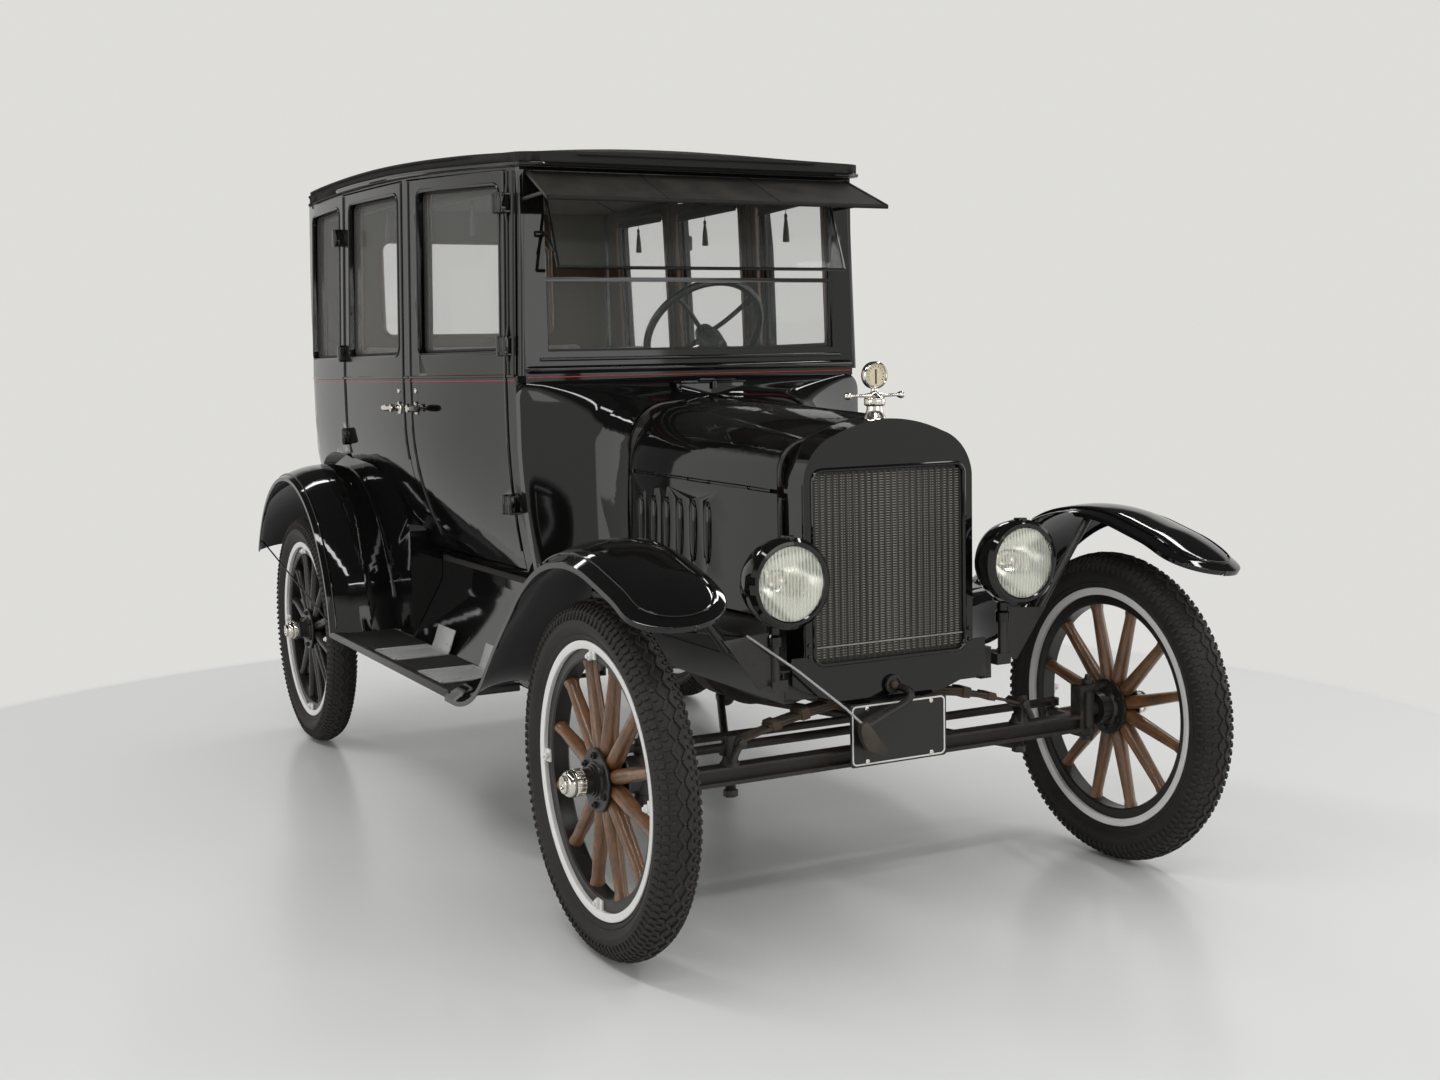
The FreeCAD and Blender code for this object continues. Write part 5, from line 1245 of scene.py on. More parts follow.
@dataclass
class RunningGear:
    """Axles, springs, frame, engine and steering linkage."""

    garage: Garage
    leaf: float = 0.0065
    half_width: float = 0.022
    axle_y: float = -1.300
    kingpin_x: float = 0.625
    perch_x: float = 0.4063

    def build(self) -> None:
        """Dress the chassis parts."""
        for spring in SPRINGS:
            self.spring(spring)
        finishes = {
            "frame": BLACK_CHASSIS, "engine": ENGINE_GREY, "exhaust": RUSTY,
            "steering_column": BLACK_CHASSIS
        }
        for node in ("front_axle", "rear_axle", "frame", "engine", "exhaust", "knuckle_left", "knuckle_right",
                     "tie_rod", "drag_link", "pitman_arm", "steering_column"):
            self.garage.carry(node, finishes.get(node, GRIME))
        self.axle_fittings()
        self.shackles()

    def spring(self, spring: LeafSpring) -> None:
        """Model one transverse spring leaf by leaf.

        Args:
            spring: its sizes.
        """
        y, half, top_z, wide = spring.y, spring.half, spring.top_z, self.half_width
        rise = top_z - spring.end_z
        radius = (half * half + rise * rise) / (2 * rise)
        middle = top_z - radius
        pieces = []
        for i in range(spring.leaves):
            span = half - spring.step * i
            low, high = radius + self.leaf * i + 0.0004, radius + self.leaf * (i + 1) - 0.0004
            xs = [span * (1 - 2 * k / 28) for k in range(29)]
            outline = [(x, y - wide, middle + math.sqrt(low * low - x * x)) for x in xs]
            outline += [(x, y - wide, middle + math.sqrt(high * high - x * x)) for x in reversed(xs)]
            pieces.append(plate("leaf", outline, (0, 2 * wide, 0), 0.0010))
        for side in Side:
            for i in (1, 2):
                x = side.value * (half - spring.step * i - 0.015)
                r = radius + self.leaf * (i + 1)
                z = middle + math.sqrt(r * r - x * x)
                low = (-0.011, -wide - 0.0035, -self.leaf * (i + 1) - 0.003)
                clip = slab("clip", low, (0.011, wide + 0.0035, 0.0035), 0.0015)
                lean = Matrix.Rotation(math.atan2(x, z - middle), 4, "Y")
                clip.data.transform(Matrix.Translation((x, y, z)) @ lean)
                pieces.append(clip)
        top = top_z + spring.leaves * self.leaf
        for x in (-0.052, 0.052):
            low, high = (x - 0.008, y - wide - 0.007, top_z - 0.016), (
                x + 0.008, y + wide + 0.007, top + 0.010
            )
            pieces.append(slab("clamp", low, high, 0.003))
            for nut_y in (y - 0.016, y + 0.016):
                ends = ((x, nut_y, top_z - 0.028), (x, nut_y, top_z - 0.012))
                pieces.append(rod("nut", *ends, 0.009, sides=6, bevel=0.001))
        self.garage.place(joined(spring.name, pieces), RUSTY, "car", spring.taken)

    def shackles(self) -> None:
        """Links between the spring eyes and the axle perches."""
        pieces = []
        for spring in SPRINGS:
            y, z = spring.y, spring.end_z + 0.004
            for side in Side:
                x = side.value * (spring.half + 0.004)
                pieces.append(rod("eye", (x, y - 0.025, z), (x, y + 0.025, z), 0.0125, bevel=0.001))
                for s in (-1, 1):
                    line = [
                        (x, y + s * 0.028, z + 0.002),
                        (x + side.value * 0.022, y + s * 0.028, spring.perch_z)
                    ]
                    pieces.append(tube("link", line, 0.0075))
                    ends = ((x, y + s * 0.026, z), (x, y + s * 0.037, z))
                    pieces.append(rod("nut", *ends, 0.0115, sides=6, bevel=0.001))
        self.garage.place(joined("spring_shackles", pieces), GRIME, "car")

    def axle_fittings(self) -> None:
        """Nuts, pins and greasers on the front axle."""
        pieces = []
        for side in Side:
            pin, perch = side.value * self.kingpin_x, side.value * self.perch_x
            for name, x, z0, z1, radius, end, sides, bevel in (
                    ("kingpin_nut", pin, 0.4605, 0.474, 0.0165, None, 6, 0.0015),
                    ("kingpin_top", pin, 0.472, 0.486, 0.0085, 0.0065, 16, 0.001),
                    ("kingpin_foot", pin, 0.3165, 0.332, 0.0150, None, 6, 0.0015),
                    ("perch_nut", perch, 0.314, 0.330, 0.0175, None, 6, 0.0015)):
                pieces.append(
                    rod(name, (x, self.axle_y, z0), (x, self.axle_y, z1), radius, end, sides, bevel)
                )
            profile = [
                (0, 0.0004), (0, 0.024), (0.006, 0.024), (0.012, 0.019), (0.024, 0.016), (0.024, 0.0004)
            ]
            pieces.append(lathe("perch_boss", (perch, self.axle_y, 0.385), Z_AXIS, profile, 32))
        self.garage.place(joined("axle_fittings", pieces), GRIME, "car")


# ------------------------------------------------------------------ fenders and boards
def crown_drop(x: float, y: float) -> float:
    """How far a front fender sits below its solid.

    Args:
        x: place across the car.
        y: place along the car.
    Returns:
        The drop, nothing at the running board and at the frame.
    """
    ahead, curl = clamped((-0.80 - y) / 0.30), clamped((-1.545 - y) / 0.17)
    return (0.034 * eased(ahead) + 0.040 * curl ** 1.7) * clamped((abs(x) - 0.40) / 0.17)


@dataclass
class Wings:
    """Front and rear fenders, splash aprons and running boards."""

    garage: Garage
    board_x: tuple[float, float] = (0.590, 0.790)
    board_y: tuple[float, float] = (-0.460, 0.740)
    board_z: tuple[float, float] = (0.438, 0.460)
    step_plates: tuple[float, float] = (-0.250, 0.170)
    ribs: int = 22
    fender_x: tuple[float, float] = (0.577, 0.800)
    fender_y: tuple[float, float] = (-0.464, -1.600)
    tip_reach: float = 0.115
    straight_rows: int = 120
    tip_rows: int = 24

    def build(self) -> None:
        """Dress fenders, aprons and boards."""
        self.garage.carry("rear_fenders", BLACK_GLOSS, 24.0)
        self.garage.carry("splash_aprons", BLACK_GLOSS)
        aprons = self.garage.carry("front_fenders", BLACK_GLOSS, 24.0)
        self.cut_crowns(aprons)
        for vertex in aprons.data.vertices:
            vertex.co.z -= crown_drop(vertex.co.x, vertex.co.y)
        for side in Side:
            self.crown(side)
        self.edge_beads()
        self.boards()

    def cut_crowns(self, fenders: bpy.types.Object) -> None:
        """Keep only the inner aprons of the carried fenders.

        Args:
            fenders: the carried copy.
        """
        vertices = fenders.data.vertices
        for face in fenders.data.polygons:
            face.select = all(abs(vertices[i].co.x) > self.fender_x[0] - 0.0006 for i in face.vertices)
        delete_selected(fenders)

    def plan_row(self, k: int) -> tuple[float, float]:
        """Place along a front fender and half of its width there.

        Args:
            k: the row's number, from the running board to the tip.
        Returns:
            The pair (y, half-width).
        """
        half = (self.fender_x[1] - self.fender_x[0]) / 2 - 0.003
        if k <= self.straight_rows:
            t = k / self.straight_rows
            return self.fender_y[0] + t * (self.fender_y[1] - self.fender_y[0]), half
        a = math.radians(89.0) * (k - self.straight_rows) / self.tip_rows
        return self.fender_y[1] - (self.tip_reach - 0.003) * math.sin(a), half * math.cos(a)

    def inset(self, x: float, y: float) -> float:
        """Tell how far a place lies inside the fender's outline.

        Args:
            x: place across the car.
            y: place along the car.
        Returns:
            The distance, negative outside.
        """
        x0, x1 = self.fender_x
        across = (x - (x0 + x1) / 2) / ((x1 - x0) / 2)
        along = min(0.0, y - self.fender_y[1]) / self.tip_reach
        return (x1 - x0) / 2 * (1 - math.hypot(across, along))

    def top_z(self, side: Side, x: float, y: float) -> float | None:
        """Height of the front fender's top, with its raised field.

        Args:
            side: which fender.
            x: distance from the middle of the car.
            y: place along the car.
        Returns:
            The height, or None outside the fender.
        """
        x0, x1 = self.fender_x
        inside = min(max(x, x0 + 0.002), x1 - 0.0015)
        place = self.garage.hit(("front_fenders",), (side.value * inside, y, 1.3), (0, 0, -1))
        if place is None:
            return None
        step = clamped((self.inset(x, y) - 0.022) / 0.010)
        return place.z - crown_drop(x, y) + 0.0036 * clamped((-1.06 - y) / 0.10) * eased(step)

    def crown(self, side: Side) -> None:
        """Domed front fender with a round tip, turned-down lips and a raised field.

        Args:
            side: which fender.
        """
        columns, rows = 28, self.straight_rows + self.tip_rows + 1
        deselect()
        bpy.ops.mesh.primitive_grid_add(x_subdivisions=columns, y_subdivisions=rows + 1, size=1.0)
        piece = bpy.context.object
        piece.name = f"front_fender_{side.word}"
        middle = sum(self.fender_x) / 2
        across = columns + 1
        heights: list[float] = [0.0] * across
        normal = Z_AXIS
        for k in range(rows):
            y, half = self.plan_row(k)
            line = []
            for i in range(2, columns - 1):
                x = middle + half * math.sin(math.pi / 2 * (2 * (i - 2) / (columns - 4) - 1))
                heights[i] = self.top_z(side, x, y) or heights[i]
                line.append(Vector((side.value * x, y, heights[i])))
            near, far = (self.garage.hit(("front_fenders",), (side.value * middle, v, 1.3), (0, 0, -1))
                         for v in (y + 0.004, max(y - 0.004, self.fender_y[1] - self.tip_reach + 0.001)))
            if near is not None and far is not None and near.y - far.y > 0.003:
                slope = (near.z - far.z + crown_drop(middle, far.y) - crown_drop(middle, near.y)) / (
                    near.y - far.y
                )
                normal = Vector((0, -slope, 1)).normalized()
            inner = 0.0125 if y < -1.300 else 0.0025
            out = side.value * 0.003
            row = [line[0] - X_AXIS * out - normal * inner, line[0] - X_AXIS * out - normal * 0.0022, *line,
                   line[-1] + X_AXIS * out - normal * 0.0022, line[-1] + X_AXIS * out - normal * 0.0145]
            for i, place in enumerate(row):
                piece.data.vertices[k * across + i].co = place
        last = [piece.data.vertices[(rows - 1) * across + i].co.copy() for i in range(across)]
        for extra, (ahead, drop) in enumerate(((0.003, 0.0030), (0.003, 0.0145))):
            for i, place in enumerate(last):
                level = place if 1 < i < across - 2 else last[2 if i < 2 else across - 3]
                piece.data.vertices[(rows + extra) * across + i].co = level - Y_AXIS * ahead - normal * drop
        with editing(piece):
            bpy.ops.mesh.remove_doubles(threshold=WELD)
            bpy.ops.mesh.normals_make_consistent(inside=False)
        if sum(face.normal.z * face.area for face in piece.data.polygons) < 0:
            piece.data.flip_normals()
        apply_modifier(piece, "SOLIDIFY", thickness=0.0026, offset=-1.0)
        self.garage.place(piece, BLACK_GLOSS, "car", (), 50.0)

    def edge_beads(self) -> None:
        """Rolled beads set in from the outer edge of each front fender's crown."""
        x0, x1 = self.fender_x
        depth = 0.027
        plan = [(x1 - depth, -0.50 - 0.011 * k) for k in range(100)]
        reach, half, middle = self.tip_reach - depth, (x1 - x0) / 2 - depth, (x0 + x1) / 2
        for k in range(25):
            a = math.pi * k / 24
            plan.append((middle + half * math.cos(a), self.fender_y[1] - reach * math.sin(a)))
        plan += [(x0 + depth, self.fender_y[1] + 0.011 * k) for k in range(1, 46)]
        pieces = []
        for side in Side:
            heights = [(x, y, self.top_z(side, x, y)) for x, y in plan]
            line = [
                Vector((side.value * x, y, z + 0.0008)) for x, y, z in heights if z is not None and z > 0.47
            ]
            pieces.append(tube("bead", line, 0.0030))
            for y in (-1.150, -1.185):
                z = self.top_z(side, x1 - 0.012, y)
                place = (side.value * (x1 - 0.012), y, (z or 0.9) - 0.001)
                pieces.append(
                    lathe(
                        "rivet", place, Z_AXIS,
                        [(0, 0.0004), (0, 0.0065), (0.003, 0.0055), (0.0048, 0.0030), (0.0052, 0.0004)], 18
                    )
                )
        self.garage.place(joined("front_fender_beads", pieces), BLACK_GLOSS, "car")
        pieces = []
        for side in Side:
            line = []
            for k in range(60):
                a = math.radians(-18 + 216 * k / 59)
                r = 0.530
                centre = Vector((side.value * 0.782, 1.210, 0.402))
                out = Vector((0, math.cos(a), math.sin(a)))
                place = self.garage.hit(("rear_fenders",), centre + out * 0.7, -out)
                if place is not None and (place - centre).length > r - 0.02:
                    line.append(place + out * 0.0008)
            if len(line) > 3:
                pieces.append(tube("bead", line, 0.0032))
        self.garage.place(joined("rear_fender_beads", pieces), BLACK_GLOSS, "car")

    def boards(self) -> None:
        """Ribbed boards with a metal edge, irons, step plates and kick plates."""
        x0, x1 = self.board_x
        y0, y1 = self.board_y
        z0, z1 = self.board_z
        mats, edges, plates, irons = [], [], [], []
        for side in Side:
            flip = side.flip
            base = slab("base", (x0, y0, z0), (x1 - 0.002, y1, z1 - 0.0025), 0.002)
            pitch = (x1 - x0 - 0.024) / self.ribs
            rib = slab(
                "rib", (x0 + 0.008, y0 + 0.004, z1 - 0.003), (x0 + 0.008 + pitch * 0.55, y1 - 0.004, z1),
                0.0010
            )
            ribs = repeated(rib, [Matrix.Translation((pitch * i, 0, 0)) for i in range(self.ribs)], "ribs")
            mat = joined("mat", [base, ribs])
            mat.data.transform(flip)
            edge = joined(
                "edge",
                [
                    slab("lip", (x1 - 0.006, y0, z0 + 0.001), (x1, y1, z1 + 0.001), 0.0016),
                    slab("top", (x1 - 0.016, y0, z1 - 0.001), (x1 - 0.001, y1, z1 + 0.0016), 0.0007),
                    slab("front", (x0, y0 - 0.0015, z0 + 0.002), (x1, y0 + 0.003, z1 + 0.001), 0.001)
                ]
            )
            edge.data.transform(flip)
            iron = slab("iron", (0.2903, -0.016, z0 - 0.008), (x1 - 0.040, 0.016, z0), 0.002)
            strap = slab("strap", (0.2903, -0.016, z0 - 0.008), (0.300, 0.016, 0.570), 0.002)
            arms = repeated(
                joined("iron", [iron, strap]),
                [flip @ Matrix.Translation((0, y, 0)) for y in (-0.330, 0.560)], "irons"
            )
            mats.append(mat)
            edges.append(edge)
            irons.append(arms)
            for y in self.step_plates:
                step = self.step_plate(y)
                step.data.transform(flip)
                plates.append(step)
            if side is Side.RIGHT:
                for piece in (mat, edge, *plates[-2:]):
                    piece.data.flip_normals()
        self.garage.place(joined("running_board_mats", mats), BOARD_MAT, "car", ("running_boards",))
        self.garage.place(joined("running_board_edges", edges), BLACK_CHASSIS, "car")
        self.garage.place(joined("running_board_irons", irons), BLACK_CHASSIS, "car")
        self.garage.place(joined("step_plates", plates), ALUMINIUM, "car")

    def step_plate(self, y: float) -> bpy.types.Object:
        """Make a cast step plate with rim, cross ribs and bare middle, and its kick plate.

        Args:
            y: its middle along the car.
        Returns:
            The piece.
        """
        x0, x1 = self.board_x
        z = self.board_z[1]
        left, right = x0 + 0.018, x1 - 0.018
        pieces = [slab("plate", (left, y - 0.105, z - 0.0005), (right, y + 0.105, z + 0.0022), 0.001)]
        for a, b in (
            ((left, y - 0.105), (right, y - 0.100)), ((left, y + 0.100), (right, y + 0.105)),
            ((left, y - 0.105), (left + 0.005, y + 0.105)), ((right - 0.005, y - 0.105), (right, y + 0.105))
        ):
            pieces.append(slab("rim", (*a, z), (*b, z + 0.0042), 0.0008))
        rib = slab("rib", (x0 + 0.030, y - 0.094, z + 0.001), (x1 - 0.030, y - 0.0915, z + 0.0038), 0.0006, 1)
        places = [0.0083 * i for i in range(5)] + [0.1455 + 0.0083 * i for i in range(5)]
        pieces.append(repeated(rib, [Matrix.Translation((0, shift, 0)) for shift in places], "ribs"))
        outline = ((0.0165, -0.001), (0.0115, 0.006), (0.0045, 0.022), (-0.0105, 0.066), (-0.0130, 0.0655),
                   (0.0015, 0.021), (0.0080, 0.003), (0.0110, -0.001))
        kick = plate("kick", [(x0 + x, y - 0.078, z + rise) for x, rise in outline], (0, 0.156, 0), 0.0005)
        return joined("step", pieces + [kick])


# ------------------------------------------------------------------ front of the car
@dataclass
class Radiator:
    """Shell, tube-and-fin core, cap with its dial, and the starting crank."""

    garage: Garage
    core_half: float = 0.208
    core_z: tuple[float, float] = (0.600, 1.046)
    face_y: float = -1.350
    tubes: int = 26
    fins: int = 74
    cap_y: float = -1.290
    top_z: float = 1.157

    def build(self) -> None:
        """Dress the shell and build the core, the cap and the crank."""
        self.garage.carry("radiator_shell", BLACK_GLOSS, 26.0)
        self.core()
        self.shell_trim()
        self.cap()
        self.crank()

    def core(self) -> None:
        """Carried core, level fins and the upright tubes in front of them."""
        self.garage.carry("radiator_core", CORE)
        h, (z0, z1), y = self.core_half, self.core_z, self.face_y
        pitch = 2 * (h + 0.004) / self.tubes
        first = -h - 0.004 + pitch / 2
        pipe = rod("pipe", (first, y + 0.0095, z0 - 0.002), (first, y + 0.0095, z1 + 0.004), 0.0017, sides=8)
        places = [Matrix.Translation((pitch * i, 0, 0)) for i in range(self.tubes)]
        self.garage.place(repeated(pipe, places, "core_tubes"), TUBES, "car")
        # The fins are painted pale as a highlight for the light on their edges; the tubes and the core stay
        # dark.
        step = (z1 - z0) / self.fins
        fin = slab(
            "fin", (-h - 0.004, y + 0.009, z0 + step / 2 - 0.0009),
            (h + 0.004, y + 0.024, z0 + step / 2 + 0.0009)
        )
        places = [Matrix.Translation((0, 0, step * i)) for i in range(self.fins)]
        self.garage.place(repeated(fin, places, "core_fins"), FINS, "car")

    def shell_trim(self) -> None:
        """Rolled bead round the core's window, side seams, bolts and the hold-down rod."""
        h, (z0, z1), y = self.core_half, self.core_z, self.face_y
        line = [(x, y - 0.0005, z) for x, z in rounded((-h, z0), (h, z1), 0.024, 6)]
        pieces = [tube("window_bead", line, 0.0052, closed=True)]
        for side in Side:
            for z in (0.622, 0.648):
                pieces.append(
                    rod(
                        "bolt", (side.value * 0.222, y - 0.004, z), (side.value * 0.222, y + 0.002, z),
                        0.0055, sides=6, bevel=0.001
                    )
                )
            pieces.append(
                tube(
                    "seam",
                    [(side.value * 0.2315, y + 0.006, 0.602), (side.value * 0.2315, y + 0.006, 1.015)],
                    0.0022
                )
            )
        self.garage.place(joined("radiator_beads", pieces), BLACK_GLOSS, "car")
        # The hold-down rod takes the fins' pale colour, painted highlight included.
        stay = rod(
            "core_rod", (-h + 0.004, y + 0.004, z0 + 0.040), (h - 0.004, y + 0.004, z0 + 0.040), 0.0018,
            sides=10
        )
        self.garage.place(stay, FINS, "car")

    def cap(self) -> None:
        """Filler neck, winged cap and the round dial on it."""
        y, t = self.cap_y, self.top_z
        profile = [
            (-0.006, 0.0004), (-0.006, 0.028), (0.004, 0.0255), (0.011, 0.0215), (0.020, 0.0195),
            (0.027, 0.0190), (0.029, 0.0235), (0.031, 0.0255), (0.044, 0.0255), (0.047, 0.0235),
            (0.051, 0.0150), (0.056, 0.0115), (0.060, 0.0095), (0.070, 0.0080), (0.076, 0.0090),
            (0.076, 0.0004)
        ]
        neck = lathe("neck", (0, y, t), Z_AXIS, profile, 56)
        wing_z = t + 0.052
        pieces = [neck]
        for side in Side:
            s = side.value
            arm = lathe(
                "wing", (0, y, wing_z), Vector((s, 0, 0)),
                [
                    (0.0, 0.0004), (0.0, 0.0085), (0.016, 0.0062), (0.030, 0.0040), (0.058, 0.0032),
                    (0.062, 0.0045), (0.0655, 0.0062), (0.069, 0.0080), (0.0735, 0.0086), (0.078, 0.0078),
                    (0.0812, 0.0050), (0.0822, 0.0004)
                ],
                28
            )
            pieces.append(arm)
        ribs = rod("knurl", (0.0245, y, t + 0.032), (0.0245, y, t + 0.043), 0.0014, sides=6)
        middle = Matrix.Translation((0, y, 0))
        turns = [
            middle @ Matrix.Rotation(math.radians(15 * i), 4, "Z") @ middle.inverted() for i in range(24)
        ]
        pieces.append(repeated(ribs, turns, "knurls"))
        dial_z = t + 0.099
        ring = lathe(
            "dial_ring", (0, y, dial_z), Y_AXIS,
            [
                (-0.009, 0.0265), (-0.0105, 0.0285), (-0.009, 0.0312), (-0.004, 0.0322), (0.004, 0.0322),
                (0.009, 0.0312), (0.0105, 0.0285), (0.009, 0.0265), (0.0062, 0.026), (-0.0062, 0.026)
            ],
            64
        )
        pieces.append(ring)
        self.garage.place(joined("radiator_cap_metal", pieces), NICKEL, "car", ("radiator_cap",), 50.0)
        face = lathe(
            "dial_face", (0, y, dial_z), Y_AXIS,
            [(-0.0058, 0.0004), (-0.0058, 0.0275), (0.0058, 0.0275), (0.0058, 0.0004)], 48
        )
        self.garage.place(face, DIAL_FACE, "car")
        mark = rod(
            "mark", (0, y - 0.0064, dial_z + 0.0185), (0, y - 0.0064, dial_z + 0.0225), 0.0006, sides=6
        )
        middle = Matrix.Translation((0, y, dial_z))
        turns = [
            middle @ Matrix.Rotation(math.radians(a), 4, "Y") @ middle.inverted()
            for a in range(-120, 121, 20)
        ]
        marks = [repeated(mark, turns, "marks")]
        marks.append(
            slab(
                "stem", (-0.0022, y - 0.0066, dial_z - 0.020), (0.0022, y - 0.0060, dial_z + 0.014), 0.0002
            )
        )
        self.garage.place(joined("dial_marks", marks), DIAL_INK, "car")

    def crank(self) -> None:
        """Starting crank with its swept arm, sling and hanger rod."""
        y, z = -1.398, 0.536
        shaft = lathe(
            "shaft", (0, 0, z), Vector((0, -1, 0)),
            [
                (1.262, 0.0004), (1.262, 0.011), (1.352, 0.011), (1.3525, 0.0225), (1.358, 0.0235),
                (1.361, 0.0225), (1.361, 0.0165), (1.357, 0.0155), (1.357, 0.0004)
            ],
            32
        )
        arm = tube(
            "arm",
            [
                (0.010, -1.354, z - 0.004), (0.020, y + 0.012, z - 0.008), (0.024, y, z - 0.020),
                (0.004, y - 0.003, z - 0.036), (-0.052, y - 0.007, 0.482), (-0.098, y - 0.010, 0.463),
                (-0.120, y - 0.010, 0.457)
            ],
            0.0092, curved=True
        )
        nut = rod("crank_nut", (0, -1.356, z), (0, -1.366, z), 0.0100, sides=6, bevel=0.001)
        self.garage.place(nut, RUSTY, "car")
        self.garage.place(joined("starting_crank", [shaft, arm]), BLACK_CHASSIS, "car", ("crank_handle",))
        outline = (
            (-0.131, 0.452), (-0.126, 0.468), (-0.112, 0.472), (-0.088, 0.441), (-0.060, 0.405),
            (-0.057, 0.394), (-0.064, 0.387), (-0.086, 0.393), (-0.110, 0.404), (-0.124, 0.425)
        )
        sling = plate("sling", [(x, y - 0.0215, height) for x, height in outline], (0, 0.018, 0), 0.003)
        self.garage.place(sling, LEATHER, "car")
        hanger = tube(
            "crank_hanger",
            [
                (-0.120, y - 0.010, 0.466), (-0.160, y - 0.006, 0.505), (-0.270, -1.378, 0.600),
                (-0.372, -1.362, 0.676), (-0.388, -1.358, 0.688)
            ],
            0.0030
        )
        self.garage.place(hanger, ALUMINIUM, "car")


@dataclass
class Headlamps:
    """Drum headlamps with fluted lenses, bulbs and reflectors on their brackets."""

    garage: Garage
    x: float = 0.317
    y: float = -1.430
    z: float = 0.807
    lens_r: float = 0.0885
    flutes: int = 22

    def build(self) -> None:
        """Build both lamps and dress their brackets."""
        irons = self.garage.carry("headlamps", BLACK_CHASSIS)
        self.cut_drums(irons)
        for vertex in irons.data.vertices:
            vertex.co.z -= crown_drop(vertex.co.x, vertex.co.y)
        parts = (
            ("drum", self.drum(), BLACK_GLOSS), ("reflector", self.reflector(), REFLECTOR),
            ("lens", self.lens(), LENS), ("bulb", self.bulb(), NICKEL)
        )
        for word, master, finish in parts:
            for side in Side:
                place = Matrix.Translation((side.value * self.x, self.y, self.z)) @ side.flip
                piece = copy_of(master, f"lamp_{word}_{side.word}", place)
                self.garage.place(
                    piece, finish, "car",
                    ("headlamp_lenses",) if word == "lens" and side is Side.LEFT else ()
                )
            bpy.data.objects.remove(master)

    def cut_drums(self, irons: bpy.types.Object) -> None:
        """Take the plain drums off the carried brackets.

        Args:
            irons: the carried copy.
        """
        for face in irons.data.polygons:
            c = face.center
            round_lamp = math.hypot(abs(c.x) - self.x, c.z - self.z) < 0.1045
            near = round_lamp and self.y - 0.02 < c.y < self.y + 0.112
            face.select = near and c.z > 0.700
        delete_selected(irons)

    def drum(self) -> bpy.types.Object:
        """Make the pressed drum with its hinged rim.

        Returns:
            The piece.
        """
        out = [
            (-0.0105, 0.0830), (-0.0125, 0.0860), (-0.0115, 0.0935), (-0.003, 0.1020), (0.006, 0.1030),
            (0.018, 0.1028), (0.0205, 0.1005), (0.0215, 0.0965), (0.048, 0.0958), (0.064, 0.0905),
            (0.080, 0.0760), (0.092, 0.0560), (0.100, 0.0360), (0.1050, 0.0160), (0.1060, 0.0004)
        ]
        back = [
            (0.1035, 0.0004), (0.1025, 0.0160), (0.0975, 0.0350), (0.0895, 0.0545), (0.0775, 0.0740),
            (0.0620, 0.0880), (0.046, 0.0932), (0.004, 0.0935), (0.002, 0.0885)
        ]
        shell = lathe("drum", (0, 0, 0), Y_AXIS, out + back, 72)
        catch = joined(
            "catch",
            [
                slab("catch", (-0.012, -0.006, 0.099), (0.012, 0.016, 0.1065), 0.002),
                rod("screw", (0, -0.010, 0.100), (0, -0.004, 0.100), 0.005, sides=12, bevel=0.001)
            ]
        )
        base = lathe(
            "foot", (0, 0.075, 0), Z_AXIS,
            [
                (-0.150, 0.0004), (-0.150, 0.018), (-0.128, 0.0185), (-0.122, 0.014), (-0.104, 0.0135),
                (-0.098, 0.024), (-0.086, 0.028), (-0.086, 0.0004)
            ],
            28
        )
        return joined("drum_master", [shell, catch, base])

    def reflector(self) -> bpy.types.Object:
        """Silvered bowl.

        Returns:
            The piece.
        """
        bowl = [
            (0.090 * (1 - (r / 0.088) ** 2) + 0.004, r)
            for r in (0.0004, 0.012, 0.024, 0.036, 0.048, 0.060, 0.072, 0.082, 0.0880)
        ]
        return lathe(
            "reflector_master", (0, 0, 0), Y_AXIS, bowl + [(a + 0.0012, r) for a, r in reversed(bowl)], 56
        )

    def lens(self) -> bpy.types.Object:
        """Make the moulded glass with upright flutes over its face.

        Returns:
            The piece.
        """
        deselect()
        bpy.ops.mesh.primitive_grid_add(
            x_subdivisions=self.flutes * 8, y_subdivisions=24, size=2 * self.lens_r
        )
        piece = bpy.context.object
        piece.name = "lens_master"
        r = self.lens_r
        for vertex in piece.data.vertices:
            u, v = vertex.co.x / r, vertex.co.y / r
            x, z = u * math.sqrt(max(0.0, 1 - v * v / 2)), v * math.sqrt(max(0.0, 1 - u * u / 2))
            fade = min(1.0, (1.0 - math.hypot(x, z)) / 0.14)
            flute = abs(math.sin(x * self.flutes * math.pi / 2)) * 0.0022 * max(0.0, fade) * (
                0.35 if abs(z) > 0.62 else 1.0
            )
            vertex.co = (x * r, -0.0045 - 0.0055 * (1 - x * x - z * z) - flute, z * r)
        with editing(piece):
            bpy.ops.mesh.normals_make_consistent(inside=False)
        if piece.data.polygons[len(piece.data.polygons) // 2].normal.y > 0:
            piece.data.flip_normals()
        return apply_modifier(piece, "SOLIDIFY", thickness=0.003, offset=-1.0)

    def bulb(self) -> bpy.types.Object:
        """Bulb on its holder.

        Returns:
            The piece.
        """
        return lathe(
            "bulb_master", (0, 0, 0), Y_AXIS,
            [
                (0.094, 0.0004), (0.094, 0.012), (0.070, 0.012), (0.066, 0.0095), (0.060, 0.011),
                (0.050, 0.0150), (0.040, 0.0150), (0.031, 0.0100), (0.028, 0.0004)
            ],
            28
        )


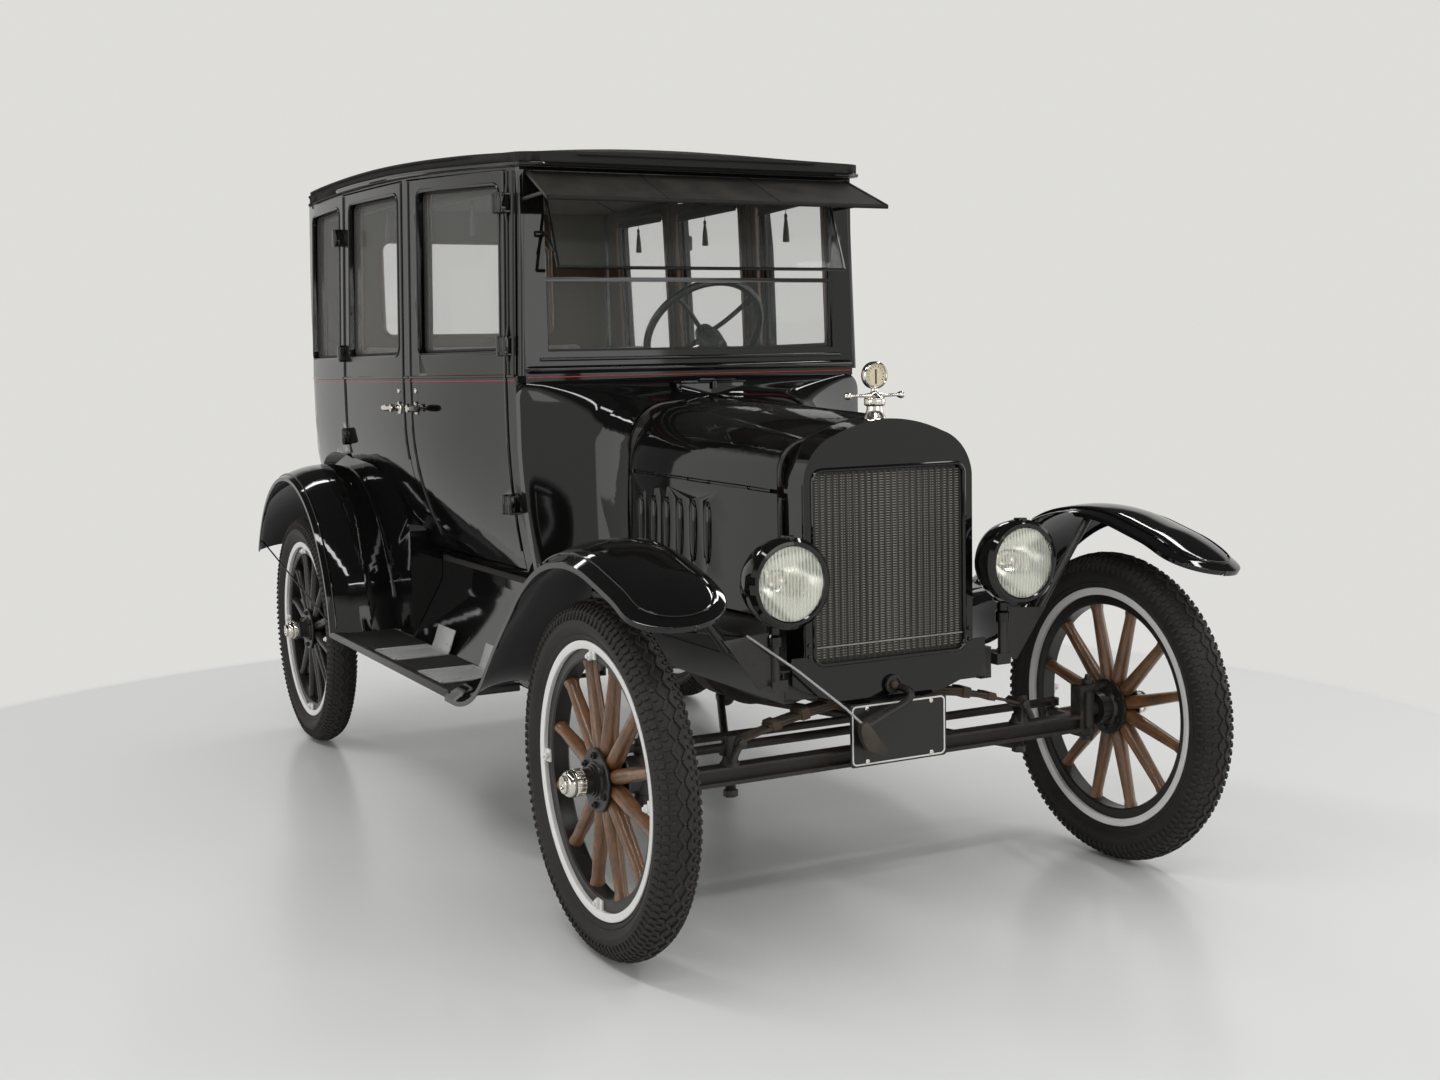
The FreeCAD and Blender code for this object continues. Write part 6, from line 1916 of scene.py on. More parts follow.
@dataclass
class NumberPlate:
    """Blank enamelled plate with a painted border, held by bolts."""

    garage: Garage
    y: float = -1.378
    half: float = 0.133
    z: tuple[float, float] = (0.357, 0.505)
    border: float = 0.0036

    def build(self) -> None:
        """Dress the plate and lay the border and the bolts on it."""
        self.garage.carry("number_plate", PLATE_BLACK)
        piece = outline_ring("plate_border", self.ring(0.0040, 0.012), True)
        with editing(piece):
            bpy.ops.mesh.inset(thickness=self.border)
            bpy.ops.mesh.delete(type="FACE")
        apply_modifier(piece, "SOLIDIFY", thickness=0.0012, offset=0.0)
        self.garage.place(piece, WHITE_ENAMEL, "car")
        mid = sum(self.z) / 2
        bolts = [
            rod(
                "bolt", (x, self.y - 0.0035, mid + z), (x, self.y + 0.004, mid + z), 0.0058, sides=14,
                bevel=0.0012
            )
            for x in (-0.089, 0.089) for z in (-0.062, 0.062)
        ]
        self.garage.place(joined("plate_bolts", bolts), NICKEL, "car")

    def ring(self, inset: float, corner: float) -> list[tuple[float, float, float]]:
        """Rounded rectangle set in from the plate's edge.

        Args:
            inset: how far in it lies.
            corner: radius of its corners.
        Returns:
            Its points in order.
        """
        low, high = (inset - self.half, self.z[0] + inset), (self.half - inset, self.z[1] - inset)
        return [(x, self.y - 0.0004, z) for x, z in rounded(low, high, corner, 5)]


# ------------------------------------------------------------------ hood and cowl
@dataclass
class HoodAndCowl:
    """Hinged hood with pressed louvres, and the flared cowl behind it."""

    garage: Garage
    louvres: int = 6
    pitch: float = 0.068
    first_y: float = -0.600
    louvre_z: tuple[float, float] = (0.800, 0.955)
    flare_y: tuple[float, float] = (-0.540, -0.377)
    corner_half: float = 0.531

    def build(self) -> None:
        """Dress the hood panels and the cowl."""
        for side in Side:
            self.garage.carry(f"hood_top_{side.word}", BLACK_GLOSS, 26.0)
            panel = self.garage.carry(f"hood_side_{side.word}", BLACK_GLOSS, 26.0)
            self.cut_ridges(panel, side)
            self.louvre_row(side)
            backing = plate("backing", [(side.value * (self.wall_x(y, z) - 0.0012), y, z) for y, z in
                                        ((-0.985, 0.790), (-0.565, 0.790), (-0.565, 0.965), (-0.985, 0.965))],
                            (-side.value * 0.0012, 0, 0), 0.0002)
            self.garage.place(backing, BLACK_GLOSS, f"hood_side_{side.word}")
        self.garage.carry("cowl", BLACK_GLOSS, 26.0)
        self.flare()
        self.lacing()
        vent = slab("vent_lid", (-0.100, -0.477, 1.2375), (0.100, -0.388, 1.2455), 0.003)
        lever = [slab("vent_handle", (-0.048, -0.488, 1.243), (0.062, -0.472, 1.251), 0.0035)]
        lever.append(rod("vent_pin", (0.0, -0.480, 1.225), (0.0, -0.480, 1.247), 0.006, sides=14))
        self.garage.place(joined("cowl_vent", [vent] + lever), BLACK_GLOSS, "car")

    def flare(self) -> None:
        """Skin of the cowl, swept out to the cabin's front corners."""
        rows, across = 40, 61
        deselect()
        bpy.ops.mesh.primitive_grid_add(x_subdivisions=across - 1, y_subdivisions=rows - 1, size=1.0)
        piece = bpy.context.object
        piece.name = "cowl_skin"
        for row in range(rows):
            y = self.flare_y[0] - 0.0005 + (-0.3450 - self.flare_y[0]) * row / (rows - 1)
            half = self.section(y)
            line = [Vector((-x, y, z)) for x, z in half] + [Vector((x, y, z)) for x, z in reversed(half[:-1])]
            for i, place in enumerate(line):
                piece.data.vertices[row * across + i].co = place
        self.garage.place(piece, BLACK_GLOSS, "car", (), 60.0)

    def section(self, y: float) -> list[tuple[float, float]]:
        """Half outline of the cowl's skin.

        Args:
            y: place along the car.
        Returns:
            Pairs (distance from the middle, height) from the foot to the crest.
        """
        t = clamped((y - self.flare_y[0]) / (self.flare_y[1] - self.flare_y[0]))
        back = y - self.flare_y[0]
        wide = max(
            0.2915 + (self.corner_half - 0.2915) * t ** 2.6,
            0.292 + 0.6111 * back + 5.85 * back * (back - 0.09)
        )
        wide = min(wide, self.corner_half)
        crest = 1.2010 + 0.0585 * t ** 2.2
        round_off = 0.118 - 0.078 * t ** 3
        foot = 0.2975 + 0.1920 * t ** 1.6
        knee, brow = 1.100 - 0.2 * round_off, crest - round_off - 0.014
        line = []
        for k in range(16):
            z = 0.712 + (knee - 0.712) * k / 15
            level = (z - 0.712) / (knee - 0.712)
            line.append((foot + (wide - foot) * (1 - (1 - level) ** 1.7), z))
        for k in range(13):
            a = math.pi / 2 * k / 12
            line.append((wide - round_off * (1 - math.cos(a)), brow + (round_off + 0.008) * math.sin(a)))
        return line + [((wide - round_off) * (1 - k / 2), crest - 0.006 + 0.003 * k) for k in (1, 2)]

    def lacing(self) -> None:
        """Webbing cords under the hood's front and rear edges."""
        cords = []
        for y, edge, radius in ((-1.2580, -1.2500, 0.0062), (-0.5440, -0.5520, 0.0050)):
            line = []
            for k in range(73):
                a = math.radians(-35 + 250 * k / 72)
                out = Vector((math.cos(a), 0, math.sin(a)))
                place = self.garage.hit(
                    ("hood_top_left", "hood_top_right", "hood_side_left", "hood_side_right"),
                    Vector((0, edge, 0.92)) + out * 0.8, -out
                )
                if place is not None and place.z > 0.72 and abs(place.x) > 0.012:
                    line.append(Vector((place.x, y, place.z)) - out * (radius + 0.0008))
            if len(line) > 8:
                cords.append(tube("cord", line, radius, sides=4))
        self.garage.place(joined("hood_lacing", cords), BLACK_CHASSIS, "car", (), 50.0)

    def wall_x(self, y: float, z: float) -> float:
        """Tell how far out the hood's side lies at a place.

        Args:
            y: place along the car.
            z: height.
        Returns:
            The distance from the middle of the car.
        """
        t = (y + 1.255) / 0.707
        hinge = 0.246 + t * 0.043
        foot = 0.246 + t * 0.050
        top = 0.990 + t * 0.018
        return foot + (hinge - foot) * (z - 0.700) / (top - 0.700)

    def cut_ridges(self, panel: bpy.types.Object, side: Side) -> None:
        """Take the plain ridges off a carried side panel.

        Args:
            panel: the carried copy.
            side: which side it is on.
        """
        for face in panel.data.polygons:
            c = face.center
            outside = side.value * c.x > self.wall_x(c.y, c.z) + 0.0006
            near = self.louvre_z[0] - 0.002 < c.z < self.louvre_z[1] + 0.002 and -0.98 < c.y < -0.57
            face.select = outside and near
        delete_selected(panel)

    def louvre_row(self, side: Side) -> None:
        """Add the pressed louvres, each a long half drop, with a dark slab under its rear edge as painted
        shade for the opening there.

        Args:
            side: which side they are on.
        """
        z0, z1 = self.louvre_z
        hoods, opening_shades = [], []
        for i in range(self.louvres):
            y = self.first_y - i * self.pitch
            x = self.wall_x(y, (z0 + z1) / 2)
            deselect()
            bpy.ops.mesh.primitive_uv_sphere_add(segments=24, ring_count=14, radius=1.0)
            drop = bpy.context.object
            height = (z1 - z0) / 2
            for vertex in drop.data.vertices:
                c = vertex.co
                level = math.copysign(abs(c.z) ** 0.8, c.z)
                wide = math.sqrt(max(0.0, 1 - abs(level) ** 4))
                flat = math.hypot(c.x, c.y)
                if flat > 1e-6:
                    c.x, c.y = c.x / flat * wide * min(1.0, flat * 4), c.y / flat * wide * min(1.0, flat * 4)
                back = c.y > 0
                vertex.co = (c.x * 0.0105, c.y * (0.010 if back else 0.017), level * height)
            drop.data.transform(Matrix.Translation((side.value * (x - 0.001), y, (z0 + z1) / 2)))
            hoods.append(drop)
            # Dark slab under the louvre's rear lip, in the rubber finish: painted shade for the opening into
            # the hood, not a part of the car.
            slot = slab(
                "slot", (side.value * (x + 0.004) - 0.0032, y + 0.006, z0 + 0.014),
                (side.value * (x + 0.004) + 0.0032, y + 0.0105, z1 - 0.014), 0.0012
            )
            opening_shades.append(slot)
        self.garage.place(
            joined(f"louvres_{side.word}", hoods), BLACK_GLOSS, f"hood_side_{side.word}", (), 50.0
        )
        self.garage.place(joined(f"louvre_slots_{side.word}", opening_shades), RUBBER, f"hood_side_{side.word}")


# ------------------------------------------------------------------ cabin
def roof_edge_z(y: float) -> float:
    """Height of the roof's underside, on the curve through its three stations.

    Args:
        y: place along the car.
    Returns:
        The height.
    """
    (y0, z0), (y1, z1), (y2, z2) = (-0.425, 1.816), (0.326, 1.861), (1.585, 1.876)
    a = (y - y1) * (y - y2) / ((y0 - y1) * (y0 - y2))
    b = (y - y0) * (y - y2) / ((y1 - y0) * (y1 - y2))
    c = (y - y0) * (y - y1) / ((y2 - y0) * (y2 - y1))
    return z0 * a + z1 * b + z2 * c


@dataclass(frozen=True)
class Window:
    """One side window: its node wall, its span and the body that carries it."""

    wall: str
    y: tuple[float, float]
    label: str


WINDOWS = (
    Window("door_front_{}", (-0.252, 0.250), "front"), Window("door_rear_{}", (0.410, 0.895), "rear"),
    Window("rear_body", (1.020, 1.400), "quarter")
)


@dataclass(frozen=True)
class DoorPlan:
    """Where one pair of doors hinges, shuts and is held.

    pin_y and hinge_z place its three hinges, inward is the way from the pin to the door and post the
    node that carries it. edges_y are its two edges and foot_z the lowest point of its strips. boss_y
    is the handle's middle, lever_y the span of the plain lever that it replaces and lever_way the way
    the lever points. pane_edge_y is the window's rear edge in the solid and pane_shift how far back it
    goes.
    """

    pin_y: float
    hinge_z: tuple[float, float, float]
    inward: int
    post: str
    edges_y: tuple[float, float]
    foot_z: float
    boss_y: float
    lever_y: tuple[float, float]
    lever_way: int
    black_grip: bool
    pane_edge_y: float
    pane_shift: float


DOORS = {
    "front": DoorPlan(
        pin_y=-0.2935, hinge_z=(0.920, 1.350, 1.730), inward=1, post="door_posts",
        edges_y=(-0.2845, 0.3155), foot_z=0.790, boss_y=0.279, lever_y=(0.170, 0.300), lever_way=-1,
        black_grip=True, pane_edge_y=0.187, pane_shift=0.063
    ),
    "rear": DoorPlan(
        pin_y=0.9685, hinge_z=(1.075, 1.350, 1.730), inward=-1, post="rear_body",
        edges_y=(0.3745, 0.9600), foot_z=1.020, boss_y=0.411, lever_y=(0.390, 0.520), lever_way=1,
        black_grip=False, pane_edge_y=0.851, pane_shift=0.044
    ),
}


@dataclass
class Cabin:
    """Doors, posts, back panel, belt line, windows and their furniture."""

    garage: Garage
    belt_z: float = 1.265
    sill_z: float = 1.338
    wall: float = 0.038
    handle_z: float = 1.177
    shade_drop: float = 0.020
    hinge_half: float = 0.0275
    strip_gap: float = 0.036
    near_pin: float = 0.012
    gloss_span: float = 0.028

    def build(self) -> None:
        """Dress every wall and add the trim."""
        for side in Side:
            for label in DOORS:
                node = f"door_{label}_{side.word}"
                door = self.garage.carry(node, BLACK_GLOSS, 26.0)
                self.cut_handle(door, side, label)
                self.two_tone(door)
                self.handle(node, side, label)
                pane = self.garage.carry(f"glass_{label}_{side.word}", WINDOW)
                for piece in (door, pane):
                    self.widen(piece, label)
                self.door_strips(node, side, label)
            for window in WINDOWS:
                self.window_trim(window, side)
        for node in ("rear_body", "door_posts"):
            self.two_tone(self.garage.carry(node, BLACK_GLOSS, 26.0))
        glass = self.garage.carry("fixed_glass", WINDOW)
        glass.data.materials.append(SCREEN.material())
        for face in glass.data.polygons:
            face.material_index = 1 if face.center.y < -0.30 else 0
        self.hinges()
        self.front_corners()
        self.belt()
        self.back_light()

    def widen(self, piece: bpy.types.Object, label: str) -> None:
        """Move the rear edge of a window and of its pane back.

        Args:
            piece: the carried door or pane.
            label: which door it belongs to.
        """
        edge, shift = DOORS[label].pane_edge_y, DOORS[label].pane_shift
        near, far = (
            abs(self.garage.hit((f"door_{label}_left",), (1.2, y, 1.310), (-1, 0, 0)).x)
            for y in (edge, edge + shift)
        )
        for vertex in piece.data.vertices:
            c = vertex.co
            if abs(c.y - edge) < 0.033 and self.sill_z - 0.020 < c.z < roof_edge_z(c.y) - 0.030:
                out = far - near
                vertex.co = (c.x + math.copysign(out, c.x), c.y + shift, c.z)

    def door_strips(self, node: str, side: Side, label: str) -> None:
        """Half-round strips down the edges of one door.

        Args:
            node: the door.
            side: which side it is on.
            label: which door it is.
        """
        plan = DOORS[label]
        strips = []
        for y in plan.edges_y:
            foot, head = plan.foot_z, roof_edge_z(y) - 0.014
            zs = [foot + (head - foot) * k / 16 for k in range(17)]
            if abs(y - plan.pin_y) < self.near_pin:
                zs = [z for z in zs if min(abs(z - h) for h in plan.hinge_z) > self.strip_gap]
            line = self.garage.skin_line((node,), side, [(y, z) for z in zs], 0.0004)
            if len(line) > 4:
                strips.append(tube("strip", line, 0.0046))
        self.garage.place(joined(f"door_strips_{label}_{side.word}", strips), BLACK_GLOSS, node)

    def hinges(self) -> None:
        """Round-backed hinge lobes beside every pin, on the doors and on what carries them."""
        for label, plan in DOORS.items():
            for side in Side:
                door = f"door_{label}_{side.word}"
                for node, way in ((door, plan.inward), (plan.post, -plan.inward)):
                    lobes = self.lobes(plan, way, node == plan.post)
                    piece = joined(f"hinges_{label}_{side.word}" + ("" if node == door else "_post"), lobes)
                    if side is Side.RIGHT:
                        piece.data.transform(MIRROR)
                        piece.data.flip_normals()
                    self.garage.place(piece, BLACK_GLOSS, self.garage.body_of(node), (), 40.0)

    def lobes(self, plan: DoorPlan, way: int, fixed: bool) -> list[bpy.types.Object]:
        """Hinge lobes on one side of a pin, drawn on the car's left.

        Args:
            plan: the door's plan.
            way: the way from the pin to the lobes.
            fixed: whether they are on the post, where a ring goes with each.
        Returns:
            The lobes and rings.
        """
        pin, lobes = plan.pin_y, []
        x = self.wall_out(pin, self.belt_z)
        proud = 0.0155 if fixed else 0.0215
        for z in plan.hinge_z:
            y0, y1 = sorted((pin + way * 0.0062, pin + way * 0.0262))
            low, high = z - self.hinge_half, z + self.hinge_half
            lobes.append(slab("lobe", (x - 0.022, y0, low), (x + proud, y1, high), 0.0075, 4))
            if fixed:
                y = pin - plan.inward * 0.0075
                ends = ((x + 0.010, y, z - 0.022), (x + 0.010, y, z + 0.022))
                lobes.append(rod("ring", *ends, 0.0072, sides=20, bevel=0.003))
        return lobes

    def skin_x(self, node: str, side: Side, y: float, z: float) -> float:
        """Half-width of the cabin's skin at a place.

        Args:
            node: the wall's node.
            side: which side.
            y: place along the car.
            z: height.
        Returns:
            The distance from the middle of the car.
        """
        place = self.garage.hit((node,), (side.value * 1.2, y, z), (-side.value, 0, 0))
        wall = self.wall_out(y, z)
        return min(abs(place.x), wall + 0.004) if place is not None and abs(place.x) > wall - 0.02 else wall

    def front_corners(self) -> None:
        """Round mouldings on the cabin's front corners and beside the front doors."""
        strips = []
        for side in Side:
            for y, radius, inset in (
                (-0.366, 0.0115, 0.0085), (-0.3035, 0.0046, 0.0), (-0.3300, 0.0056, 0.001)
            ):
                foot = self.belt_z + 0.004
                head = roof_edge_z(y) - 0.012
                zs = [foot + (head - foot) * k / 16 for k in range(17)]
                line = [
                    Vector((side.value * (self.skin_x("door_posts", side, y, z) - inset), y, z)) for z in zs
                ]
                strips.append(tube("corner", line, radius, sides=5))
        self.garage.place(joined("front_corner_mouldings", strips), BLACK_GLOSS, "car", (), 50.0)

    def two_tone(self, piece: bpy.types.Object) -> None:
        """Satin paint above the belt and cloth on the inside of the walls.

        Args:
            piece: a carried wall or door.
        """
        piece.data.materials.append(BLACK_UPPER.material())
        piece.data.materials.append(HEADLINER.material())
        for face in piece.data.polygons:
            c, n = face.center, face.normal
            facing_in = (abs(n.x) > 0.75 and n.x * c.x < 0) or (
                n.y < -0.75 and c.y > 1.45 and abs(c.x) < 0.58
            )
            off_pins = min(abs(c.y - plan.pin_y) for plan in DOORS.values()) > self.gloss_span
            if facing_in:
                face.material_index = 2
            elif c.z > self.belt_z + 0.002 and abs(n.y) < 0.8 and off_pins:
                face.material_index = 1

    def cut_handle(self, door: bpy.types.Object, side: Side, label: str) -> None:
        """Take the plain lever off a carried door.

        Args:
            door: the carried copy.
            side: which side it is on.
            label: which door it is.
        """
        plan = DOORS[label]
        y0, y1 = plan.lever_y
        skin = self.garage.hit(
            (f"door_{label}_{side.word}",), (side.value * 1.2, sum((y0, y1)) / 2, self.handle_z + 0.06),
            (-side.value, 0, 0)
        )
        limit = abs(skin.x) - 0.002 if skin else 0.6
        for face in door.data.polygons:
            c = face.center
            on_boss = math.hypot(
                c.y - plan.boss_y, c.z - self.handle_z
            ) < 0.0175 and abs(c.x) > limit - 0.006 and abs(face.normal.x) < 0.999
            lever = abs(c.x) > limit + 0.010 and y0 < c.y < y1 and abs(c.z - self.handle_z) < 0.03
            face.select = on_boss and abs(c.x) > limit + 0.0005 or lever
        delete_selected(door)

    def handle(self, node: str, side: Side, label: str) -> None:
        """Add escutcheon, neck and lever of one door, and the lock button above them.

        Args:
            node: the door.
            side: which side it is on.
            label: which door it is.
        """
        plan = DOORS[label]
        y, toward = plan.boss_y, plan.lever_way
        skin = self.garage.hit((node,), (side.value * 1.2, y, self.handle_z + 0.030), (-side.value, 0, 0))
        x, s, z = abs(skin.x), side.value, self.handle_z
        turned = lathe(
            "neck", (s * x, y, z), Vector((s, 0, 0)),
            [
                (-0.004, 0.0004), (-0.004, 0.0205), (0.0025, 0.0205), (0.005, 0.018), (0.007, 0.0115),
                (0.016, 0.0090), (0.021, 0.0105), (0.026, 0.0125), (0.0310, 0.0115), (0.0335, 0.0070),
                (0.0340, 0.0004)
            ],
            36
        )
        shank = lathe(
            "shank", (s * (x + 0.025), y, z), Vector((0, toward, 0)),
            [
                (0.0, 0.0004), (0.0, 0.0080), (0.014, 0.0068), (0.022, 0.0072), (0.030, 0.0080),
                (0.034, 0.0004)
            ],
            24
        )
        lever_profile = [
            (0.030, 0.0004), (0.030, 0.0082), (0.038, 0.0098), (0.060, 0.0108), (0.082, 0.0100),
            (0.0935, 0.0080), (0.0985, 0.0045), (0.0998, 0.0004)
        ]
        grip = lathe("grip", (s * (x + 0.025), y, z), Vector((0, toward, 0)), lever_profile, 24)
        lock = lathe(
            "lock", (s * x, y + toward * 0.002, z + 0.052), Vector((s, 0, 0)),
            [(-0.004, 0.0004), (-0.004, 0.0085), (0.002, 0.0085), (0.0035, 0.0070), (0.0035, 0.0004)], 24
        )
        metal = [turned, shank, lock] + ([] if plan.black_grip else [grip])
        self.garage.place(joined(f"handle_{label}_{side.word}", metal), NICKEL, node)
        if plan.black_grip:
            grip.name = f"handle_grip_{label}_{side.word}"
            self.garage.place(grip, HAND_RUBBER, node)

    def belt(self) -> None:
        """Belt moulding and red pinstripe round the car, cut at every door."""
        runs = (
            ("front", -0.2895, 0.3195, "door_front_{}"), ("rear", 0.3705, 0.9645, "door_rear_{}"),
            ("quarter", 0.9745, 1.425, "rear_body"), ("post", 0.3275, 0.3625, "door_posts"),
            ("fore_post", -0.340, -0.2975, "door_posts")
        )
        for side in Side:
            for label, y0, y1, node in runs:
                node = node.format(side.word)
                ys = [y0 + (y1 - y0) * k / 12 for k in range(13)]
                self.belt_run(
                    f"{label}_{side.word}", self.garage.body_of(node),
                    [
                        self.garage.skin_line((node,), side, [(y, z) for y in ys])
                        for z in (self.belt_z + 0.004, self.belt_z - 0.0085)
                    ]
                )
        back = []
        for z in (self.belt_z + 0.004, self.belt_z - 0.0085):
            line = []
            for k in range(61):
                a = math.radians(12 + 156 * k / 60)
                out = Vector((math.cos(a), math.sin(a), 0))
                place = self.garage.hit(("rear_body",), Vector((0, 1.0, z)) + out * 2.0, -out)
                if place is not None and place.y > 1.415:
                    line.append(place)
            back.append(line)
        self.belt_run("back", "car", back)
        screen = [[Vector((x, -0.3772, self.belt_z - 0.0015)) for x in (-0.506, 0.506)]]
        self.belt_run("screen", "car", screen, False)

    def belt_run(
        self, label: str, body: str, lines: Sequence[Sequence[Vector]], moulded: bool = True
    ) -> None:
        """One stretch of moulding and stripe.

        Args:
            label: word for the pieces' names.
            body: the body that it rides on.
            lines: the moulding's line and the stripe's line, or the stripe's alone.
            moulded: whether there is a moulding.
        """
        if moulded and len(lines[0]) > 1:
            self.garage.place(tube(f"belt_moulding_{label}", lines[0], 0.0045), BLACK_GLOSS, body)
        if len(lines[-1]) > 1:
            self.garage.place(tube(f"pinstripe_{label}", lines[-1], 0.0016), PINSTRIPE, body)

    def window_outline(self, window: Window, grow: float) -> list[tuple[float, float]]:
        """Rounded opening of a window, grown by a margin.

        Args:
            window: the window.
            grow: the margin.
        Returns:
            Pairs (y, z) in order.
        """
        y0, y1 = window.y[0] - grow, window.y[1] + grow
        z0, corner = self.sill_z - grow, 0.026 + grow
        outline = []
        for cy, top, start in (
            (y1 - corner, True, 0), (y0 + corner, True, 90), (y0 + corner, False, 180),
            (y1 - corner, False, 270)
        ):
            for k in range(6):
                a = math.radians(start + 18 * k)
                y = cy + corner * math.cos(a)
                base = roof_edge_z(y) - 0.047 + grow - corner if top else z0 + corner
                outline.append((y, base + corner * math.sin(a)))
        return outline

    def window_trim(self, window: Window, side: Side) -> None:
        """Add bead outside, channel inside, roller blind and tassel of one window.

        Args:
            window: the window.
            side: which side it is on.
        """
        node = window.wall.format(side.word)
        body = self.garage.body_of(node)
        label = f"{window.label}_{side.word}"
        outside = self.garage.skin_line((node,), side, self.window_outline(window, 0.005))
        if len(outside) > 10:
            self.garage.place(tube(f"window_bead_{label}", outside, 0.0034, closed=True), BLACK_UPPER, body)
        middle = [
            Vector((side.value * self.wall_out(y, z) - side.value * self.wall * 0.5, y, z))
            for y, z in self.window_outline(window, -0.004)
        ]
        self.garage.place(tube(f"glass_channel_{label}", middle, 0.0052, closed=True, sides=2), RUBBER, body)
        self.inner_frame(window, side, body, label)
        self.blind(window, side, body, label)

    def wall_out(self, y: float, z: float) -> float:
        """Half-width of the cabin at a place on the upper wall.

        Args:
            y: place along the car.
            z: height.
        Returns:
            The distance from the middle of the car.
        """
        stations = (
            (-0.345, 0.529, 0.511), (-0.291, 0.535, 0.519), (0.326, 0.616, 0.600), (0.971, 0.641, 0.619),
            (1.390, 0.634, 0.611), (1.560, 0.612, 0.588)
        )
        for (ya, ba, ra), (yb, bb, rb) in zip(stations, stations[1:]):
            if y <= yb:
                t = (y - ya) / (yb - ya)
                belt, roof = ba + t * (bb - ba), ra + t * (rb - ra)
                return belt + (roof - belt) * (z - self.belt_z) / (1.861 - self.belt_z)
        return 0.6

    def inner_frame(self, window: Window, side: Side, body: str, label: str) -> None:
        """Add a wooden garnish rail on the inside of a window.

        Args:
            window: its sizes.
            side: which side it is on.
            body: the body that carries it.
            label: the window's name.
        """
        line = [
            Vector((side.value * (self.wall_out(y, z) - self.wall - 0.002), y, z))
            for y, z in self.window_outline(window, 0.012)
        ]
        self.garage.place(tube(f"garnish_{label}", line, 0.0075, closed=True, sides=2), VARNISH, body)

    def blind(self, window: Window, side: Side, body: str, label: str) -> None:
        """Add a rolled blind with its hem bar and tassel.

        Args:
            window: the window.
            side: which side it is on.
            body: the body that carries it.
            label: which window it is.
        """
        y0, y1 = window.y[0] + 0.006, window.y[1] - 0.006
        middle = (y0 + y1) / 2
        s = side.value
        head = min(roof_edge_z(y0), roof_edge_z(y1)) - 0.030

        def inside(y: float, z: float) -> float:
            """Where the blind hangs at y and z."""
            return s * (self.wall_out(y, z) - self.wall - 0.016)
        roll = rod(
            "roll", (inside(y0, head), y0, head), (inside(y1, head), y1, head), 0.0105, sides=20,
            bevel=0.001
        )
        low = head - self.shade_drop - 0.012
        corners = [(inside(y, z) + s * 0.009, y + inset, z) for y, inset, z in
                   ((y0, 0.008, head), (y1, -0.008, head), (y1, -0.008, low), (y0, 0.008, low))]
        cloth = apply_modifier(
            outline_ring(f"blind_{label}", corners, True), "SOLIDIFY", thickness=0.0008, offset=0.0
        )
        hem = rod(
            "hem", (inside(y0, low) + s * 0.009, y0 + 0.006, low),
            (inside(y1, low) + s * 0.009, y1 - 0.006, low), 0.0042, sides=12
        )
        roller = joined(f"blind_roller_{label}", [roll, hem])
        self.garage.place(roller, SHADE_CLOTH, body)
        self.garage.place(cloth, SHADE_CLOTH, body)
        x, top = inside(middle, low) + s * 0.006, low
        tassel = lathe(
            f"tassel_{label}", (x, middle, top), Vector((0, 0, -1)),
            [
                (0.0, 0.0003), (0.0, 0.0010), (0.016, 0.0010), (0.018, 0.0036), (0.023, 0.0055),
                (0.029, 0.0050), (0.032, 0.0036), (0.036, 0.0050), (0.062, 0.0082), (0.102, 0.0108),
                (0.104, 0.0085), (0.104, 0.0003)
            ],
            18
        )
        self.garage.place(tassel, SHADE_CLOTH, body)

    def back_light(self) -> None:
        """Bead round the back window, inside and out."""
        for label, y, radius, finish in (
            ("outer", 1.5600, 0.0042, BLACK_UPPER), ("inner", 1.5205, 0.0075, VARNISH)
        ):
            line = [(x, y, z) for x, z in rounded((-0.334, 1.416), (0.334, 1.764), 0.034, 6)]
            self.garage.place(tube(f"back_light_{label}", line, radius, closed=True), finish, "car")


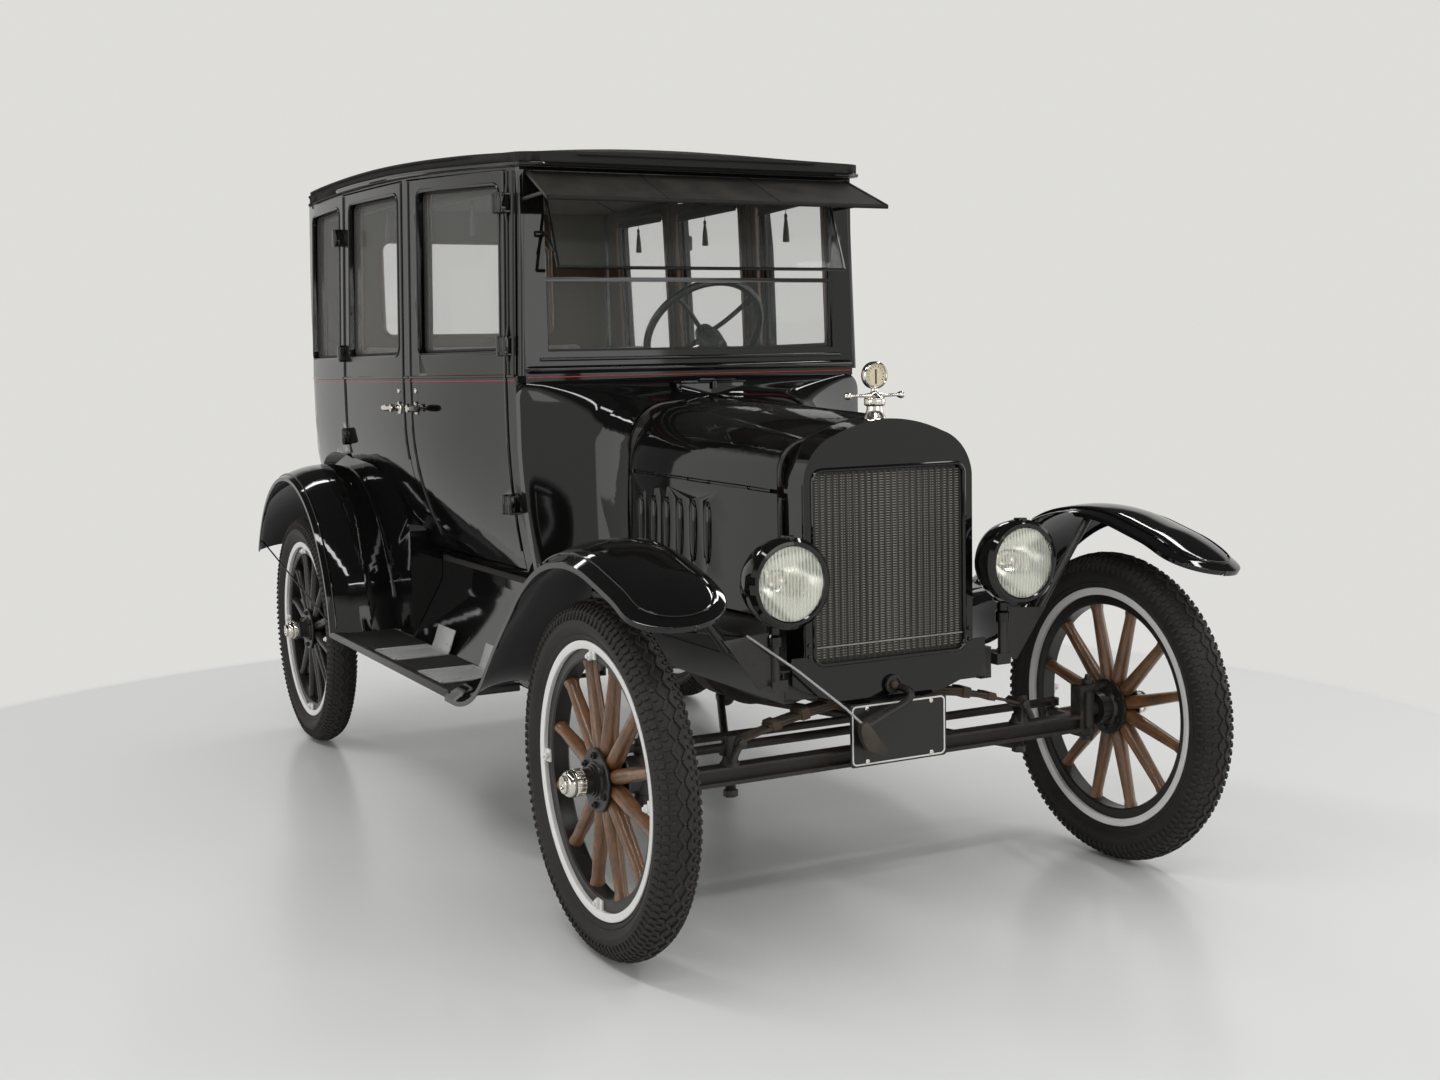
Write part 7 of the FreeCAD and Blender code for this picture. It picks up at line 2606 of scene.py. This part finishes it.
@dataclass
class Roof:
    """Padded cloth roof with its mouldings, windscreen, and the visor over it."""

    garage: Garage
    visor_seams: tuple[float, ...] = (-0.168, 0.168)
    rivets: int = 13

    def build(self) -> None:
        """Dress the roof, the visor and the windscreen."""
        roof = self.garage.carry("roof", ROOF_CLOTH, 40.0)
        roof.data.materials.append(HEADLINER.material())
        for face in roof.data.polygons:
            if face.normal.z < -0.7 and abs(face.center.x) < 0.6:
                face.material_index = 1
        for label, offset, radius, finish in (
            ("drip_moulding", 0.006, 0.0065, BLACK_GLOSS), ("roof_welt", 0.0345, 0.0045, ROOF_CLOTH)
        ):
            line = self.loop(offset)
            if len(line) > 20:
                self.garage.place(tube(label, line, radius, closed=True), finish, "car")
        self.visor()
        self.screen()

    def loop(self, offset: float) -> list[Vector]:
        """Points round the roof's edge a little above its underside.

        Args:
            offset: how far above.
        Returns:
            The points in order.
        """
        line = []
        for k in range(220):
            a = math.tau * k / 220
            out = Vector((math.cos(a), math.sin(a), 0))
            z = 1.86 + offset
            place = None
            for _ in range(3):
                place = self.garage.hit(("roof",), Vector((0, 0.58, z)) + out * 2.2, -out)
                if place is None:
                    break
                z = roof_edge_z(place.y) + offset
            if place is not None:
                line.append(Vector((place.x, place.y, z)))
        return line

    def visor(self) -> None:
        """Coated-cloth visor in three panels with seams, binding and rivets."""
        self.garage.carry("sun_visor", LEATHERETTE, 30.0)
        top = Vector((0, -0.383, 1.808))
        low = Vector((0, -0.575, 1.722))
        down = (low - top).normalized()
        out = Vector((0, down.z, -down.y)).normalized()
        if out.z < 0:
            out = -out
        seams = []
        for x in self.visor_seams:
            seams.append(
                tube("seam", [top + X_AXIS * x + out * 0.0002, low + X_AXIS * x + out * 0.0002], 0.0016)
            )
        for z in (top + down * 0.012, low - down * 0.006):
            t = (z - top).length / (low - top).length
            half = 0.496 + t * 0.019 - 0.004
            seams.append(
                tube("stitch", [z - X_AXIS * half + out * 0.0002, z + X_AXIS * half + out * 0.0002], 0.0012)
            )
        for s in (-1, 1):
            seams.append(tube("edge", [top + X_AXIS * s * 0.492, low + X_AXIS * s * 0.511], 0.0040))
        seams.append(
            tube("hem", [low - X_AXIS * 0.513 - out * 0.004, low + X_AXIS * 0.513 - out * 0.004], 0.0048)
        )
        self.garage.place(joined("visor_seams", seams), ROOF_CLOTH, "car")
        rivet = lathe(
            "rivet", tuple(top + down * 0.006 - X_AXIS * 0.480), out,
            [(-0.001, 0.0003), (-0.001, 0.0042), (0.0008, 0.0040), (0.0020, 0.0024), (0.0023, 0.0003)], 14
        )
        self.garage.place(
            repeated(
                rivet, [Matrix.Translation((0.080 * i, 0, 0)) for i in range(self.rivets)], "visor_rivets"
            ),
            BLACK_CHASSIS, "car"
        )

    def screen(self) -> None:
        """Windscreen frame, its swing arms, clamps and rubber strips."""
        frame = self.garage.carry("windscreen_frame", BLACK_GLOSS, 26.0)
        for vertex in frame.data.vertices:
            vertex.co.z = max(vertex.co.z, 1.250)
        a = math.radians(22)
        pivot = Vector((0, -0.361, 1.785))
        drop = Vector((0, -math.sin(a), -math.cos(a)))
        pieces = []
        for side in Side:
            s = side.value
            pieces.append(
                tube(
                    "stile", [pivot + X_AXIS * s * 0.441, pivot + X_AXIS * s * 0.441 + drop * 0.252], 0.0045
                )
            )
            pieces.append(
                rod(
                    "knob", (s * 0.446, -0.361, 1.785), (s * 0.462, -0.361, 1.785), 0.011, sides=20,
                    bevel=0.002
                )
            )
            foot = pivot + X_AXIS * s * 0.444 + drop * 0.205
            pieces.append(tube("arm", [foot, (s * 0.452, -0.372, 1.655), (s * 0.462, -0.368, 1.640)], 0.0042))
            pieces.append(
                rod(
                    "wing_nut", (s * 0.450, -0.378, 1.643), (s * 0.474, -0.378, 1.643), 0.0085, sides=12,
                    bevel=0.0015
                )
            )
            pieces.append(
                tube("stile_low", [(s * 0.4445, -0.3645, 1.334), (s * 0.4445, -0.3645, 1.520)], 0.0050)
            )
        low = pivot + drop * 0.252
        pieces.append(tube("foot_rail", [low - X_AXIS * 0.441, low + X_AXIS * 0.441], 0.0048))
        self.garage.place(joined("screen_swing_frame", pieces), BLACK_UPPER, "car")
        rail = [Vector((x, -0.3790 + 0.012 * max(0.0, abs(x) - 0.49) / 0.02, 1.2835)) for x in
                (-0.515, -0.505, -0.490, 0.490, 0.505, 0.515)]
        sill = slab("sill_bar", (-0.470, -0.3830, 1.3060), (0.470, -0.3700, 1.3160), 0.003)
        self.garage.place(
            joined("screen_rail", [tube("rail", rail, 0.0110, sides=5), sill]), BLACK_GLOSS, "car", (), 50.0
        )
        strip = tube("screen_strip", [(-0.444, -0.361, 1.333), (0.444, -0.361, 1.333)], 0.006)
        self.garage.place(strip, RUBBER, "car")


# ------------------------------------------------------------------ interior
@dataclass
class Interior:
    """Seats, floor, hand wheel and levers."""

    garage: Garage
    pleats: int = 12
    voxel: float = 0.010
    swell: float = 0.016

    def build(self) -> None:
        """Build the seats and the controls."""
        self.garage.carry("floor", FLOOR_MAT)
        first = True
        for label, y0, y1, y2, top in (
            ("front", 0.400, 0.800, 0.900, 1.380), ("rear", 1.080, 1.420, 1.515, 1.400)
        ):
            base = slab(f"seat_box_{label}", (-0.420, y0 + 0.040, 0.7125), (0.420, y1 + 0.060, 0.930), 0.006)
            panel = slab("panel", (-0.405, y0 + 0.036, 0.730), (0.405, y0 + 0.044, 0.915), 0.003)
            self.garage.place(
                joined(f"seat_box_{label}", [base, panel]), SEAT_CLOTH, "car", ("seats",) if first else ()
            )
            first = False
            self.pad(f"seat_cushion_{label}", (-0.440, y0 + 0.008, 0.938), (0.440, y1 + 0.004, 1.058), Z_AXIS)
            self.pad(
                f"seat_back_{label}", (-0.440, y1 + 0.016, 0.945), (0.440, y2 - 0.008, top - 0.010),
                Vector((0, -1, 0))
            )
        self.hand_wheel()

    def pad(self, name: str, low: Point, high: Point, face: Vector) -> None:
        """Stuffed and pleated pad.

        Args:
            name: the piece's name.
            low: lowest corner.
            high: highest corner.
            face: direction of the pleated face.
        """
        piece = slab(name, low, high, 0.035, 4)
        apply_modifier(piece, "REMESH", mode="VOXEL", voxel_size=self.voxel, adaptivity=0.0)
        rest = [vertex.co.copy() for vertex in piece.data.vertices]
        self.inflate(piece)
        width = high[0] - low[0]
        pitch = width / self.pleats
        for vertex, start in zip(piece.data.vertices, rest):
            move = vertex.co - start
            if move.length > self.swell:
                vertex.co = start + move.normalized() * self.swell
            normal = vertex.normal
            toward = max(0.0, normal.dot(face))
            phase = ((vertex.co.x - low[0]) / pitch) % 1.0
            groove = math.exp(-((min(phase, 1 - phase) * pitch) / 0.007) ** 2)
            vertex.co -= face * (0.013 * groove * toward)
        apply_modifier(piece, "SUBSURF", levels=1, render_levels=1)
        self.garage.place(piece, SEAT_CLOTH, "car", (), 80.0)

    def inflate(self, piece: bpy.types.Object) -> None:
        """Let a pad swell under a little pressure and keep the result.

        Args:
            piece: the pad.
        """
        pick(piece)
        cloth = piece.modifiers.new("stuffing", "CLOTH")
        cloth.settings.use_pressure = True
        cloth.settings.uniform_pressure_force = 4.0
        cloth.settings.quality = 4
        cloth.settings.mass = 0.4
        cloth.settings.tension_stiffness = 20
        cloth.settings.effector_weights.gravity = 0.0
        cloth.point_cache.frame_start, cloth.point_cache.frame_end = 1, 14
        for frame in range(1, 15):
            bpy.context.scene.frame_set(frame)
        bpy.ops.object.modifier_apply(modifier=cloth.name)
        bpy.context.scene.frame_set(1)

    def hand_wheel(self) -> None:
        """Moulded wheel with four swept spokes, its hub, and the two levers under it."""
        slope = math.radians(38)
        hub = Vector((0.245, 0.055, 1.388))
        down = Vector((0, -math.cos(slope), -math.sin(slope)))
        up = X_AXIS.cross(down).normalized()
        rim_r = 0.188
        ring = [
            hub + X_AXIS * (rim_r * math.cos(a)) + up * (rim_r * math.sin(a))
            for a in (math.tau * k / 72 for k in range(72))
        ]
        pieces = [tube("rim", ring, 0.0118, closed=True, sides=6)]
        for i in range(4):
            a = math.pi / 4 + i * math.pi / 2
            d = X_AXIS * math.cos(a) + up * math.sin(a)
            e = X_AXIS * math.cos(a + 0.5) + up * math.sin(a + 0.5)
            pieces.append(
                tube(
                    "spoke",
                    [
                        hub + d * 0.012 + down * 0.012, hub + d * 0.055 + down * 0.016,
                        hub + d * 0.105 + e * 0.012 + down * 0.004,
                        hub + d * 0.150 + e * 0.006 - down * 0.001, hub + d * 0.184
                    ],
                    0.0075, curved=True
                )
            )
        pieces.append(
            lathe(
                "hub", tuple(hub), down,
                [
                    (-0.022, 0.0004), (-0.022, 0.010), (-0.018, 0.014), (-0.012, 0.016), (-0.008, 0.027),
                    (0.004, 0.031), (0.034, 0.033), (0.0355, 0.0004)
                ],
                40
            )
        )
        self.garage.place(joined("hand_wheel", pieces), HAND_RUBBER, "steering_wheel", ("steering_wheel",))
        levers = []
        for s in (-1, 1):
            root = hub + down * 0.058
            tip = root + X_AXIS * (s * 0.150) + up * 0.050 + down * 0.012
            levers.append(
                tube("lever", [root, root + X_AXIS * (s * 0.060) + up * 0.004, tip], 0.0036, curved=True)
            )
            levers.append(
                rod(
                    "knob", tuple(tip), tuple(tip + X_AXIS * (s * 0.020) + up * 0.006), 0.0075, sides=16,
                    bevel=0.003
                )
            )
        self.garage.place(joined("hand_levers", levers), NICKEL, "car")


# ------------------------------------------------------------------ studio
@dataclass
class Studio:
    """Floor, backdrop, lamps and camera."""

    eye: tuple[float, float, float] = (-2.1325, -4.5918, 1.2909)
    yaw: float = 27.49
    pitch: float = -6.02
    roll: float = -1.23
    lens: float = 41.85
    floor_colour: tuple[float, float, float] = (0.80, 0.80, 0.78)
    wall_colour: tuple[float, float, float] = (0.73, 0.725, 0.705)
    ceiling_colour: tuple[float, float, float] = (0.045, 0.045, 0.045)
    room_centre: tuple[float, float, float] = (0.011, 0.121, 0.0)
    room_radius: tuple[float, float] = (2.87, 2.95)

    def build(self) -> None:
        """Set up the camera, the floor, the lamps and the sky."""
        self.camera()
        self.floor()
        self.lamps()
        self.sky()
        bpy.context.scene.view_settings.view_transform = "Standard"

    def camera(self) -> None:
        """Camera at the viewing angle."""
        yaw, pitch, roll = (math.radians(a) for a in (self.yaw, self.pitch, self.roll))
        forward = Vector((math.sin(yaw) * math.cos(pitch), math.cos(yaw) * math.cos(pitch), math.sin(pitch)))
        right = forward.cross(Z_AXIS).normalized()
        up = right.cross(forward)
        across = right * math.cos(roll) + up * math.sin(roll)
        upward = up * math.cos(roll) - right * math.sin(roll)
        data = bpy.data.cameras.new("camera")
        data.lens, data.sensor_width, data.sensor_fit = self.lens, 36.0, "HORIZONTAL"
        data.clip_end = 200.0
        camera = bpy.data.objects.new("camera", data)
        bpy.context.scene.collection.objects.link(camera)
        turn = Matrix((across, upward, -forward)).transposed().to_4x4()
        camera.matrix_world = Matrix.Translation(self.eye) @ turn
        bpy.context.scene.camera = camera

    def floor(self) -> None:
        """Grey painted floor that meets a round white wall."""
        deselect()
        bpy.ops.mesh.primitive_plane_add(size=60.0, location=(0, 0, 0))
        floor = bpy.context.object
        floor.name = "studio_floor"
        material = Finish("studio_floor", "", self.floor_colour, 0.24, specular=0.4).material()
        tree = Tree(material.node_tree)
        grey = material.node_tree.nodes["Principled BSDF"]
        end = next(node for node in material.node_tree.nodes if node.type == "OUTPUT_MATERIAL")
        reach = tree.add("VectorMath", operation="DISTANCE")
        tree.link(tree.add("TexCoord").outputs["Object"], reach.inputs[0])
        reach.inputs[1].default_value = self.room_centre
        beyond = tree.ramp(reach.outputs["Value"], *self.room_radius)
        matt = tree.add("BsdfDiffuse", {"Color": (*self.wall_colour, 1.0)})
        seen = tree.add("Emission", {"Color": (*self.wall_colour, 1.0), "Strength": 1.0})
        wall = tree.add("MixShader")
        tree.link(self.watched(tree), wall.inputs["Fac"])
        tree.link(matt.outputs[0], wall.inputs[1])
        tree.link(seen.outputs[0], wall.inputs[2])
        whole = tree.add("MixShader")
        tree.link(beyond, whole.inputs["Fac"])
        tree.link(grey.outputs[0], whole.inputs[1])
        tree.link(wall.outputs[0], whole.inputs[2])
        tree.link(whole.outputs[0], end.inputs["Surface"])
        floor.data.materials.append(material)

    def watched(self, tree: Tree) -> bpy.types.NodeSocket:
        """Socket that is 1 for rays that come straight from the camera, from gloss or through glass.

        Args:
            tree: the tree that the nodes go into.
        Returns:
            The socket.
        """
        rays = tree.add("LightPath")
        direct = tree.math("MAXIMUM", rays.outputs["Is Camera Ray"], rays.outputs["Is Glossy Ray"])
        return tree.math("MAXIMUM", direct, rays.outputs["Is Transmission Ray"])

    def lamps(self) -> None:
        """Strips under the ceiling and soft panels round the car."""
        for name, place, size, power in (("strip_right", (-2.7, -0.8, 4.2), (5.0, 0.26), 52.0),
                                         ("strip_left", (3.0, -0.6, 4.2), (5.0, 0.26), 52.0),
                                         ("strip_front", (-0.2, -4.4, 4.2), (4.6, 0.26), 52.0),
                                         ("strip_rear", (0.4, 3.6, 4.2), (4.6, 0.26), 40.0),
                                         ("left_panel", (-6.5, -1.5, 2.0), (5.0, 3.0), 60.0),
                                         ("right_panel", (6.5, -3.0, 2.0), (4.0, 3.0), 60.0),
                                         ("front_panel", (1.0, -8.0, 2.4), (5.0, 2.4), 60.0)):
            data = bpy.data.lights.new(name, "AREA")
            data.shape = "RECTANGLE"
            data.size, data.size_y = size
            data.energy = power
            lamp = bpy.data.objects.new(name, data)
            bpy.context.scene.collection.objects.link(lamp)
            lamp.matrix_world = Matrix.Translation(place) @ (
                Vector(place) - Vector((0, 0, 0.8))
            ).to_track_quat("Z", "Y").to_matrix().to_4x4()

    def sky(self) -> None:
        """Even world light, with a paler look for the camera, gloss and glass."""
        world = bpy.data.worlds.new("studio_sky")
        bpy.context.scene.world = world
        world.use_nodes = True
        world.node_tree.nodes.clear()
        tree = Tree(world.node_tree)
        light = tree.add("Background", {"Color": (0.96, 0.98, 1.0, 1.0), "Strength": 0.46})
        direction = tree.add("SeparateXYZ")
        tree.link(tree.add("TexCoord").outputs["Generated"], direction.inputs[0])
        shade = tree.add("Mix", data_type="RGBA")
        shade.inputs[6].default_value = (*self.wall_colour, 1.0)
        shade.inputs[7].default_value = (*self.ceiling_colour, 1.0)
        tree.link(tree.ramp(direction.outputs["Z"], 0.34, 0.44), shade.inputs["Factor"])
        seen = tree.add("Background", {"Strength": 1.0})
        tree.link(shade.outputs[2], seen.inputs["Color"])
        mix = tree.add("MixShader")
        tree.link(self.watched(tree), mix.inputs["Fac"])
        tree.link(light.outputs[0], mix.inputs[1])
        tree.link(seen.outputs[0], mix.inputs[2])
        out = tree.add("OutputWorld")
        tree.link(mix.outputs[0], out.inputs["Surface"])


def main() -> None:
    """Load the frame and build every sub-assembly in order."""
    logging.basicConfig(level=logging.INFO, format="%(message)s", stream=sys.stdout)
    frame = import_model()
    deselect()
    garage = Garage(frame)
    for assembly in (
        Studio(), RoadWheels(garage), RunningGear(garage), Wings(garage), Radiator(garage),
        Headlamps(garage), NumberPlate(garage), HoodAndCowl(garage), Cabin(garage), Roof(garage),
        Interior(garage)
    ):
        LOG.info("-- %s", type(assembly).__name__)
        assembly.build()


if __name__ == "__main__":
    main()
